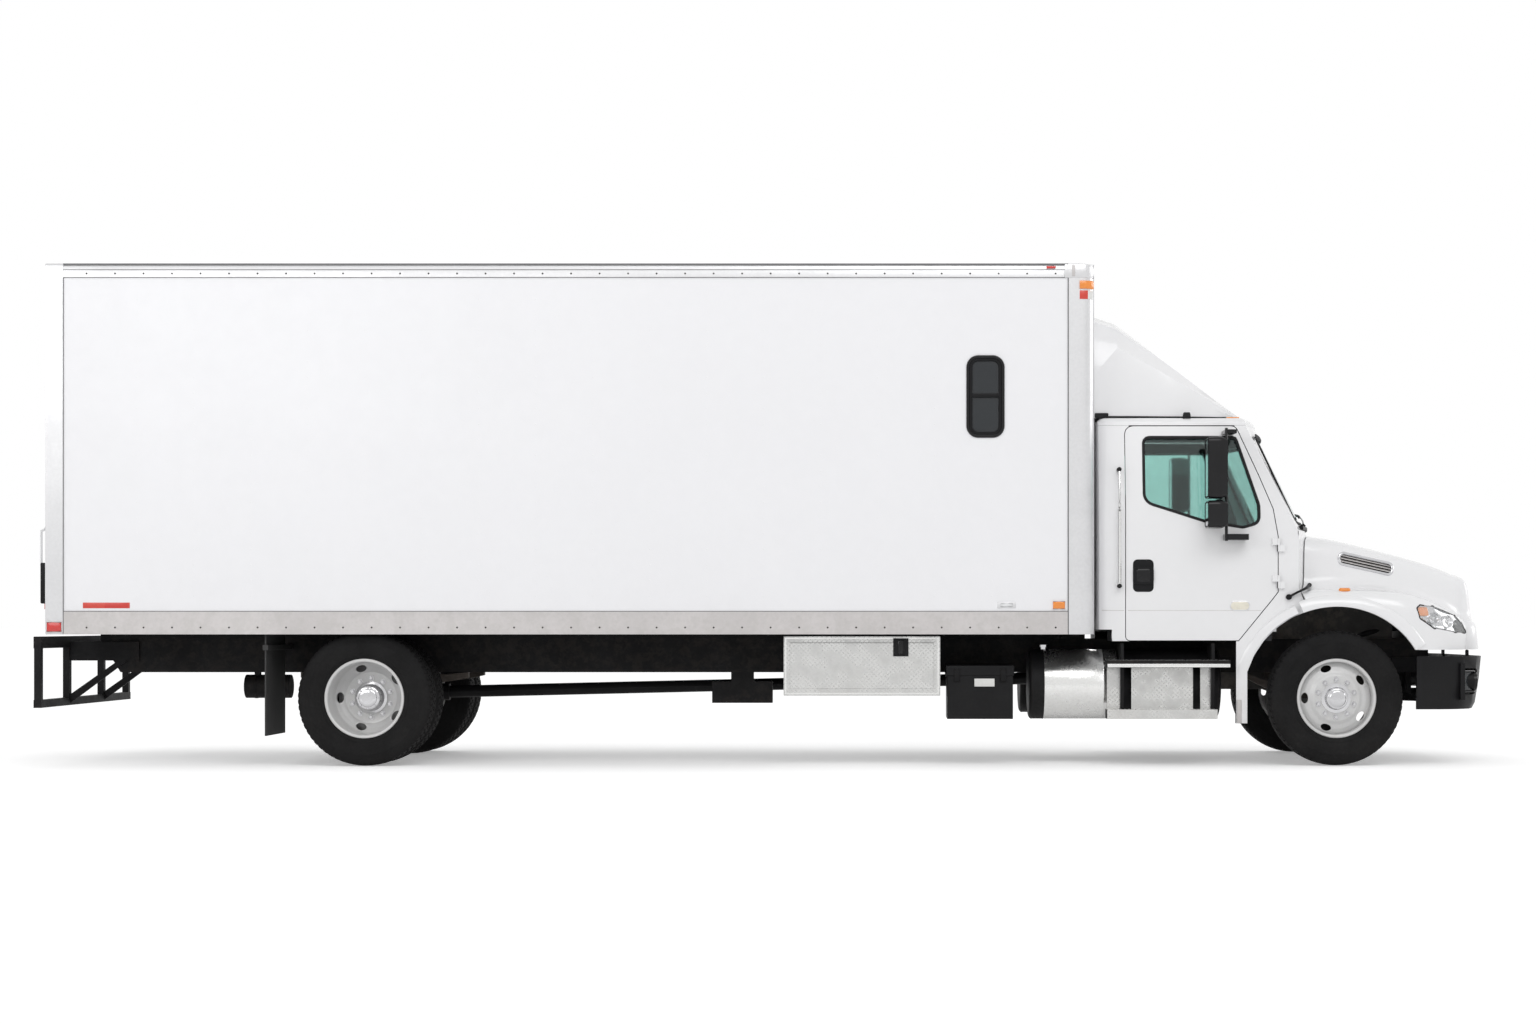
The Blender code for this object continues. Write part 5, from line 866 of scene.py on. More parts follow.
TYRE_RADIUS = 0.5134
WHEEL_Z = 0.51357
BARREL = 0.2756
FLANGE = 0.3018
FRONT_X, FRONT_Y = 4.355, 1.025
REAR_X, REAR_Y = -3.023, 0.9225
TWIN_HALF = 0.1675
HOLE_RADIUS = 0.234
HOLE_COUNT = 5
HOLE_TURN = math.radians(36.0)
HOLE_HALF_ANGLE, HOLE_HALF_HEIGHT = 0.175, 0.0255
BAND_INNER, BAND_OUTER = 0.2050, 0.2635
DISC_THICKNESS = 0.012
CROWN_HALF = 0.106
GROOVE_WALL = 0.0018


def hub_frame(x, centre_y, side):
    """A function from radius, angle and distance outward to points round one hub."""
    def place(radius, angle, out):
        radius, angle, out = np.broadcast_arrays(radius, angle, out)
        return np.stack([x + radius * np.cos(angle), side * (centre_y + out),
                         WHEEL_Z + radius * np.sin(angle)], axis=-1)
    return place


def ring_of(form, place, profile, count=96, slot=0):
    """A profile of radius and outward distance turned round a hub."""
    profile = np.asarray(profile, float)
    angle = np.linspace(0.0, TURN, count, endpoint=False)[:, None]
    return form.grid(place(profile[None, :, 0], angle, profile[None, :, 1]), wrap_u=True, slot=slot)


def groove(across, centre, width, depth):
    """How far a groove sinks at places across the tread, with sloped walls."""
    away = np.abs(across - centre) - width / 2
    return depth * np.clip(1.0 - away / GROOVE_WALL, 0.0, 1.0)


def tyre_form(place, drive, columns):
    """A tyre: its crown sinks in rings of grooves and, at even turns, in cross cuts between blocks;
    the flank swells on a cosine from shoulder to bead with two raised rings."""
    edges = [0.0]
    centres = (0.020, 0.058) if drive else (0.022, 0.062)
    width = 0.009 if drive else 0.0075
    for centre in centres:
        edges += [centre - width / 2 - GROOVE_WALL, centre - width / 2, centre + width / 2,
                  centre + width / 2 + GROOVE_WALL]
    edges += [0.5 * (centres[0] + centres[1]), 0.075, 0.088, 0.098, CROWN_HALF]
    crown = np.unique(np.concatenate([edges, -np.array(edges)]))
    sink = sum(groove(crown, sign * centre, width, 0.011) for centre in centres for sign in (-1, 1))
    camber = TYRE_RADIUS - 0.006 * (crown / CROWN_HALF) ** 2
    camber[np.abs(crown) > 0.09] -= 0.002
    flank = rows((0.4965, 0.1140), (0.4880, 0.1225), (0.4700, 0.1290), (0.4480, 0.1345), (0.4300, 0.1375),
                 (0.4280, 0.1387), (0.4200, 0.1390), (0.4180, 0.1382), (0.3950, 0.1398), (0.3700, 0.1385),
                 (0.3450, 0.1330), (0.3380, 0.1320), (0.3360, 0.1335), (0.3310, 0.1330), (0.3285, 0.1302),
                 (0.3150, 0.1240), (0.3040, 0.1160), (0.2950, 0.1130), (0.2864, 0.1120))
    radius = np.concatenate([flank[::-1, 0], camber, flank[:, 0]])
    out = np.concatenate([-flank[::-1, 1], crown, flank[:, 1]])
    sink = np.concatenate([np.zeros(len(flank)), sink, np.zeros(len(flank))])
    angle = np.linspace(0.0, TURN, columns, endpoint=False)[:, None]
    phase = (np.arange(columns) % 4)[:, None]
    zone = np.abs(out)[None, :]
    on_crown = zone <= CROWN_HALF + 1e-6
    shoulder = on_crown & (zone > 0.074)
    cross = shoulder & (phase == 0)
    if drive:
        inner = on_crown & (zone > 0.024) & (zone < 0.055) & (phase == 2)
        centre = on_crown & (zone < 0.014) & (phase == 1)
        cross = cross | inner | centre
    depth = np.where(cross, 0.010, 0.0)
    depth = np.maximum(depth, sink[None, :])
    lug = np.where((zone > CROWN_HALF) & (np.broadcast_to(radius, zone.shape) > 0.480) & (phase == 0), 0.004, 0.0)
    points = place(radius[None, :] - depth, angle, out[None, :] - np.sign(out)[None, :] * lug)
    form = Form()
    form.grid(points, wrap_u=True)
    inside = rows((0.2864, 0.1120), (0.2864, -0.1120))
    return ring_of(form, place, inside, columns)


def pierced_band(form, place, profile):
    """A band of a wheel disc with its hand holes: in each sector, rings run from the hole's
    oval to the sector's rim, both face and back, with a wall between them in the hole."""
    sector = TURN / HOLE_COUNT
    count = 64
    turn = np.linspace(0.0, TURN, count, endpoint=False)
    oval = np.stack([HOLE_HALF_ANGLE * np.cos(turn), HOLE_RADIUS + HOLE_HALF_HEIGHT * np.sin(turn)], 1)
    quarter = np.linspace(-1.0, 1.0, count // 4, endpoint=False)
    one = np.ones(count // 4)
    rim = np.concatenate([np.stack([one, quarter], 1), np.stack([-quarter, one], 1),
                          np.stack([-one, -quarter], 1), np.stack([quarter, -one], 1)])
    rim = np.stack([rim[:, 0] * sector / 2,
                    (BAND_INNER + BAND_OUTER) / 2 + rim[:, 1] * (BAND_OUTER - BAND_INNER) / 2], 1)
    start = np.argmin(np.abs(np.arctan2((rim[:, 1] - HOLE_RADIUS) / HOLE_HALF_HEIGHT,
                                        rim[:, 0] / HOLE_HALF_ANGLE)))
    rim = np.roll(rim, -start, axis=0)
    share = np.array([0.0, 0.06, 0.16, 0.32, 0.55, 0.78, 1.0])[:, None, None]
    patch = oval[None] * (1 - share) + rim[None] * share
    out = np.interp(patch[..., 1], profile[:, 0], profile[:, 1])
    rolled = out - np.where(share[..., 0] == 0.0, 0.002, 0.0)
    for index in range(HOLE_COUNT):
        angle = HOLE_TURN + index * sector + patch[..., 0]
        face = place(patch[..., 1], angle, rolled)
        back = place(patch[..., 1], angle, out - DISC_THICKNESS)
        form.grid(face, wrap_v=True)
        form.grid(back, wrap_v=True)
        form.grid(np.stack([face[0], back[0]]), wrap_v=True)


def nuts(form, place, radius, out):
    """Ten wheel nuts: six-sided, chamfered, each on its washer with a stud end, round a circle."""
    angle = np.linspace(0.0, TURN, 6, endpoint=False) + math.pi / 6
    for turn in np.linspace(0.0, TURN, 10, endpoint=False) + 0.31:
        centre = place(radius, turn, out)
        axis = place(radius, turn, out + 1.0) - centre
        side = np.array([1.0, 0.0, 0.0])
        up = np.array([0.0, 0.0, 1.0])
        hexagon = side * np.cos(angle)[:, None] + up * np.sin(angle)[:, None]
        loops = [centre + hexagon * r + axis * h for r, h in ((0.0165, 0.0), (0.0165, 0.017), (0.0140, 0.0205))]
        form.loops(loops, 1)
        form.rod(centre - axis * 0.001, centre + axis * 0.003, 0.021, 16, 1, 0.001)
        form.rod(centre + axis * 0.018, centre + axis * 0.030, 0.010, 12, 1, 0.0015)


def front_wheel_form(place):
    """The front wheel: flanged barrel, shallow disc with hand holes, nuts and a bright hub."""
    form = Form()
    barrel = rows((BARREL, 0.0430), (BARREL, 0.1000), (0.2770, 0.1130), (0.2820, 0.1200), (0.2900, 0.1228),
                  (0.2980, 0.1226), (FLANGE, 0.1190), (FLANGE, 0.1150), (0.3000, 0.1131), (0.2890, 0.1128),
                  (0.2860, 0.1100), (0.2860, -0.1100), (0.2890, -0.1128), (FLANGE, -0.1150), (0.2980, -0.1226),
                  (0.2820, -0.1200), (BARREL, -0.1000), (BARREL, 0.0290))
    ring_of(form, place, barrel)
    face = rows((0.1000, 0.0925), (0.1700, 0.0925), (0.1780, 0.0900), (0.1900, 0.0800), (0.2050, 0.0735),
                (0.2350, 0.0660), (0.2620, 0.0540), (BARREL, 0.0430))
    ring_of(form, place, face[:5])
    ring_of(form, place, rows((0.2625, 0.0538), (0.2700, 0.0490), (BARREL, 0.0430)))
    pierced_band(form, place, face)
    ring_of(form, place, rows((0.1000, 0.0800), (0.2050, 0.0615)))
    ring_of(form, place, rows((0.2625, 0.0418), (BARREL, 0.0290)))
    hub = rows((0.0, 0.1648), (0.0300, 0.1642), (0.0520, 0.1615), (0.0620, 0.1570), (0.0665, 0.1500),
               (0.0700, 0.1480), (0.0790, 0.1470), (0.0815, 0.1430), (0.0815, 0.1200), (0.0860, 0.1160),
               (0.0880, 0.1100), (0.0880, 0.0990), (0.1120, 0.0965), (0.1120, 0.0925), (0.1000, 0.0925),
               (0.1000, 0.0800))
    ring_of(form, place, hub, 64, 1)
    nuts(form, place, 0.1430, 0.0925)
    drum = rows((0.0460, -0.0845), (0.1850, -0.0845), (0.1890, -0.0800), (0.1890, -0.0350), (0.1850, -0.0300),
                (0.1890, -0.0250), (0.1890, 0.0580), (0.1600, 0.0600), (0.1000, 0.0610), (0.0460, 0.0480))
    ring_of(form, place, drum, 64, 2)
    return form


def rear_wheel_form(place):
    """The twin wheel: two flanged barrels back to back, the outer deeply dished, and its hub."""
    form = Form()
    far = TWIN_HALF + 0.1128
    barrel = rows((BARREL, 0.0810), (BARREL, far - 0.012), (0.2770, far), (0.2820, far + 0.0072),
                  (0.2900, far + 0.0100), (0.2980, far + 0.0098), (FLANGE, far + 0.0062), (FLANGE, far + 0.0022),
                  (0.3000, far + 0.0003), (0.2890, far), (0.2860, far - 0.003), (0.2860, 0.0580),
                  (0.2830, 0.0550), (BARREL, 0.0560), (BARREL, 0.0660))
    ring_of(form, place, barrel)
    ring_of(form, place, barrel * (1.0, -1.0))
    face = rows((0.1000, 0.0140), (0.1900, 0.0140), (0.1980, 0.0160), (0.2050, 0.0230), (0.2350, 0.0420),
                (0.2625, 0.0640), (BARREL, 0.0810))
    ring_of(form, place, face[:4])
    ring_of(form, place, face[5:])
    pierced_band(form, place, face)
    ring_of(form, place, rows((0.2050, 0.0110), (0.2050, -0.0230)))
    ring_of(form, place, rows((0.2625, 0.0520), (BARREL, 0.0660)))
    ring_of(form, place, face[3:] * (1.0, -1.0))
    hub = rows((0.0, 0.1700), (0.0400, 0.1695), (0.0620, 0.1680), (0.0680, 0.1640), (0.0700, 0.1560),
               (0.0880, 0.1530), (0.0930, 0.1480), (0.0950, 0.1200), (0.0990, 0.0600), (0.1040, 0.0350),
               (0.1240, 0.0290), (0.1240, 0.0140), (0.1000, 0.0140))
    ring_of(form, place, hub, 64, 1)
    nuts(form, place, 0.1500, 0.0140)
    for turn in np.linspace(0.0, TURN, 8, endpoint=False):
        bolt = place(0.079, turn, 0.153)
        axis = place(0.079, turn, 1.153) - bolt
        form.rod(bolt, bolt + axis * 0.010, 0.0085, 6, 1, 0.001)
    drum = rows((0.0620, -0.1990), (0.1850, -0.1990), (0.1890, -0.1950), (0.1890, -0.1100), (0.1840, -0.1050),
                (0.1890, -0.1000), (0.1890, -0.0320), (0.1850, -0.0240), (0.1000, -0.0140), (0.0620, 0.0980),
                (0.0, 0.0980))
    ring_of(form, place, drum, 64, 2)
    return form


class TRUCK_PG_wheels(bpy.types.PropertyGroup):
    """Steps of the tread and colour of the steel wheels."""
    columns: IntProperty(name="Tread columns", description="Steps round a tyre, in fours", default=256, min=96,
                         max=400)
    white: FloatVectorProperty(name="Wheel paint", description="Colour of the steel wheels", subtype="COLOR",
                               size=3, default=(0.66, 0.66, 0.66), min=0.0, max=1.0)


class TRUCK_OT_tyres(bpy.types.Operator):
    """Turn the six tyres with their tread and flanks"""
    bl_idname = "truck.tyres"
    bl_label = "Tyres"

    def execute(self, context):
        columns = context.scene.truck_wheels.columns
        for word, side in SIDES.items():
            for node, x, y, drive in (("front_tyre", FRONT_X, FRONT_Y, False),
                                      ("rear_tyre_outer", REAR_X, REAR_Y + TWIN_HALF, True),
                                      ("rear_tyre_inner", REAR_X, REAR_Y - TWIN_HALF, True)):
                name = f"{node}_{word}"
                form = tyre_form(hub_frame(x, y, side), drive, columns)
                form.build(name + "_tread", body_of(name), tyre_rubber(), (name,), angle=28.0)
        return {"FINISHED"}


class TRUCK_OT_steel_wheels(bpy.types.Operator):
    """Turn the steel wheels with their hand holes, nuts and hubs"""
    bl_idname = "truck.steel_wheels"
    bl_label = "Steel wheels"

    def execute(self, context):
        finishes = [wheel_paint(), chrome(), cast_steel()]
        for word, side in SIDES.items():
            for end, make, x, y in (("front", front_wheel_form, FRONT_X, FRONT_Y),
                                    ("rear", rear_wheel_form, REAR_X, REAR_Y)):
                name = f"{end}_rim_{word}"
                form = make(hub_frame(x, y, side))
                form.build(name + "_steel", body_of(name), finishes, (name,), angle=38.0)
        return {"FINISHED"}


# Cab

CAB_Y, BELT_Z, TAPER = 1.080, 1.950, 0.140
DOOR_WINDOW = ((2.899, 2.509, 0.045), (3.605, 2.509, 0.030), (3.774, 1.990, 0.0), (3.778, 1.850, 0.060),
               (3.654, 1.815, 0.0), (3.366, 1.860, 0.0), (2.899, 2.010, 0.090))
FAIRING_FOOT = ((2.545, 0.905), (2.715, 0.902), (2.977, 0.882), (3.235, 0.852), (3.496, 0.802), (3.640, 0.744))
ROOF_LAMPS_Y = (-0.920, -0.200, 0.0, 0.200, 0.920)


class TRUCK_PG_paint(bpy.types.PropertyGroup):
    """Colours of the paint."""
    white: FloatVectorProperty(name="Cab white", description="Paint of cab, hood and fairing", subtype="COLOR",
                               size=3, default=(0.84, 0.84, 0.85), min=0.0, max=1.0)
    panel: FloatVectorProperty(name="Body white", description="Skin of the van body", subtype="COLOR",
                               size=3, default=(0.86, 0.86, 0.88), min=0.0, max=1.0)


def cab_y(z):
    """Half-width of the cab's skin at a height: upright to the belt line, then drawn in evenly."""
    return CAB_Y * (1.0 - TAPER * np.maximum(0.0, np.asarray(z, float) - BELT_Z))


def screen_x(y, z):
    """The windscreen's face: a sloping plane bowed back as the square of the distance from the middle."""
    return 4.232 - 0.47994 * (np.asarray(z, float) - 1.854) - 0.190 * (np.asarray(y, float) / CAB_Y) ** 2


def on_cab_side(outline, side, out):
    """A side outline laid on the cab's skin, proud of it by a distance."""
    outline = np.asarray(outline, float)
    return np.stack([outline[:, 0], side * (cab_y(outline[:, 1]) + out), outline[:, 1]], 1)


def on_screen(outline, out):
    """An outline of y and z laid on the windscreen's face, proud along its slope."""
    y, z = np.asarray(outline, float).T
    return np.stack([screen_x(y, z) + 0.902 * out, y, z + 0.433 * out], 1)


def ring_on(form, outline, lay, steps, slot=0):
    """Add a closed bead round an outline: rows of growth and height, laid on a skin."""
    form.grid(np.stack([lay(outward(outline, grow), out) for grow, out in steps]), True, True, slot)


def pad_on(form, outline, lay, height, slot=0, under=0.004):
    """Add a low pad with rounded shoulders laid on a skin."""
    steps = ((0.0, -under), (0.0, height * 0.5), (-0.003, height * 0.85), (-0.010, height))
    form.loops([lay(outward(outline, grow), out) for grow, out in steps], slot)


def door_trim(side):
    """Window rubber, handle and its bed, courtesy lamp, and a grey strip painted as the shade of the crease line, on
    one door's outside.
    """
    def lay(outline, out):
        return on_cab_side(outline, side, out)
    form = Form()
    window = even_path(round_corners(DOOR_WINDOW, 7)[::-1], 120, True)
    ring_on(form, window, lay, ((0.010, -0.002), (0.010, 0.003), (0.004, 0.006), (-0.006, 0.005), (-0.012, 0.001),
                                (-0.012, -0.024), (-0.004, -0.024), (0.000, -0.003)))
    pad_on(form, rectangle((2.813, 2.971), (1.323, 1.571), 0.035), lay, 0.004, 1)
    pad_on(form, rectangle((2.836, 2.948), (1.395, 1.500), 0.020), lay, 0.0215, 2, -0.012)
    lamp = rectangle((3.552, 3.706), (1.179, 1.255), 0.036, 8)
    ring_on(form, lamp, lay, ((0.0, -0.003), (0.0, 0.004), (-0.005, 0.006), (-0.010, 0.003), (-0.010, -0.003)), 3)
    pad_on(form, outward(lamp, -0.008), lay, 0.0075, 4)
    # A thin grey strip: painted shade of the crease line along the door.
    form.loops([lay(rectangle((2.775, 3.790), (1.1800, 1.1835)), out) for out in (-0.002, 0.0007)], 5)
    return form


def door_card(side):
    """The door's inner panel with its armrest, pull and window ledge."""
    form = Form()
    outline = round_corners(((2.800, 1.090, 0.03), (3.620, 1.090, 0.03), (3.760, 1.330, 0.03), (3.760, 1.810, 0.05),
                             (3.380, 1.840, 0.0), (2.860, 1.960, 0.05), (2.800, 1.960, 0.03)), 5)
    form.prism(outline, "xz", (side * 1.031, side * 1.019), 0, 0.003)
    form.prism(round_corners(((2.900, 1.480, 0.02), (3.420, 1.480, 0.02), (3.500, 1.560, 0.02), (2.900, 1.560, 0.02)),
                             4), "xz", (side * 1.020, side * 0.955), 1, 0.012)
    form.prism(rectangle((2.860, 3.300), (1.130, 1.260), 0.02), "xz", (side * 1.020, side * 0.985), 1, 0.008)
    return form


def leg_flares():
    """The wheel arch's lip on the cab's splash legs, out of the fender's line and flattening down the leg."""
    form = Form()
    arc = np.radians(np.linspace(114.0, 163.2, 26))
    drop = np.linspace(0.680, 0.326, 9)
    line = np.vstack([on_arch(arc), np.stack([np.full(9, LEG_X), drop], 1)])
    lean = np.concatenate([arc, np.radians(np.linspace(166.0, 180.0, 9))])
    away = np.stack([np.cos(lean), np.sin(lean)], 1)
    share = np.clip(np.linspace(0.0, 1.6, len(line)), 0.0, 1.0)
    rise = 0.058 * (1.0 - share) ** 1.5 + 0.010
    for side in SIDES.values():
        lines = []
        for grow, part in ((0.003, -0.2), (0.001, 0.75), (0.010, 1.0), (0.042, 0.95), (0.070, 0.6), (0.082, -0.2)):
            place = line + away * grow
            lines.append(np.stack([place[:, 0], side * (CAB_Y + rise * part), place[:, 1]], 1))
        form.loops(list(np.stack(lines, axis=1)), 0)
        form.box((3.604, 3.640), span_on(side, 1.084, 1.096), (0.324, 0.500), 1, 0.003)
    return form


class TRUCK_OT_cab_panels(bpy.types.Operator):
    """Ease and paint the cab's panels, doors and roof fairing, and line them inside"""
    bl_idname = "truck.cab_panels"
    bl_label = "Cab panels"

    def execute(self, context):
        white, trim, black = truck_white(), cabin_trim(), moulded_black()

        def roof(middle, normal):
            for y in ROOF_LAMPS_Y:
                place = screen_x(y, 2.600) - 0.130
                if abs(middle.y - y) < 0.075 and abs(middle.x - place) < 0.070 and abs(normal.z) < 0.99:
                    return 2
                if abs(middle.y - y) < 0.040 and abs(middle.x - place) < 0.040 and middle.z > 2.664:
                    return 2
            return int(normal.z < -0.5)

        def rear(middle, normal):
            return 2 if abs(middle.y) > 1.084 else int(normal.x > 0.5 and abs(middle.y) < 1.02)

        def door(middle, normal):
            if abs(middle.y) > 1.0815 and 2.80 < middle.x < 2.98 and 1.36 < middle.z < 1.53:
                return 2
            return int(normal.y * middle.y < 0 and abs(normal.y) > 0.5)
        eased_copy("cab_front", [white, trim, chassis_black()], 0.004, choose=lambda middle, normal: (
            2 if middle.z < 0.94 and abs(normal.y) < 0.5 and normal.x < 0.9 else int(
                normal.x < -0.5 and middle.z > 1.0 and middle.x < 4.2)))
        eased_copy("cab_rear", [white, trim, bright_aluminium()], 0.004, choose=rear)
        eased_copy("cab_roof", [white, trim, amber_lens()], 0.004, choose=roof)
        eased_copy("roof_fairing", white, 0.006, 3, smooth_below=50.0)
        eased_copy("cab_floor", [cabin_plastic(), chassis_black()], 0.003,
                   choose=lambda middle, normal: int(normal.z < -0.5))
        body = body_of("cab_rear")
        for name, side in SIDES.items():
            eased_copy("door_" + name, [white, trim, black], 0.004, choose=door)
            door_trim(side).build("door_trim_" + name, body_of("door_" + name),
                                  [seal_rubber(), black, gloss_black(), rail_aluminium(), warm_lens(), rail_grey()])
            door_card(side).build("door_card_" + name, body_of("door_" + name), [trim, cabin_plastic()])
        leg_flares().build("leg_flares", body, [white, rail_grey()])
        cowl = Form()
        for side in SIDES.values():
            places = [(seam_x(y) - 0.009, seam_x(y) - 0.003, side * y) for y in np.linspace(0.780, 1.076, 14)]
            cowl.loops([rows((rear, y, 1.320), (front, y, 1.320), (front, y, 1.795), (rear, y, 1.795))
                        for rear, front, y in places])
        cowl.build("cowl_sides", body_of("cab_front"), white)
        form = Form()
        for side in SIDES.values():
            form.rod((2.708, side * 1.078, 1.368), (2.708, side * 1.140, 1.368), 0.017, 16, 0, 0.004)
            form.rod((2.708, side * 1.030, 2.257), (2.708, side * 1.108, 2.257), 0.017, 16, 0, 0.004)
            form.tube(smooth_path(rows((2.708, side * 1.125, 1.940), (2.708, side * 1.122, 2.100),
                                       (2.708, side * 1.092, 2.257)), 12), 0.010, 10, 2)
            # A thin grey strip on the cab's rear corner: painted shade of the same crease line.
            form.loops([on_cab_side(rectangle((2.575, 2.745), (1.1800, 1.1835)), side, out)
                        for out in (-0.002, 0.0007)], 1)
        path = [(x, y, 2.668) for x, y in FAIRING_FOOT]
        path = path + [(3.665, 0.0, 2.668)] + [(x, -y, z) for x, y, z in path[::-1]]
        form.tube(smooth_path(rows(*path), 70), 0.011, 8, 0)
        for side in (-1.0, 1.0):
            form.box((2.535, 2.640), span_on(side, 0.880, 0.925), (2.662, 2.700), 0, 0.006)
        form.prism(round_corners(((3.205, 2.660, 0.004), (3.273, 2.660, 0.004), (3.262, 2.704, 0.006),
                                  (3.216, 2.704, 0.006)), 4), "xz", (-0.955, -0.915), 0, 0.004)
        form.build("cab_trim", body, [seal_rubber(), rail_grey(), bright_aluminium()])
        return {"FINISHED"}


class TRUCK_OT_glass(bpy.types.Operator):
    """Fit the windscreen, its gasket, cowl and wipers, and the door glass"""
    bl_idname = "truck.glass"
    bl_label = "Glass and wipers"

    def execute(self, context):
        paint(cab_glass(), "windscreen", "door_glass_right", "door_glass_left")
        form = Form()
        screen = rows((-0.985, 1.854), (0.985, 1.854), (0.960, 2.527), (-0.960, 2.527))
        outline = even_path(rounded(screen, 0.07, 8), 200, True)
        ring_on(form, outline, on_screen, ((0.014, -0.003), (0.014, 0.002), (0.008, 0.004), (-0.008, 0.003),
                                           (-0.014, -0.002), (-0.014, -0.012), (-0.004, -0.012), (0.0, -0.003)))
        y = np.linspace(-0.930, 0.930, 60)
        section = rectangle((-0.014, 0.034), (-0.022, 0.006), 0.005, 3)
        form.loops([np.stack([screen_x(s, 1.832) + section[:, 0], np.full(len(section), s), 1.826 + section[:, 1]], 1)
                    for s in y], 1)
        for foot in (-0.780, 0.060):
            pivot = on_screen(rows((foot, 1.836)), 0.010)[0]
            form.rod(pivot - (0.0, 0.0, 0.012), pivot + (0.018, 0.0, 0.008), 0.016, 14, 1)
            knee = on_screen(rows((foot + 0.14, 1.872)), 0.022)[0]
            hold = on_screen(rows((foot + 0.400, 1.921)), 0.017)[0]
            form.tube(smooth_path(np.stack([pivot + (0.010, 0, 0.004), knee, hold]), 14), 0.006, 8, 2)
            along = np.linspace(foot + 0.06, foot + 0.70, 24)
            height = 1.900 + 0.045 * (along - along[0]) / 0.64
            form.tube(on_screen(np.stack([along, height], 1), 0.010), 0.007, 6, 0, squash=1.6)
        form.build("windscreen_trim", body_of("windscreen"), [seal_rubber(), moulded_black(), gloss_black()])
        return {"FINISHED"}


class TRUCK_OT_mirrors(bpy.types.Operator):
    """Ease the mirror heads and arms and set their glass"""
    bl_idname = "truck.mirrors"
    bl_label = "Mirrors"

    def execute(self, context):
        for name, side in SIDES.items():
            eased_copy("mirror_" + name, gloss_black(), 0.020, 4, smooth_below=45.0)
            form = Form()
            for low, high in ((2.023, 2.491), (1.800, 2.012)):
                outline = rectangle(span_on(side, 1.158, 1.357), (low + 0.018, high - 0.018), 0.024, 6)
                ring_on(form, outline, lambda line, out: set_in(line, "yz", 3.356 - out),
                        ((0.006, -0.004), (0.006, 0.003), (0.001, 0.005), (-0.005, 0.001), (-0.005, -0.004)), 1)
                form.loops([set_in(outward(outline, -0.002), "yz", x) for x in (3.360, 3.3545)], 0)
            form.build("mirror_faces_" + name, body_of("mirror_" + name), [mirror_glass(), moulded_black()])
        return {"FINISHED"}


# Inside the cab

SEAT_Y = {"driver_seat": 0.480, "passenger_seat": -0.480}


def soft_pad(form, centre, half, tilt, crown, seams, slot=0):
    """Add an upholstered pad: rounded-rectangle rings run in from its welt to its middle. The face swells as
    crown (1 - s^3), dips at each seam as a bell curve, and the edge bulges between its two welts."""
    a, b, c = half
    outline = even_path(rectangle((-1.0, 1.0), (-1.0, 1.0), 0.28, 9) * (a, b), 96, True)
    share = np.concatenate([np.linspace(0.90, 1.0, 3), np.full(5, 1.0), np.linspace(0.985, 0.0, 30)])
    side = np.concatenate([[-1.0, -1.0, -0.99], np.linspace(-0.86, 0.80, 5), np.full(30, 0.92)])
    bulge = np.concatenate([np.zeros(3), 0.012 * np.sin(np.linspace(0.15, math.pi - 0.15, 5)), np.zeros(30)])
    rings = []
    for s, level, out in zip(share, side, bulge):
        ring = outward(outline, out) * s
        height = np.full(len(ring), level * c)
        if level > 0.9:
            height = height + crown * (1.0 - s ** 3) - 0.010 * math.exp(-((s - 0.80) / 0.022) ** 2)
            for line in seams:
                height -= 0.009 * np.exp(-((ring[:, 1] - line * b) / 0.007) ** 2) * (s < 0.79)
        rings.append(np.stack([ring[:, 0], ring[:, 1], height], 1))
    points = np.stack(rings)
    lean = math.radians(tilt)
    x = points[..., 0] * math.cos(lean) + points[..., 2] * math.sin(lean)
    z = -points[..., 0] * math.sin(lean) + points[..., 2] * math.cos(lean)
    points = np.stack([x, points[..., 1], z], -1) + np.asarray(centre)
    return form.loops(list(points), slot, (True, False))


class TRUCK_OT_seats(bpy.types.Operator):
    """Upholster both seats: cushion, back and head rest with seams, on a plain box"""
    bl_idname = "truck.seats"
    bl_label = "Seats"

    def execute(self, context):
        for node, y in SEAT_Y.items():
            form = Form()
            soft_pad(form, (3.045, y, 1.405), (0.275, 0.250, 0.062), -3.0, 0.026, (-0.36, 0.36), 0)
            soft_pad(form, (2.775, y, 1.745), (0.335, 0.245, 0.058), 83.5, 0.024, (-0.36, 0.36), 0)
            soft_pad(form, (2.742, y, 2.175), (0.092, 0.150, 0.040), 86.0, 0.014, (), 0)
            form.prism(rectangle((2.835, 3.245), (y - 0.225, y + 0.225), 0.02), "xy", (1.062, 1.345), 1, 0.008)
            for step in (-0.07, 0.07):
                form.rod((2.742, y + step, 2.040), (2.738, y + step, 2.110), 0.007, 10, 2)
            for step in (-0.270, 0.270):
                form.rod((2.760, y + step - 0.02 * np.sign(step), 1.420),
                         (2.760, y + step + 0.012 * np.sign(step), 1.420), 0.034, 20, 1, 0.004)
            seat = form.build(node + "_cushions", body_of(node), [seat_cloth(), cabin_plastic(), chrome()], (node,))
        return {"FINISHED"}


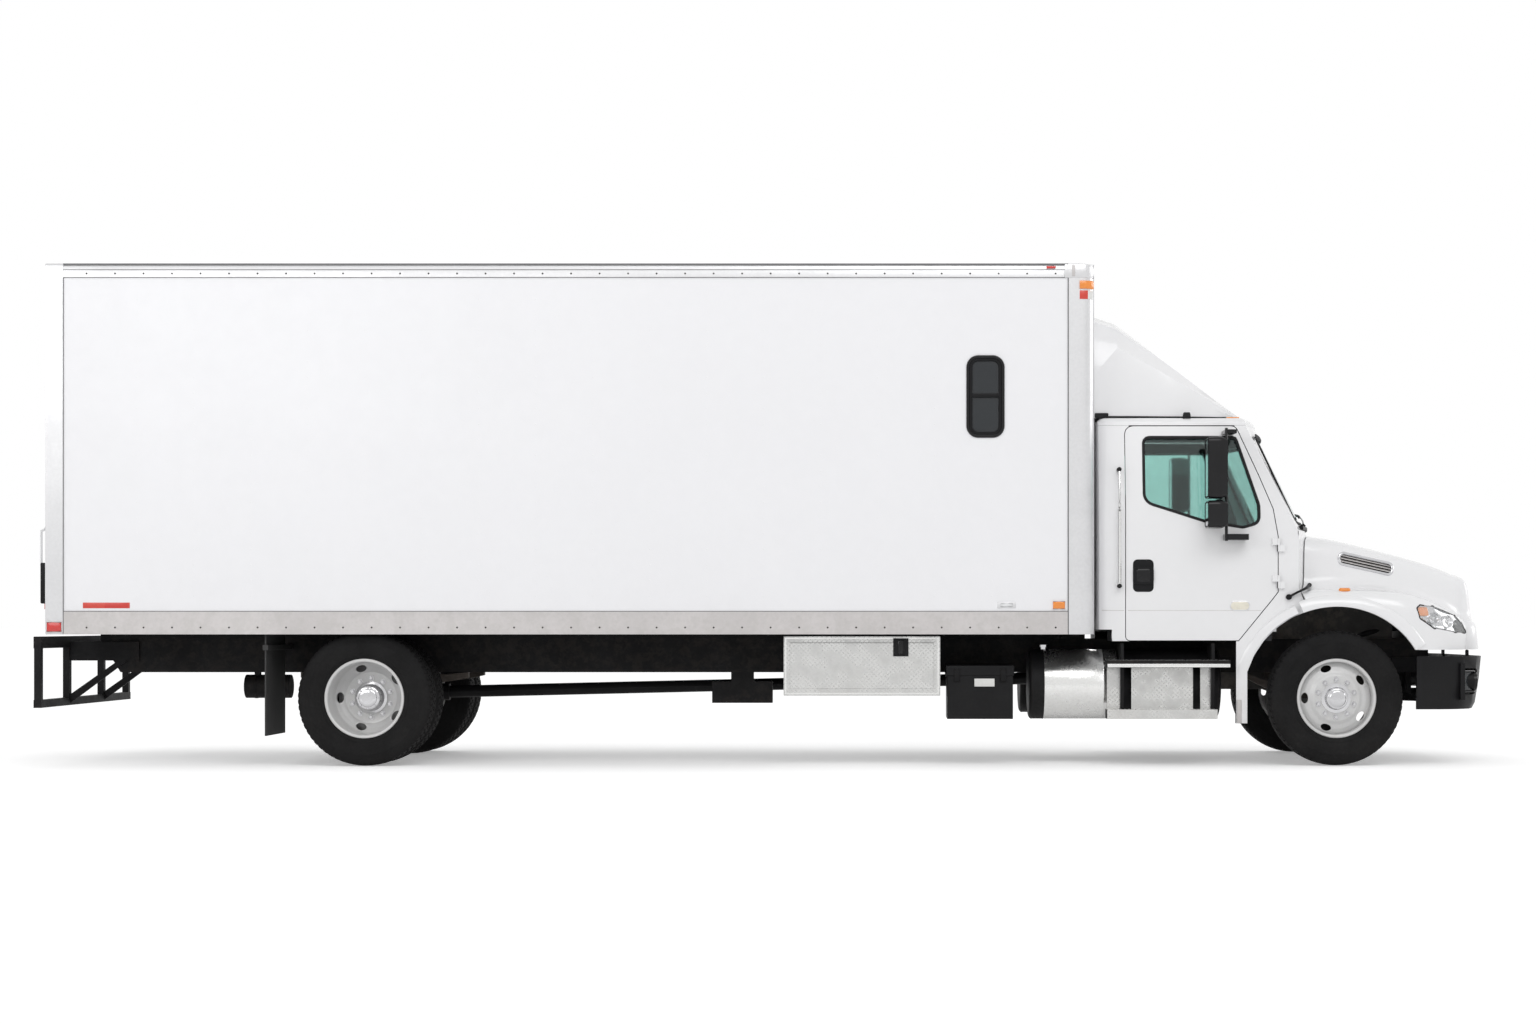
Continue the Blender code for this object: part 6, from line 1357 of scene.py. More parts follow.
class TRUCK_OT_dashboard(bpy.types.Operator):
    """Ease the dashboard and fit the cluster, vents, knobs, pedals and gear lever"""
    bl_idname = "truck.dashboard"
    bl_label = "Dashboard"

    def execute(self, context):
        eased_copy("dashboard", cabin_plastic(), 0.005, 3, smooth_below=40.0)
        form = Form()
        for y in (-0.78, -0.30, 0.17, 0.80):
            form.box((3.266, 3.285), (y - 0.065, y + 0.065), (1.660, 1.715), 1, 0.004)
            for z in np.arange(1.668, 1.712, 0.011):
                form.box((3.260, 3.270), (y - 0.058, y + 0.058), (z - 0.002, z + 0.002), 0, 0.0008)
        for y in (-0.10, -0.02, 0.06):
            form.rod((3.282, y, 1.560), (3.258, y, 1.560), 0.019, 20, 1, 0.003)
        form.box((3.268, 3.283), (-0.12, 0.08), (1.600, 1.645), 2, 0.003)
        form.box((3.268, 3.283), (-0.70, -0.36), (1.440, 1.600), 0, 0.006)
        form.tube(smooth_path(rows((3.420, 0.0, 1.060), (3.400, 0.0, 1.220), (3.340, 0.0, 1.350)), 12), 0.011, 10, 2)
        form.turned(rows((0.0, -0.020), (0.022, -0.014), (0.028, 0.0), (0.022, 0.018), (0.0, 0.026)),
                    (3.335, 0.0, 1.365), (-0.3, 0.0, 1.0), 20, 1)
        for y in (0.36, 0.48, 0.60):
            form.box((3.560, 3.572), (y - 0.035, y + 0.035), (1.120, 1.210), 1, 0.003)
            form.rod((3.566, y, 1.165), (3.660, y, 1.300), 0.008, 8, 1)
        form.build("dashboard_fittings", body_of("dashboard"), [cabin_plastic(), moulded_black(), gloss_black()])
        return {"FINISHED"}


# Hood and what sits on it

HOOD_BOTTOM = 0.882
HOOD_FRONT = 5.523
NOSE_RAKE = 0.0916
HOOD_WALL = 0.028
SEAM_GAP = 0.004
SEAM_CENTRE_X, SEAM_SIDE_X = 4.275, 4.080
SIDE_REACH = 1.30
ARCH_RADIUS, ARCH_Z = 0.700, 0.510
GRILLE_HALF = 0.500
GRILLE_LOW, GRILLE_HIGH = 0.975, 1.325
LAMP_INNER_Y = 0.700
VENT_X, VENT_Z, VENT_SLOPE = 4.642, 1.545, math.radians(-12.0)
VENT_SIZE = (0.420, 0.074, 0.030)
VENT_TURN = rows((math.cos(VENT_SLOPE), -math.sin(VENT_SLOPE)), (math.sin(VENT_SLOPE), math.cos(VENT_SLOPE)))
LEG_X = 3.685
HOOD_ROWS = rows(
    # x, top z, bonnet half-width, shoulder z, fender top z, fender half-width
    (3.960, 1.800, 0.870, 1.670, 1.330, 1.150),
    (4.400, 1.757, 0.820, 1.640, 1.345, 1.185),
    (4.700, 1.690, 0.770, 1.580, 1.340, 1.190),
    (4.960, 1.625, 0.720, 1.520, 1.300, 1.178),
    (5.150, 1.573, 0.680, 1.470, 1.235, 1.120),
    (5.300, 1.522, 0.640, 1.415, 1.165, 1.000),
    (5.400, 1.480, 0.605, 1.375, 1.110, 0.870),
)
NOSE_ROW = rows((1.425, 0.560, 1.330, 1.075, 0.740))
LAMP_OUTLINE = rows((4.961, 1.200), (4.988, 1.222), (5.098, 1.214), (5.299, 1.145), (5.361, 1.083),
                    (5.405, 1.008), (5.285, 1.014), (5.098, 1.045), (4.985, 1.121))


def eased_steps(x, table):
    """Each column of a table as a smooth curve of the first: cubic pieces with shared slopes."""
    along = table[:, 0]
    slope = np.gradient(table[:, 1:], along, axis=0)
    index = np.clip(np.searchsorted(along, x, side="right") - 1, 0, len(along) - 2)
    span = (along[index + 1] - along[index])[:, None]
    t = (np.asarray(x)[:, None] - along[index][:, None]) / span
    return ((2 * t ** 3 - 3 * t ** 2 + 1) * table[index, 1:] + (t ** 3 - 2 * t ** 2 + t) * span * slope[index]
            + (3 * t ** 2 - 2 * t ** 3) * table[index + 1, 1:] + (t ** 3 - t ** 2) * span * slope[index + 1])


def soften(path, passes):
    """A polyline whose corners are rounded by averaging each point with its neighbours."""
    path = np.array(path, float)
    for _ in range(passes):
        path[..., 1:-1, :] += 0.5 * (0.5 * (path[..., :-2, :] + path[..., 2:, :]) - path[..., 1:-1, :])
    return path


def hood_half(row, shrink=0.0, bottom=HOOD_BOTTOM):
    """Half a section from the crown down to the fender's edge, its corners eased."""
    top, bonnet, shoulder, fender_top, fender = row - shrink
    step = fender - bonnet
    points = rows((0.0, top), (bonnet * 0.50, top - 0.008), (bonnet * 0.84, top - 0.030),
                  (bonnet * 0.97, (top + shoulder) / 2), (bonnet, shoulder),
                  (bonnet + step * 0.10, fender_top + 0.060), (bonnet + step * 0.30, fender_top + 0.004),
                  (bonnet + step * 0.75, fender_top - 0.006), (bonnet + step * 0.93, fender_top - 0.045),
                  (fender, fender_top - 0.120), (fender, bottom))
    return soften(even_path(points, 96), 4)


def nose_x(z):
    """The hood's front face, leaning back as it rises."""
    return HOOD_FRONT - NOSE_RAKE * (z - HOOD_BOTTOM)


def hood_sections(shrink=0.0, drop=0.0, back=0.0, stations=54):
    """All sections of the hood as 3-D points: smooth along the length, then a quarter turn to the nose."""
    x = np.linspace(HOOD_ROWS[0, 0], HOOD_ROWS[-1, 0], stations)
    made = []
    for place, row in zip(x - back * (x == x[0]), eased_steps(x, HOOD_ROWS)):
        half = hood_half(row, shrink, HOOD_BOTTOM - drop)
        made.append(np.stack([np.full(len(half), place), half[:, 0], half[:, 1]], 1))
    last = HOOD_ROWS[-1]
    for turn in np.linspace(0.0, math.pi / 2, 10)[1:]:
        row = last[1:] + (NOSE_ROW[0] - last[1:]) * (1 - math.cos(turn))
        half = hood_half(row, shrink, HOOD_BOTTOM - drop)
        face = nose_x(half[:, 1]) - shrink
        made.append(np.stack([last[0] + (face - last[0]) * math.sin(turn), half[:, 0], half[:, 1]], 1))
    halves = np.stack(made)
    mirrored = halves[:, :0:-1] * (1.0, -1.0, 1.0)
    return np.concatenate([halves, mirrored], axis=1)


def skin_table():
    """The hood's half-width over a grid of places along it and heights."""
    x = np.linspace(HOOD_ROWS[0, 0], HOOD_ROWS[-1, 0], 120)
    z = np.linspace(HOOD_BOTTOM, 1.80, 400)
    width = [np.interp(z, half[::-1, 1], half[::-1, 0]) for half in
             (hood_half(row) for row in eased_steps(x, HOOD_ROWS))]
    return x, z, np.array(width)


SKIN = skin_table()


def hood_y(x, z):
    """How far out the hood's skin lies at a place along it and a height."""
    xs, zs, width = SKIN
    x, z = np.broadcast_arrays(np.asarray(x, float), np.asarray(z, float))
    i = np.clip((x - xs[0]) / (xs[1] - xs[0]), 0, len(xs) - 1.001)
    j = np.clip((z - zs[0]) / (zs[1] - zs[0]), 0, len(zs) - 1.001)
    a, b = i.astype(int), j.astype(int)
    u, v = i - a, j - b
    return ((width[a, b] * (1 - u) + width[a + 1, b] * u) * (1 - v)
            + (width[a, b + 1] * (1 - u) + width[a + 1, b + 1] * u) * v)


def on_skin(outline, side, out=0.0):
    """Points of a side view laid on the hood's skin and lifted off it."""
    outline = np.asarray(outline, float)
    return np.stack([outline[..., 0], side * (hood_y(outline[..., 0], outline[..., 1]) + out),
                     outline[..., 1]], -1)


def seam_x(y):
    """The seam between cowl and hood seen from above: a bow as the square of the distance from the middle."""
    return SEAM_CENTRE_X - (SEAM_CENTRE_X - SEAM_SIDE_X) * (y / CAB_Y) ** 2


def on_arch(angle, radius=ARCH_RADIUS):
    """Side-view places on a circle round the front wheel arch's middle."""
    return np.stack([FRONT_X + radius * np.cos(angle), ARCH_Z + radius * np.sin(angle)], 1)


def cab_side_outline(grow):
    """The cab's side ahead of the door, as a cutter for the hood."""
    arch = on_arch(np.linspace(math.acos((LEG_X - FRONT_X) / ARCH_RADIUS),
                               math.acos((SEAM_SIDE_X + 0.068 - FRONT_X) / ARCH_RADIUS), 24))
    rest = rows((SEAM_SIDE_X - SEAM_GAP, 1.360), (SEAM_SIDE_X - SEAM_GAP, 2.000), (3.600, 2.000), (3.600, 0.320),
                (LEG_X, 0.320))
    return outward(np.vstack([arch, rest]), grow)


def vent_outline(length, height, radius):
    """A rounded opening set at the vent's slope."""
    flat = rectangle((-length / 2, length / 2), (-height / 2, height / 2), radius, 8)
    return flat @ VENT_TURN.T + (VENT_X, VENT_Z)


def lamp_outline(steps):
    """The headlamp's opening in the side view, its corners rounded."""
    return rounded(LAMP_OUTLINE[::-1], 0.012, steps)


def hood_shell():
    """The hood and fenders: smooth skin, even wall, and the openings for wheels, lamps, vents and grille."""
    shell = Form().loops(list(hood_sections())).build("hood_shell", body_of("hood"), truck_white(), ("hood",))
    cutters = [cutter(Form().loops(list(hood_sections(HOOD_WALL, 0.10, 0.10, 20))))]
    seam = [(seam_x(y) + SEAM_GAP, y) for y in np.linspace(-CAB_Y, CAB_Y, 33)]
    seam = [(SEAM_SIDE_X + SEAM_GAP, -SIDE_REACH), *seam, (SEAM_SIDE_X + SEAM_GAP, SIDE_REACH)]
    block = Form().loops([rows((x, y, 0.6), (x, y, 2.6), (2.6, y, 2.6), (2.6, y, 0.6)) for x, y in seam])
    cutters.append(cutter(block))
    arch = on_arch(np.linspace(0.0, TURN, 128, endpoint=False))
    cutters.append(cutter(Form().prism(arch, "xz", (-SIDE_REACH, SIDE_REACH))))
    opening = Form().prism(rectangle((-GRILLE_HALF, GRILLE_HALF), (GRILLE_LOW, GRILLE_HIGH), 0.035, 8), "yz",
                           (5.36, 5.60))
    cutters.append(cutter(opening))
    for side in SIDES.values():
        for outline, near, far in ((cab_side_outline(0.006), 0.98, SIDE_REACH),
                                   (LAMP_OUTLINE, LAMP_INNER_Y, SIDE_REACH),
                                   (vent_outline(*VENT_SIZE), 0.62, 0.95)):
            cutters.append(cutter(Form().prism(outline, "xz", (side * near, side * far))))
    cut_out(shell, *cutters)
    smooth(shell.data, 32.0)


def hood_trim():
    """What sits on the hood: fender lips, vent rims with louvres, side markers and lamp gaskets."""
    trim = Form()
    for side in SIDES.values():
        def lay(outline, out):
            return on_skin(outline, side, out)
        angle = np.linspace(math.radians(32.0), math.radians(111.5), 70)
        lines = [lay(on_arch(angle, radius), out) for radius, out in (
            (0.703, -0.006), (0.701, 0.014), (0.712, 0.019), (0.745, 0.018), (0.775, 0.013), (0.790, 0.005),
            (0.793, -0.004))]
        trim.grid(np.stack(lines), wrap_u=True, slot=0)
        for index in (0, -1):
            ring = np.stack([line[index] for line in lines])
            trim.grid(np.stack([ring, np.broadcast_to(ring.mean(0), ring.shape)]), wrap_v=True, slot=0)
        ring_on(trim, vent_outline(*VENT_SIZE), lay, (
            (-0.003, -0.012), (-0.002, 0.004), (0.003, 0.008), (0.012, 0.008), (0.017, 0.004), (0.019, -0.003),
            (-0.003, -0.004)), 1)
        for height in (-0.022, 0.0, 0.022):
            line = np.stack([np.linspace(-0.205, 0.205, 18), np.full(18, height)], 1) @ VENT_TURN.T
            rings = [lay(line + (VENT_X, VENT_Z + dz), out) for dz, out in
                     ((-0.003, -0.004), (0.002, -0.004), (0.012, -0.022), (0.007, -0.022))]
            trim.loops(list(np.stack(rings, axis=1)), 2)
        back = vent_outline(0.430, 0.080, 0.032)
        trim.loops([lay(back, -0.024), lay(back, -0.027)], 3)
        marker = rectangle((-0.045, 0.045), (-0.016, 0.016), 0.0155, 8)
        middle = np.array([4.4255, side * (float(hood_y(4.4255, 1.330)) - 0.012), 1.338])
        level = np.sin(np.linspace(-math.pi / 2, math.pi / 2, 12))
        trim.loops([middle + set_in(marker * math.sqrt(1.0 - 0.96 * up * up), "xz", side * 0.026 * up)
                    for up in level], 4)
        ring_on(trim, lamp_outline(4), lay,
                ((-0.003, -0.008), (-0.002, 0.002), (0.004, 0.004), (0.009, -0.003), (-0.003, -0.004)), 3)
    finishes = [truck_white(), chrome(), rail_grey(), moulded_black(), amber_lens()]
    trim.build("hood_trim", body_of("hood"), finishes, angle=40.0)


def headlamp_form(side):
    """A headlamp: a bright bowl behind its opening, two round reflectors, an amber end and a dark corner."""
    rim = outward(lamp_outline(5), -0.0008)
    form = Form()
    floor = outward(rim, -0.004)
    middle = floor.mean(0)
    rings = [on_skin(rim, side, -0.006), on_skin(floor, side, -0.014)]
    for share in (0.86, 0.66, 0.44, 0.22):
        line = middle + (floor - middle) * share
        rings.append(on_skin(line, side, -0.014 - 0.055 * (1 - share) ** 0.6 * 0.55))
    form.loops(rings, 0, (False, True))
    form.loops([on_skin(rim, side, -0.006), on_skin(rim, side, -0.070)], 0, (False, True))
    for x, z, radius in ((5.225, 1.098, 0.046), (5.105, 1.124, 0.040)):
        y = float(hood_y(x, z))
        bowl = [(radius * r, -0.046 + 0.034 * r * r) for r in (0.0, 0.2, 0.4, 0.6, 0.8, 1.0)]
        bowl += [(radius * 1.05, -0.011), (radius * 1.06, -0.050)]
        place, beam = (x, side * y, z), (0.35, side, 0.05)
        form.turned(rows(*bowl), place, beam, 40, 0)
        form.turned(rows((0.0, -0.018), (0.009, -0.021), (0.012, -0.030), (0.012, -0.046)), place, beam, 20, 2)
    amber = rectangle((4.972, 5.052), (1.140, 1.208), 0.016, 6)
    amber[:, 0] += 0.15 * (1.17 - amber[:, 1])
    form.loops([on_skin(amber, side, -0.030), on_skin(amber, side, -0.012),
                on_skin(outward(amber, -0.006), side, -0.008)], 1)
    dark = rows((5.292, 1.060), (5.310, 1.026), (5.382, 1.022), (5.345, 1.080), (5.300, 1.120))
    dark = rounded(dark, 0.008, 4)
    form.loops([on_skin(dark, side, -0.030), on_skin(dark, side, -0.012)], 3)
    return form


def headlamp_cover(side):
    """The lamp's clear cover, crowned a little over the skin."""
    rim = outward(lamp_outline(5), -0.0012)
    middle = rim.mean(0)

    def ring(share, sunk):
        return on_skin(middle + (rim - middle) * share, side, 0.004 * (1 - share ** 4) - sunk)
    back = [ring(share, 0.004) for share in (0.12, 0.50, 0.86, 1.0)]
    front = [ring(share, 0.0) for share in (1.0, 0.97, 0.86, 0.70, 0.50, 0.30, 0.12)]
    return Form().loops(back + front)


def grille_form():
    """The grille: a bright surround, six bars of drop section and two uprights on the leaning nose."""
    form = Form()

    def on_nose(outline, out):
        return np.stack([nose_x(outline[:, 1]) + out, outline[:, 0], outline[:, 1]], 1)
    hole = rectangle((-GRILLE_HALF + 0.001, GRILLE_HALF - 0.001), (GRILLE_LOW + 0.001, GRILLE_HIGH - 0.001), 0.034, 8)
    lines = [(0.000, -0.034), (0.000, -0.001), (0.014, 0.000), (0.017, 0.005), (0.014, 0.010), (0.002, 0.013),
             (-0.016, 0.012), (-0.026, 0.006), (-0.030, -0.006), (-0.030, -0.034)]
    form.grid(np.stack([on_nose(outward(hole, grow), out) for grow, out in lines]), wrap_u=True, wrap_v=True, slot=0)
    pitch = (GRILLE_HIGH - GRILLE_LOW - 0.030) / 7
    for index in range(1, 7):
        z = GRILLE_LOW + 0.015 + index * pitch
        y = np.linspace(-GRILLE_HALF + 0.022, GRILLE_HALF - 0.022, 25)
        rings = []
        for dz, out in ((0.0, 0.001), (0.0065, -0.006), (0.0070, -0.016), (0.0040, -0.028), (-0.0040, -0.028),
                        (-0.0070, -0.016), (-0.0065, -0.006)):
            bow = 0.004 * (1 - (y / GRILLE_HALF) ** 2)
            rings.append(np.stack([nose_x(z + dz) + out + bow, y, np.full(len(y), z + dz)], 1))
        form.loops(list(np.stack(rings, axis=1)), 1)
    for y in (-GRILLE_HALF / 3, GRILLE_HALF / 3):
        edge = [(y - 0.007, -0.010), (y + 0.007, -0.010), (y + 0.007, -0.032), (y - 0.007, -0.032)]
        rings = []
        for z in np.linspace(GRILLE_LOW + 0.016, GRILLE_HIGH - 0.016, 12):
            rings.append([(nose_x(z) + out, side, z) for side, out in edge])
        form.loops([np.array(ring) for ring in rings], 2)
    return form


def hood_straps():
    """The rubber latch straps that hold the hood's rear corners, each with its two brackets."""
    form = Form()
    for side in SIDES.values():
        path = rows((4.012, 1.292), (4.060, 1.318), (4.120, 1.348), (4.186, 1.378))
        y = np.array([CAB_Y + 0.020, CAB_Y + 0.030, 1.120, float(hood_y(4.19, 1.378)) + 0.012])
        line = smooth_path(np.stack([path[:, 0], side * y, path[:, 1]], 1), 24)
        form.tube(line, 0.0150, 12, 0, squash=0.6)
        form.rod((3.999, side * (CAB_Y + 0.001), 1.284), (3.999, side * (CAB_Y + 0.034), 1.284), 0.022, 20, 1)
        end = line[-1]
        form.rod(end + (0.0, -side * 0.016, 0.0), end + (0.0, side * 0.010, 0.0), 0.016, 16, 1)
    return form


class TRUCK_OT_hood(bpy.types.Operator):
    """Shape the hood with its openings, mouldings, straps and side markers, and the grille"""
    bl_idname = "truck.hood"
    bl_label = "Hood"

    def execute(self, context):
        hood_shell()
        hood_trim()
        hood_straps().build("hood_straps", body_of("hood"), [seal_rubber(), moulded_black()])
        grille_form().build("grille_bars", body_of("grille"), [chrome(), moulded_black(), moulded_black()],
                            ("grille",), angle=40.0)
        return {"FINISHED"}


class TRUCK_OT_headlamps(bpy.types.Operator):
    """Make the headlamps with reflectors, amber ends and clear covers"""
    bl_idname = "truck.headlamps"
    bl_label = "Headlamps"

    def execute(self, context):
        for word, side in SIDES.items():
            name = f"headlamp_{word}"
            finishes = [chrome(), amber_lens(), clear_lens(), moulded_black()]
            headlamp_form(side).build(name + "_bowl", body_of(name), finishes, (name,), angle=30.0)
            headlamp_cover(side).build(name + "_cover", body_of(name), cover_glass(), angle=40.0)
        return {"FINISHED"}


# Frame, driveline and equipment under the body

# From the bead at "steps" forward, the tank's shell is painted black as the shade of the steps.
TANK = {"x": (2.029, 3.500), "radius": 0.271, "y": 0.735, "z": 0.614, "sleeve": 2.142, "steps": 2.700}
STEP_SPANS = (((2.607, 3.544), (1.000, 1.190), 0.804), ((2.607, 3.444), (1.020, 1.200), 0.430))


def domes(places, radius, height, axis):
    """Small round heads at places, each a quarter arc turned about an axis: r = R cos a, h = H sin a."""
    angle = np.linspace(0.0, math.pi / 2, 4)
    head = Form().turned(np.stack([radius * np.cos(angle), height * np.sin(angle)], 1), (0, 0, 0), axis, 8)
    return Form().copies(head, places)


def lattice(x, y, z):
    """All places of a lattice of three rows of numbers."""
    return np.stack(np.meshgrid(x, y, z, indexing="ij"), -1).reshape(-1, 3)


def fuel_tank(side):
    """A rolled tank: quarter-ellipse domed ends, weld beads, a black sleeve at its rear end and a filler; ahead of
    the last bead the shell is black as painted shade of the steps.
    """
    low, high = TANK["x"]
    radius, dome = TANK["radius"], 0.028
    turn = np.linspace(0.0, math.pi / 2, 7)
    start = np.stack([radius - 0.040 * (1 - np.sin(turn)), dome * (1 - np.cos(turn))], 1)
    start = np.vstack([[(0.0, 0.0), (radius - 0.060, 0.0)], start])
    beads = np.array([TANK["sleeve"], 2.598, TANK["steps"]])
    rise = [point for x in beads for point in ((radius - 0.0015, x - low - 0.006), (radius, x - low - 0.003),
                                               (radius, x - low + 0.003), (radius - 0.0015, x - low + 0.006))]
    end = start[::-1] * (1.0, -1.0) + (0.0, high - low)
    profile = np.vstack([start, [(radius - 0.0015, dome + 0.002)], rise, [(radius - 0.0015, high - low - dome)], end])
    centre = (low, side * TANK["y"], TANK["z"])
    cut = len(start) + 3
    last = len(start) + 1 + len(rise) - 2
    form = Form()
    # Black from the rear end to the sleeve's bead, bright to the last bead, then black again: painted shade where the
    # steps stand outboard of the tank.
    for part, slot in ((profile[:cut + 1], 1), (profile[cut:last + 1], 0), (profile[last:], 1)):
        form.turned(part, centre, (1, 0, 0), 48, slot)
    up = radius + 0.020
    neck = (low + 0.120, side * TANK["y"], TANK["z"])
    form.turned(rows((0.030, radius - 0.01), (0.030, up - 0.006), (0.040, up - 0.006), (0.040, up + 0.012),
                     (0.036, up + 0.016), (0.0, up + 0.016)), neck, (0, 0, 1), 24, 2)
    return form


def step_grip(side):
    """Raised studs over both treads and a bright nosing along the upper one."""
    form = Form()
    for x, y, top in STEP_SPANS:
        along = np.arange(x[0] + 0.030, x[1] - 0.020, 0.032)
        across = side * np.arange(y[0] + 0.025, y[1] - 0.015, 0.032)
        studs = domes(lattice(along, across, [top]), 0.009, 0.0022, (0, 0, 1))
        form.copies(studs, [(0.0, 0.0, 0.0)])
    form.box((2.610, 3.541), span_on(side, 1.1885, 1.1925), (0.750, 0.776), 0, 0.001)
    return form


class TRUCK_OT_running_gear(bpy.types.Operator):
    """Finish the frame, axles, springs, engine, driveline and steering"""
    bl_idname = "truck.running_gear"
    bl_label = "Frame and driveline"

    def execute(self, context):
        black, cast = chassis_black(), cast_steel()
        for node in ("chassis_frame", "drive_shaft", "tie_rod", "radiator"):
            eased_copy(node, black, 0.002)
        for node in ("engine", "knuckle_right", "knuckle_left"):
            eased_copy(node, cast, 0.004)
        for node in ("front_axle", "rear_axle"):
            eased_copy(node, [cast, leaf_steel()], 0.002,
                       choose=lambda middle, normal: int(abs(abs(middle.y) - 0.390) < 0.045))
        form = Form()
        for x in np.arange(3.10, 4.40, 0.21):
            form.box((x, x + 0.15), (-0.16, 0.10), (1.392, 1.440), 0, 0.010)
        for radius, *path in (
                (0.032, (4.45, 0.28, 1.20), (4.65, 0.30, 1.26), (4.86, 0.30, 1.24), (5.035, 0.28, 1.22)),
                (0.030, (4.50, -0.26, 0.92), (4.72, -0.30, 1.00), (4.90, -0.28, 1.04), (5.035, -0.26, 1.06))):
            form.tube(smooth_path(path, 20), radius, 12, 1)
        form.rod((4.935, 0.0, 1.13), (4.975, 0.0, 1.13), 0.07, 20, 0)
        blade = rows((0.05, -0.03, 0.0), (0.05, 0.03, 0.014), (0.165, 0.055, 0.020), (0.165, -0.035, -0.004))
        for angle in np.arange(0.0, TURN, TURN / 8):
            turned = np.stack([4.958 + blade[:, 2], blade[:, 0] * np.cos(angle) - blade[:, 1] * np.sin(angle),
                               1.13 + blade[:, 0] * np.sin(angle) + blade[:, 1] * np.cos(angle)], 1)
            form.loops([turned, turned + (0.004, 0.0, 0.0)], 1)
        form.build("engine_dress", body_of("engine"), [cast, moulded_black()])
        return {"FINISHED"}


class TRUCK_OT_equipment(bpy.types.Operator):
    """Dress the tanks, steps, battery box, tool locker, air tank, mud flaps and rear guard"""
    bl_idname = "truck.equipment"
    bl_label = "Tanks, steps and boxes"

    def execute(self, context):
        black, bright, plate = chassis_black(), bright_aluminium(), tread_plate_aluminium()
        chassis = body_of("chassis_frame")
        for name, side in SIDES.items():
            fuel_tank(side).build("fuel_tank_shell_" + name, chassis, [bright, black, chrome()],
                                  ("fuel_tank_" + name,))

            def step_finish(middle, normal):
                if abs(middle.y) < 1.005 or min(abs(middle.x - 2.729), abs(middle.x - 3.420)) < 0.014:
                    return 0
                if middle.z > 0.740:
                    return 2 if normal.z > 0.5 else 0
                return 2 if abs(normal.y) > 0.5 or normal.z > 0.5 else 0
            eased_copy("step_" + name, [black, bright, plate], 0.002, choose=step_finish)
            step_grip(side).build("step_grip_" + name, chassis, bright)
            eased_copy("mud_flap_" + name, flap_rubber(), 0.0015)
        eased_copy("battery_box", moulded_black(), 0.009, 3)
        eased_copy("toolbox", [plate, black], 0.003, choose=lambda middle, normal: int(abs(middle.y) < 0.62))
        eased_copy("toolbox_door", [plate, moulded_black()], 0.0025, choose=lambda middle, normal: int(
            middle.y < -1.1893 and 0.98 < middle.x < 1.105 and middle.z > 0.83))
        eased_copy("air_tank", black, 0.004)
        eased_copy("rear_guard", black, 0.004)
        Form().box((2.308, 2.490), (-0.500, 0.500), (0.962, 0.9985), 0, 0.002).build("body_packer", chassis, black)
        label = Form().box((1.604, 1.757), (-1.0916, -1.0898), (0.602, 0.662), 0, 0.0006)
        label.build("battery_label", chassis, label_white())
        latch = Form()
        for x in (1.470, 1.824):
            latch.box((x - 0.022, x + 0.022), (-1.1060, -1.0995), (0.640, 0.735), 0, 0.003)
        for x in (-4.04, -3.85):
            latch.turned(rows((0.0915, -0.011), (0.0950, -0.010), (0.0950, 0.010), (0.0915, 0.011)),
                         (x, -0.385, 0.5865), (1, 0, 0), 40, 0, True)
        latch.build("straps_and_latches", chassis, black)
        locker = Form()
        outer = rectangle((0.163, 1.332), (0.544, 0.976), 0.004, 3)
        inner = rectangle((0.175, 1.320), (0.556, 0.964), 0.004, 3)
        locker.loops([set_in(line, "xz", y) for line, y in (
            (outer, -1.1790), (outer, -1.1826), (inner, -1.1826), (inner, -1.1790))], 0, (False, False))
        locker.box((1.020, 1.064), (-1.2075, -1.2010), (0.850, 0.955), 1, 0.003)
        locker.build("locker_trim", body_of("toolbox_door"), [bright, gloss_black()])
        return {"FINISHED"}


def on_bumper(outline, side, out):
    """A side outline laid on the bumper's bent-back end, sunk or proud along its slope."""
    x, z = np.asarray(outline, float).T
    share = (x - 4.961) / 0.566
    drawn_in = np.interp(share, (0.0, 0.35, 0.62, 0.84, 0.96, 1.0), (0.0, 0.010, 0.060, 0.170, 0.340, 0.520))
    return np.stack([x + 0.60 * out, side * (1.165 - drawn_in + 0.80 * out), z], 1)


class TRUCK_OT_bumper(bpy.types.Operator):
    """Shape the bumper's skin, its side lamps and fog lamps"""
    bl_idname = "truck.bumper"
    bl_label = "Bumper"

    def execute(self, context):
        def finish(middle, normal):
            ring = math.hypot(abs(middle.y) - 0.960, middle.z - 0.640)
            return 1 if ring < 0.070 and normal.x > 0.6 and middle.x > 5.40 else 0
        eased_copy("bumper", [moulded_black(), clear_lens()], 0.005, 3, choose=finish)
        form = Form()
        for side in SIDES.values():
            def lay(line, out):
                return on_bumper(line, side, out)
            outline = rectangle((5.318, 5.452), (0.556, 0.724), 0.020, 5)
            outline = even_path(outline, 80, True)
            ring_on(form, outline, lay, ((0.0, -0.030), (0.0, 0.001), (-0.004, 0.003), (-0.012, 0.003),
                                         (-0.016, -0.004), (-0.016, -0.030)), 1)
            form.loops([lay(outward(outline, -0.014), out) for out in (-0.030, -0.012)], 2)
            form.turned(rows((0.076, -0.010), (0.076, 0.012), (0.072, 0.016), (0.066, 0.012), (0.066, -0.010)),
                        (5.438, side * 0.960, 0.640), (1, 0, 0), 32, 1, True)
        form.build("bumper_trim", body_of("bumper"), [moulded_black(), gloss_black(), dark_glass()])
        return {"FINISHED"}


# Van body

SKIN_Y, RAIL_Y = 1.289, 1.295
BODY_REAR = -5.276
POST = {"start": 2.305, "bend": 2.408, "radius": 0.100}


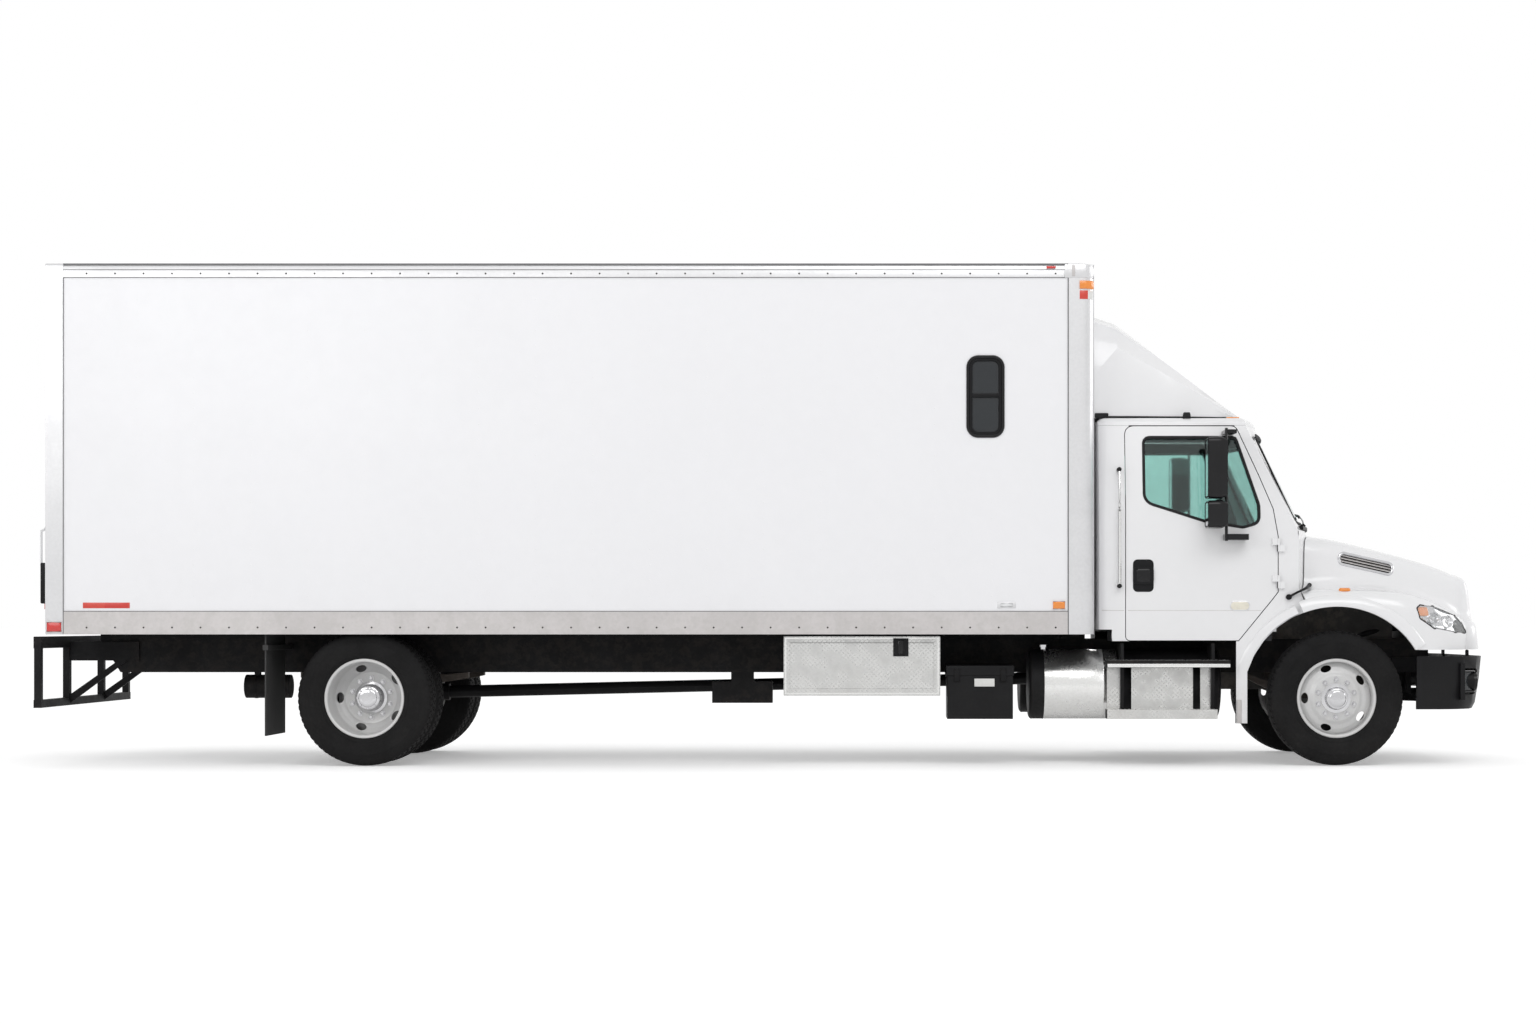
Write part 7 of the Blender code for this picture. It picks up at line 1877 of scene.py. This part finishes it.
def round_post(side, along, z, out):
    """Places on the rounded front post: along its skin from the post's rear edge, at a height, proud of it."""
    along, z, out = np.broadcast_arrays(np.asarray(along, float), np.asarray(z, float), np.asarray(out, float))
    flat = POST["bend"] - POST["start"]
    radius = POST["radius"]
    angle = np.clip((along - flat) / radius, 0.0, math.pi / 2)
    x = np.where(along < flat, POST["start"] + along, POST["bend"] + (radius + out) * np.sin(angle))
    y = RAIL_Y - radius + (radius + out) * np.cos(angle)
    return np.stack([x, side * y, z], -1)


def wrapped_pad(form, side, along, z, depth, slot, edge):
    """Add a flat pad bent round the front post: rounded sections set side by side along its skin."""
    section = rectangle((-0.002, depth), z, edge, 3)
    places = np.linspace(*along, 12)
    ends = np.concatenate([[places[0]], places, [places[-1]]])
    shrink = np.concatenate([[edge], np.zeros(12), [edge]])
    form.loops([round_post(side, s, *outward(section, -e).T[::-1]) for s, e in zip(ends, shrink)], slot)


def side_rivets(side):
    """Rivet heads in upright rows over the skin, clear of the window's frame, and along the rails."""
    upright = lattice(np.arange(-4.723, 2.0, 0.430), [side * SKIN_Y], np.arange(1.290, 3.640, 0.118))
    inside = (np.abs(upright[:, 0] - 1.680) < 0.17) & (np.abs(upright[:, 2] - 2.795) < 0.34) & (side < 0)
    rails = np.vstack([lattice(np.arange(-5.10, 2.28, 0.215), [side * RAIL_Y], [z]) for z in (1.052, 3.722)])
    return (domes(upright[~inside], 0.0050, 0.0018, (0, side, 0)), domes(rails, 0.0075, 0.0030, (0, side, 0)))


def side_trim(side):
    """Rail lips, red strip, marker lamps, tail lamp, corner cap and post markers of one side."""
    form = Form()
    skin, rail = (SKIN_Y - 0.001, SKIN_Y + 0.0016), (RAIL_Y - 0.001, RAIL_Y + 0.0022)
    whole = (BODY_REAR, POST["start"])
    for x, y, z, slot, edge in (
            (whole, rail, (1.172, 1.177), 0, 0.0008), (whole, rail, (3.690, 3.695), 0, 0.0008),
            (whole, rail, (3.748, 3.753), 0, 0.0008), (whole, rail, (3.786, 3.798), 0, 0.0008),
            (whole, rail, (1.000, 1.010), 1, 0.0008),
            ((POST["start"] - 0.004, POST["start"] + 0.004), rail, (1.000, 3.690), 0, 0.0008),
            ((BODY_REAR - 0.003, BODY_REAR + 0.003), rail, (1.000, 3.690), 0, 0.0008),
            ((-5.129, -4.775), skin, (1.197, 1.240), 3, 0.0004),
            ((2.190, 2.280), (SKIN_Y - 0.002, SKIN_Y + 0.012), (1.193, 1.248), 2, 0.005),
            ((1.770, 1.910), (SKIN_Y - 0.002, SKIN_Y + 0.004), (1.198, 1.244), 4, 0.002),
            ((1.795, 1.885), (SKIN_Y, SKIN_Y + 0.011), (1.210, 1.232), 5, 0.004),
            ((-5.402, -5.286), rail, (1.014, 1.098), 1, 0.0008),
            ((-5.398, -5.290), (RAIL_Y, RAIL_Y + 0.012), (1.021, 1.091), 6, 0.005),
            ((2.140, 2.210), (RAIL_Y, RAIL_Y + 0.010), (3.760, 3.778), 6, 0.003)):
        form.box(x, span_on(side, *y), z, slot, edge)
    for along, z, depth, slot, edge in (
            ((-0.028, 0.210), (3.690, 3.792), 0.0030, 4, 0.003), ((0.028, 0.052), (3.700, 3.786), 0.0055, 1, 0.003),
            ((0.086, 0.200), (3.607, 3.669), 0.0120, 2, 0.005), ((0.086, 0.150), (3.530, 3.595), 0.0016, 3, 0.0008),
            ((0.150, 0.200), (3.530, 3.595), 0.0016, 7, 0.0008)):
        wrapped_pad(form, side, along, z, depth, slot, edge)
    return form


def box_window_form():
    """The body's fixed window: a rounded black frame in steps, a grey inner rim, two dark panes and their bar."""
    form = Form()
    outline = rectangle((1.536, 1.825), (2.483, 3.106), 0.090, 9)

    def lay(line, y):
        return set_in(line, "xz", y)
    ring_on(form, outline, lay, ((0.0, -1.262), (0.0, -1.296), (-0.003, -1.3005), (-0.012, -1.3025),
                                 (-0.022, -1.3005), (-0.024, -1.296), (-0.024, -1.262)))
    ring_on(form, outline, lay, ((-0.024, -1.292), (-0.026, -1.2985), (-0.042, -1.2985), (-0.046, -1.290),
                                 (-0.046, -1.268), (-0.024, -1.268)), 1)
    pane = outward(outline, -0.040)
    form.loops([lay(pane, -1.285), lay(pane, -1.272)], 2)
    form.box((1.575, 1.786), (-1.2980, -1.280), (2.785, 2.818), 1, 0.004)
    return form


class TRUCK_OT_van_body(bpy.types.Operator):
    """Dress the van body: skin, rails, rivets, markers, window, roof and deck"""
    bl_idname = "truck.van_body"
    bl_label = "Van body"

    def execute(self, context):
        body = body_of("box_floor")
        white, grey, rail = van_white(), rail_grey(), rail_aluminium()
        lips = [rail_lip(), grey, amber_lens(), reflective_red(), rail, clear_lens(), red_lens(), label_white()]

        def side_finish(middle, normal):
            return 1 if middle.z < 1.178 else 2 if middle.z > 3.688 else 0
        for name, side in SIDES.items():
            eased_copy("box_side_" + name, [white, grey, rail], 0.0015, choose=side_finish)
            for part, rivets, metal in zip(("skin", "rail"), side_rivets(side), (white, cast_steel())):
                rivets.build(f"{part}_rivets_{name}", body, metal)
            side_trim(side).build("side_trim_" + name, body, lips)
        eased_copy("box_front", [white, rail], 0.002, choose=lambda middle, normal: int(
            abs(middle.y) > 1.19 or middle.z > 3.69 or middle.z < 1.10))
        eased_copy("box_roof", [van_white()], 0.001)
        eased_copy("box_floor", [chassis_black(), deck_boards(), grey], 0.002, choose=lambda middle, normal: (
            1 if normal.z > 0.5 and middle.z > 1.145 else 2 if abs(normal.y) > 0.5 and abs(middle.y) > 1.2 else 0))
        box_window_form().build("box_window_frame", body, [gloss_black(), moulded_black(), dark_glass()],
                                ("box_window",))
        return {"FINISHED"}


class TRUCK_OT_rear_end(bpy.types.Operator):
    """Dress the rear frame, its lamps and grab rails, and the slatted door"""
    bl_idname = "truck.rear_end"
    bl_label = "Rear frame and door"

    def execute(self, context):
        def frame_finish(middle, normal):
            return int(middle.x < -5.4125 and (middle.z > 3.68 or 1.18 < middle.z < 1.42))
        eased_copy("box_rear_frame", [rail_aluminium(), red_lens()], 0.0025, choose=frame_finish)
        eased_copy("box_rear_door", [van_white(), chassis_black()], 0.002, choose=lambda middle, normal: int(
            abs(middle.y) < 0.13 and 1.27 < middle.z < 1.34 and middle.x < -5.385))
        form = Form()
        for side in SIDES.values():
            for z in np.arange(1.327, 3.50, 0.300):
                form.box((-5.3885, -5.3810), span_on(side, 1.060, 1.118), (z - 0.045, z + 0.045), 0, 0.002)
                form.rod((-5.3915, side * 1.112, z - 0.030), (-5.3915, side * 1.112, z + 0.030), 0.0060, 10, 0)
            form.box((-5.4535, -5.4125), span_on(side, 1.262, 1.292), (1.232, 1.541), 1, 0.010)
            for z in (1.500, 1.800):
                form.turned(rows((0.0, -5.4180), (0.018, -5.4180), (0.022, -5.4150), (0.022, -5.4118),
                                 (0.0, -5.4118)), (0.0, side * 1.265, z), (1, 0, 0), 20, 0)
        form.box((-5.3900, -5.3810), (-0.170, 0.170), (1.238, 1.268), 0, 0.003)
        form.box((-5.3985, -5.3810), (-0.045, 0.045), (1.356, 1.420), 0, 0.004)
        form.rod((-5.3975, 0.0, 1.340), (-5.3975, 0.0, 1.470), 0.009, 12, 0)
        form.box((-5.3720, -5.3700), (-1.080, 1.080), (1.178, 1.196), 2, 0.001)
        form.build("rear_hardware", body_of("box_rear_door"), [cast_steel(), moulded_black(), seal_rubber()])
        return {"FINISHED"}


# Studio


class TRUCK_PG_stage(bpy.types.PropertyGroup):
    """Place of the camera and strength of the light."""
    camera_place: FloatVectorProperty(name="Camera place", description="Where the camera stands",
                                      subtype="XYZ", unit="LENGTH", size=3, default=(0.967, -20.7, 1.089))
    lens: FloatProperty(name="Lens", description="Focal length in millimetres", default=60.3, min=20.0, max=200.0)
    shift_x: FloatProperty(name="Shift across", description="Sideways shift of the lens", default=-0.080)
    shift_y: FloatProperty(name="Shift up", description="Upward shift of the lens", default=0.072)
    sky: FloatProperty(name="Sky", description="Strength of the even light from all round", default=0.60, min=0.0)


WHITE = (1.0, 1.0, 1.0, 1.0)
LAMPS = (
    # name, place, what it faces, size in metres, power in watts
    ("key_lamp", (5.0, -15.0, 13.0), (0.0, 0.0, 1.6), (12.0, 8.0), 860.0),
    ("side_lamp", (-9.0, -14.0, 6.5), (-1.0, 0.0, 1.5), (10.0, 6.0), 420.0),
    ("front_lamp", (18.0, 2.0, 6.0), (2.0, 0.0, 1.5), (8.0, 5.0), 420.0),
    ("far_lamp", (-3.0, 17.0, 7.5), (0.0, 0.0, 1.5), (12.0, 7.0), 700.0),
    ("rear_lamp", (-18.0, 0.0, 5.5), (-4.0, 0.0, 1.5), (7.0, 5.0), 290.0),
)


def lamp(name, place, aim, size, power):
    """A soft oblong lamp turned toward a place."""
    light = bpy.data.lights.new(name, "AREA")
    light.shape = "RECTANGLE"
    light.size, light.size_y = size
    light.energy = power
    holder = bpy.data.objects.new(name, light)
    holder.location = place
    holder.rotation_euler = (Vector(aim) - Vector(place)).to_track_quat("-Z", "Y").to_euler()
    bpy.context.scene.collection.objects.link(holder)


def seen_rays(t):
    """A mask of the rays that show a surface: from the camera, by a reflection or through glass."""
    path = t.node("ShaderNodeLightPath")
    seen = t.math("MAXIMUM", path.outputs["Is Camera Ray"], path.outputs["Is Glossy Ray"])
    return t.math("MAXIMUM", seen, path.outputs["Is Transmission Ray"])


def white_ground():
    """A pale matt floor that shows white where nothing shades it."""
    made, t, shader, place = new_material("studio_floor")
    pale = t.mix(t.noise(place, 0.6, 2.0), (0.90, 0.90, 0.90, 1), (0.93, 0.93, 0.93, 1))
    parts = t.xyz(place)
    across = t.math("POWER", t.math("DIVIDE", parts[0], 1.4), 2.0)
    distance = t.math("SQRT", t.plus(across, t.math("POWER", parts[1], 2.0)))
    far = t.span(distance, 4.5, 11.0)
    seen = seen_rays(t)
    t.fill(shader, {"Roughness": 0.9, "Specular IOR Level": 0.1, "Emission Color": WHITE,
                    "Base Color": t.mix(t.times(far, seen), pale, (0.0, 0.0, 0.0, 1.0))})
    glow = t.plus(0.30, t.times(far, 0.72))
    t.join(t.times(seen, glow), shader["Emission Strength"])
    return made


class TRUCK_OT_stage(bpy.types.Operator):
    """Set the floor, the soft lamps, the white surroundings and the camera"""
    bl_idname = "truck.stage"
    bl_label = "Studio"

    def execute(self, context):
        values = context.scene.truck_stage
        scene = context.scene
        floor = Form()
        line = np.linspace(-400.0, 400.0, 9)
        floor.grid(np.stack(np.meshgrid(line, line, [0.0], indexing="ij"), -1)[:, :, 0])
        mesh = bpy.data.meshes.new("studio_floor")
        mesh.from_pydata(np.vstack(floor.points).tolist(), [], floor.faces[0].tolist())
        mesh.materials.append(white_ground())
        ground = bpy.data.objects.new("studio_floor", mesh)
        scene.collection.objects.link(ground)
        for row in LAMPS:
            lamp(*row)
        world = bpy.data.worlds.new("studio_air")
        scene.world = world
        world.use_nodes = True
        t = Tree(world.node_tree)
        sky = world.node_tree.nodes["Background"]
        seen = seen_rays(t)
        sky.inputs["Color"].default_value = WHITE
        t.join(t.plus(values.sky, t.times(seen, 1.0 - values.sky)), sky.inputs["Strength"])
        camera = bpy.data.cameras.new("photo_camera")
        camera.lens = values.lens
        camera.sensor_width = 36.0
        camera.shift_x = values.shift_x
        camera.shift_y = values.shift_y
        camera.clip_end = 500.0
        holder = bpy.data.objects.new("photo_camera", camera)
        holder.location = values.camera_place
        holder.rotation_euler = (math.pi / 2, 0.0, 0.0)
        scene.collection.objects.link(holder)
        scene.camera = holder
        scene.view_settings.view_transform = "Standard"
        return {"FINISHED"}


# Registration and run

GROUPS = (
    ("truck_paint", TRUCK_PG_paint),
    ("truck_wheels", TRUCK_PG_wheels),
    ("truck_stage", TRUCK_PG_stage),
)
PIECES = (
    TRUCK_OT_stage, TRUCK_OT_tyres, TRUCK_OT_steel_wheels, TRUCK_OT_hood, TRUCK_OT_headlamps,
    TRUCK_OT_cab_panels, TRUCK_OT_glass, TRUCK_OT_mirrors, TRUCK_OT_seats, TRUCK_OT_dashboard,
    TRUCK_OT_running_gear, TRUCK_OT_equipment, TRUCK_OT_bumper,
    TRUCK_OT_van_body, TRUCK_OT_rear_end,
)


class TRUCK_PT_panel(bpy.types.Panel):
    """Shows the truck's settings and a button for each of its pieces"""
    bl_idname = "TRUCK_PT_panel"
    bl_label = "Box truck"
    bl_space_type = "VIEW_3D"
    bl_region_type = "UI"
    bl_category = "Truck"

    def draw(self, context):
        for label, group in GROUPS:
            column = self.layout.column(align=True)
            values = getattr(context.scene, label)
            for name in group.__annotations__:
                column.prop(values, name)
        for piece in PIECES:
            self.layout.operator(piece.bl_idname)


def register():
    for label, group in GROUPS:
        bpy.utils.register_class(group)
        setattr(bpy.types.Scene, label, PointerProperty(type=group))
    for piece in PIECES:
        bpy.utils.register_class(piece)
    bpy.utils.register_class(TRUCK_PT_panel)


def unregister():
    bpy.utils.unregister_class(TRUCK_PT_panel)
    for piece in reversed(PIECES):
        bpy.utils.unregister_class(piece)
    for label, group in reversed(GROUPS):
        delattr(bpy.types.Scene, label)
        bpy.utils.unregister_class(group)


def main():
    register()
    scene = bpy.context.scene
    PAINT.update(white=tuple(scene.truck_paint.white), panel=tuple(scene.truck_paint.panel),
                 wheels=tuple(scene.truck_wheels.white))
    for piece in PIECES:
        area, call = piece.bl_idname.split(".")
        getattr(getattr(bpy.ops, area), call)()


if __name__ == "__main__":
    main()
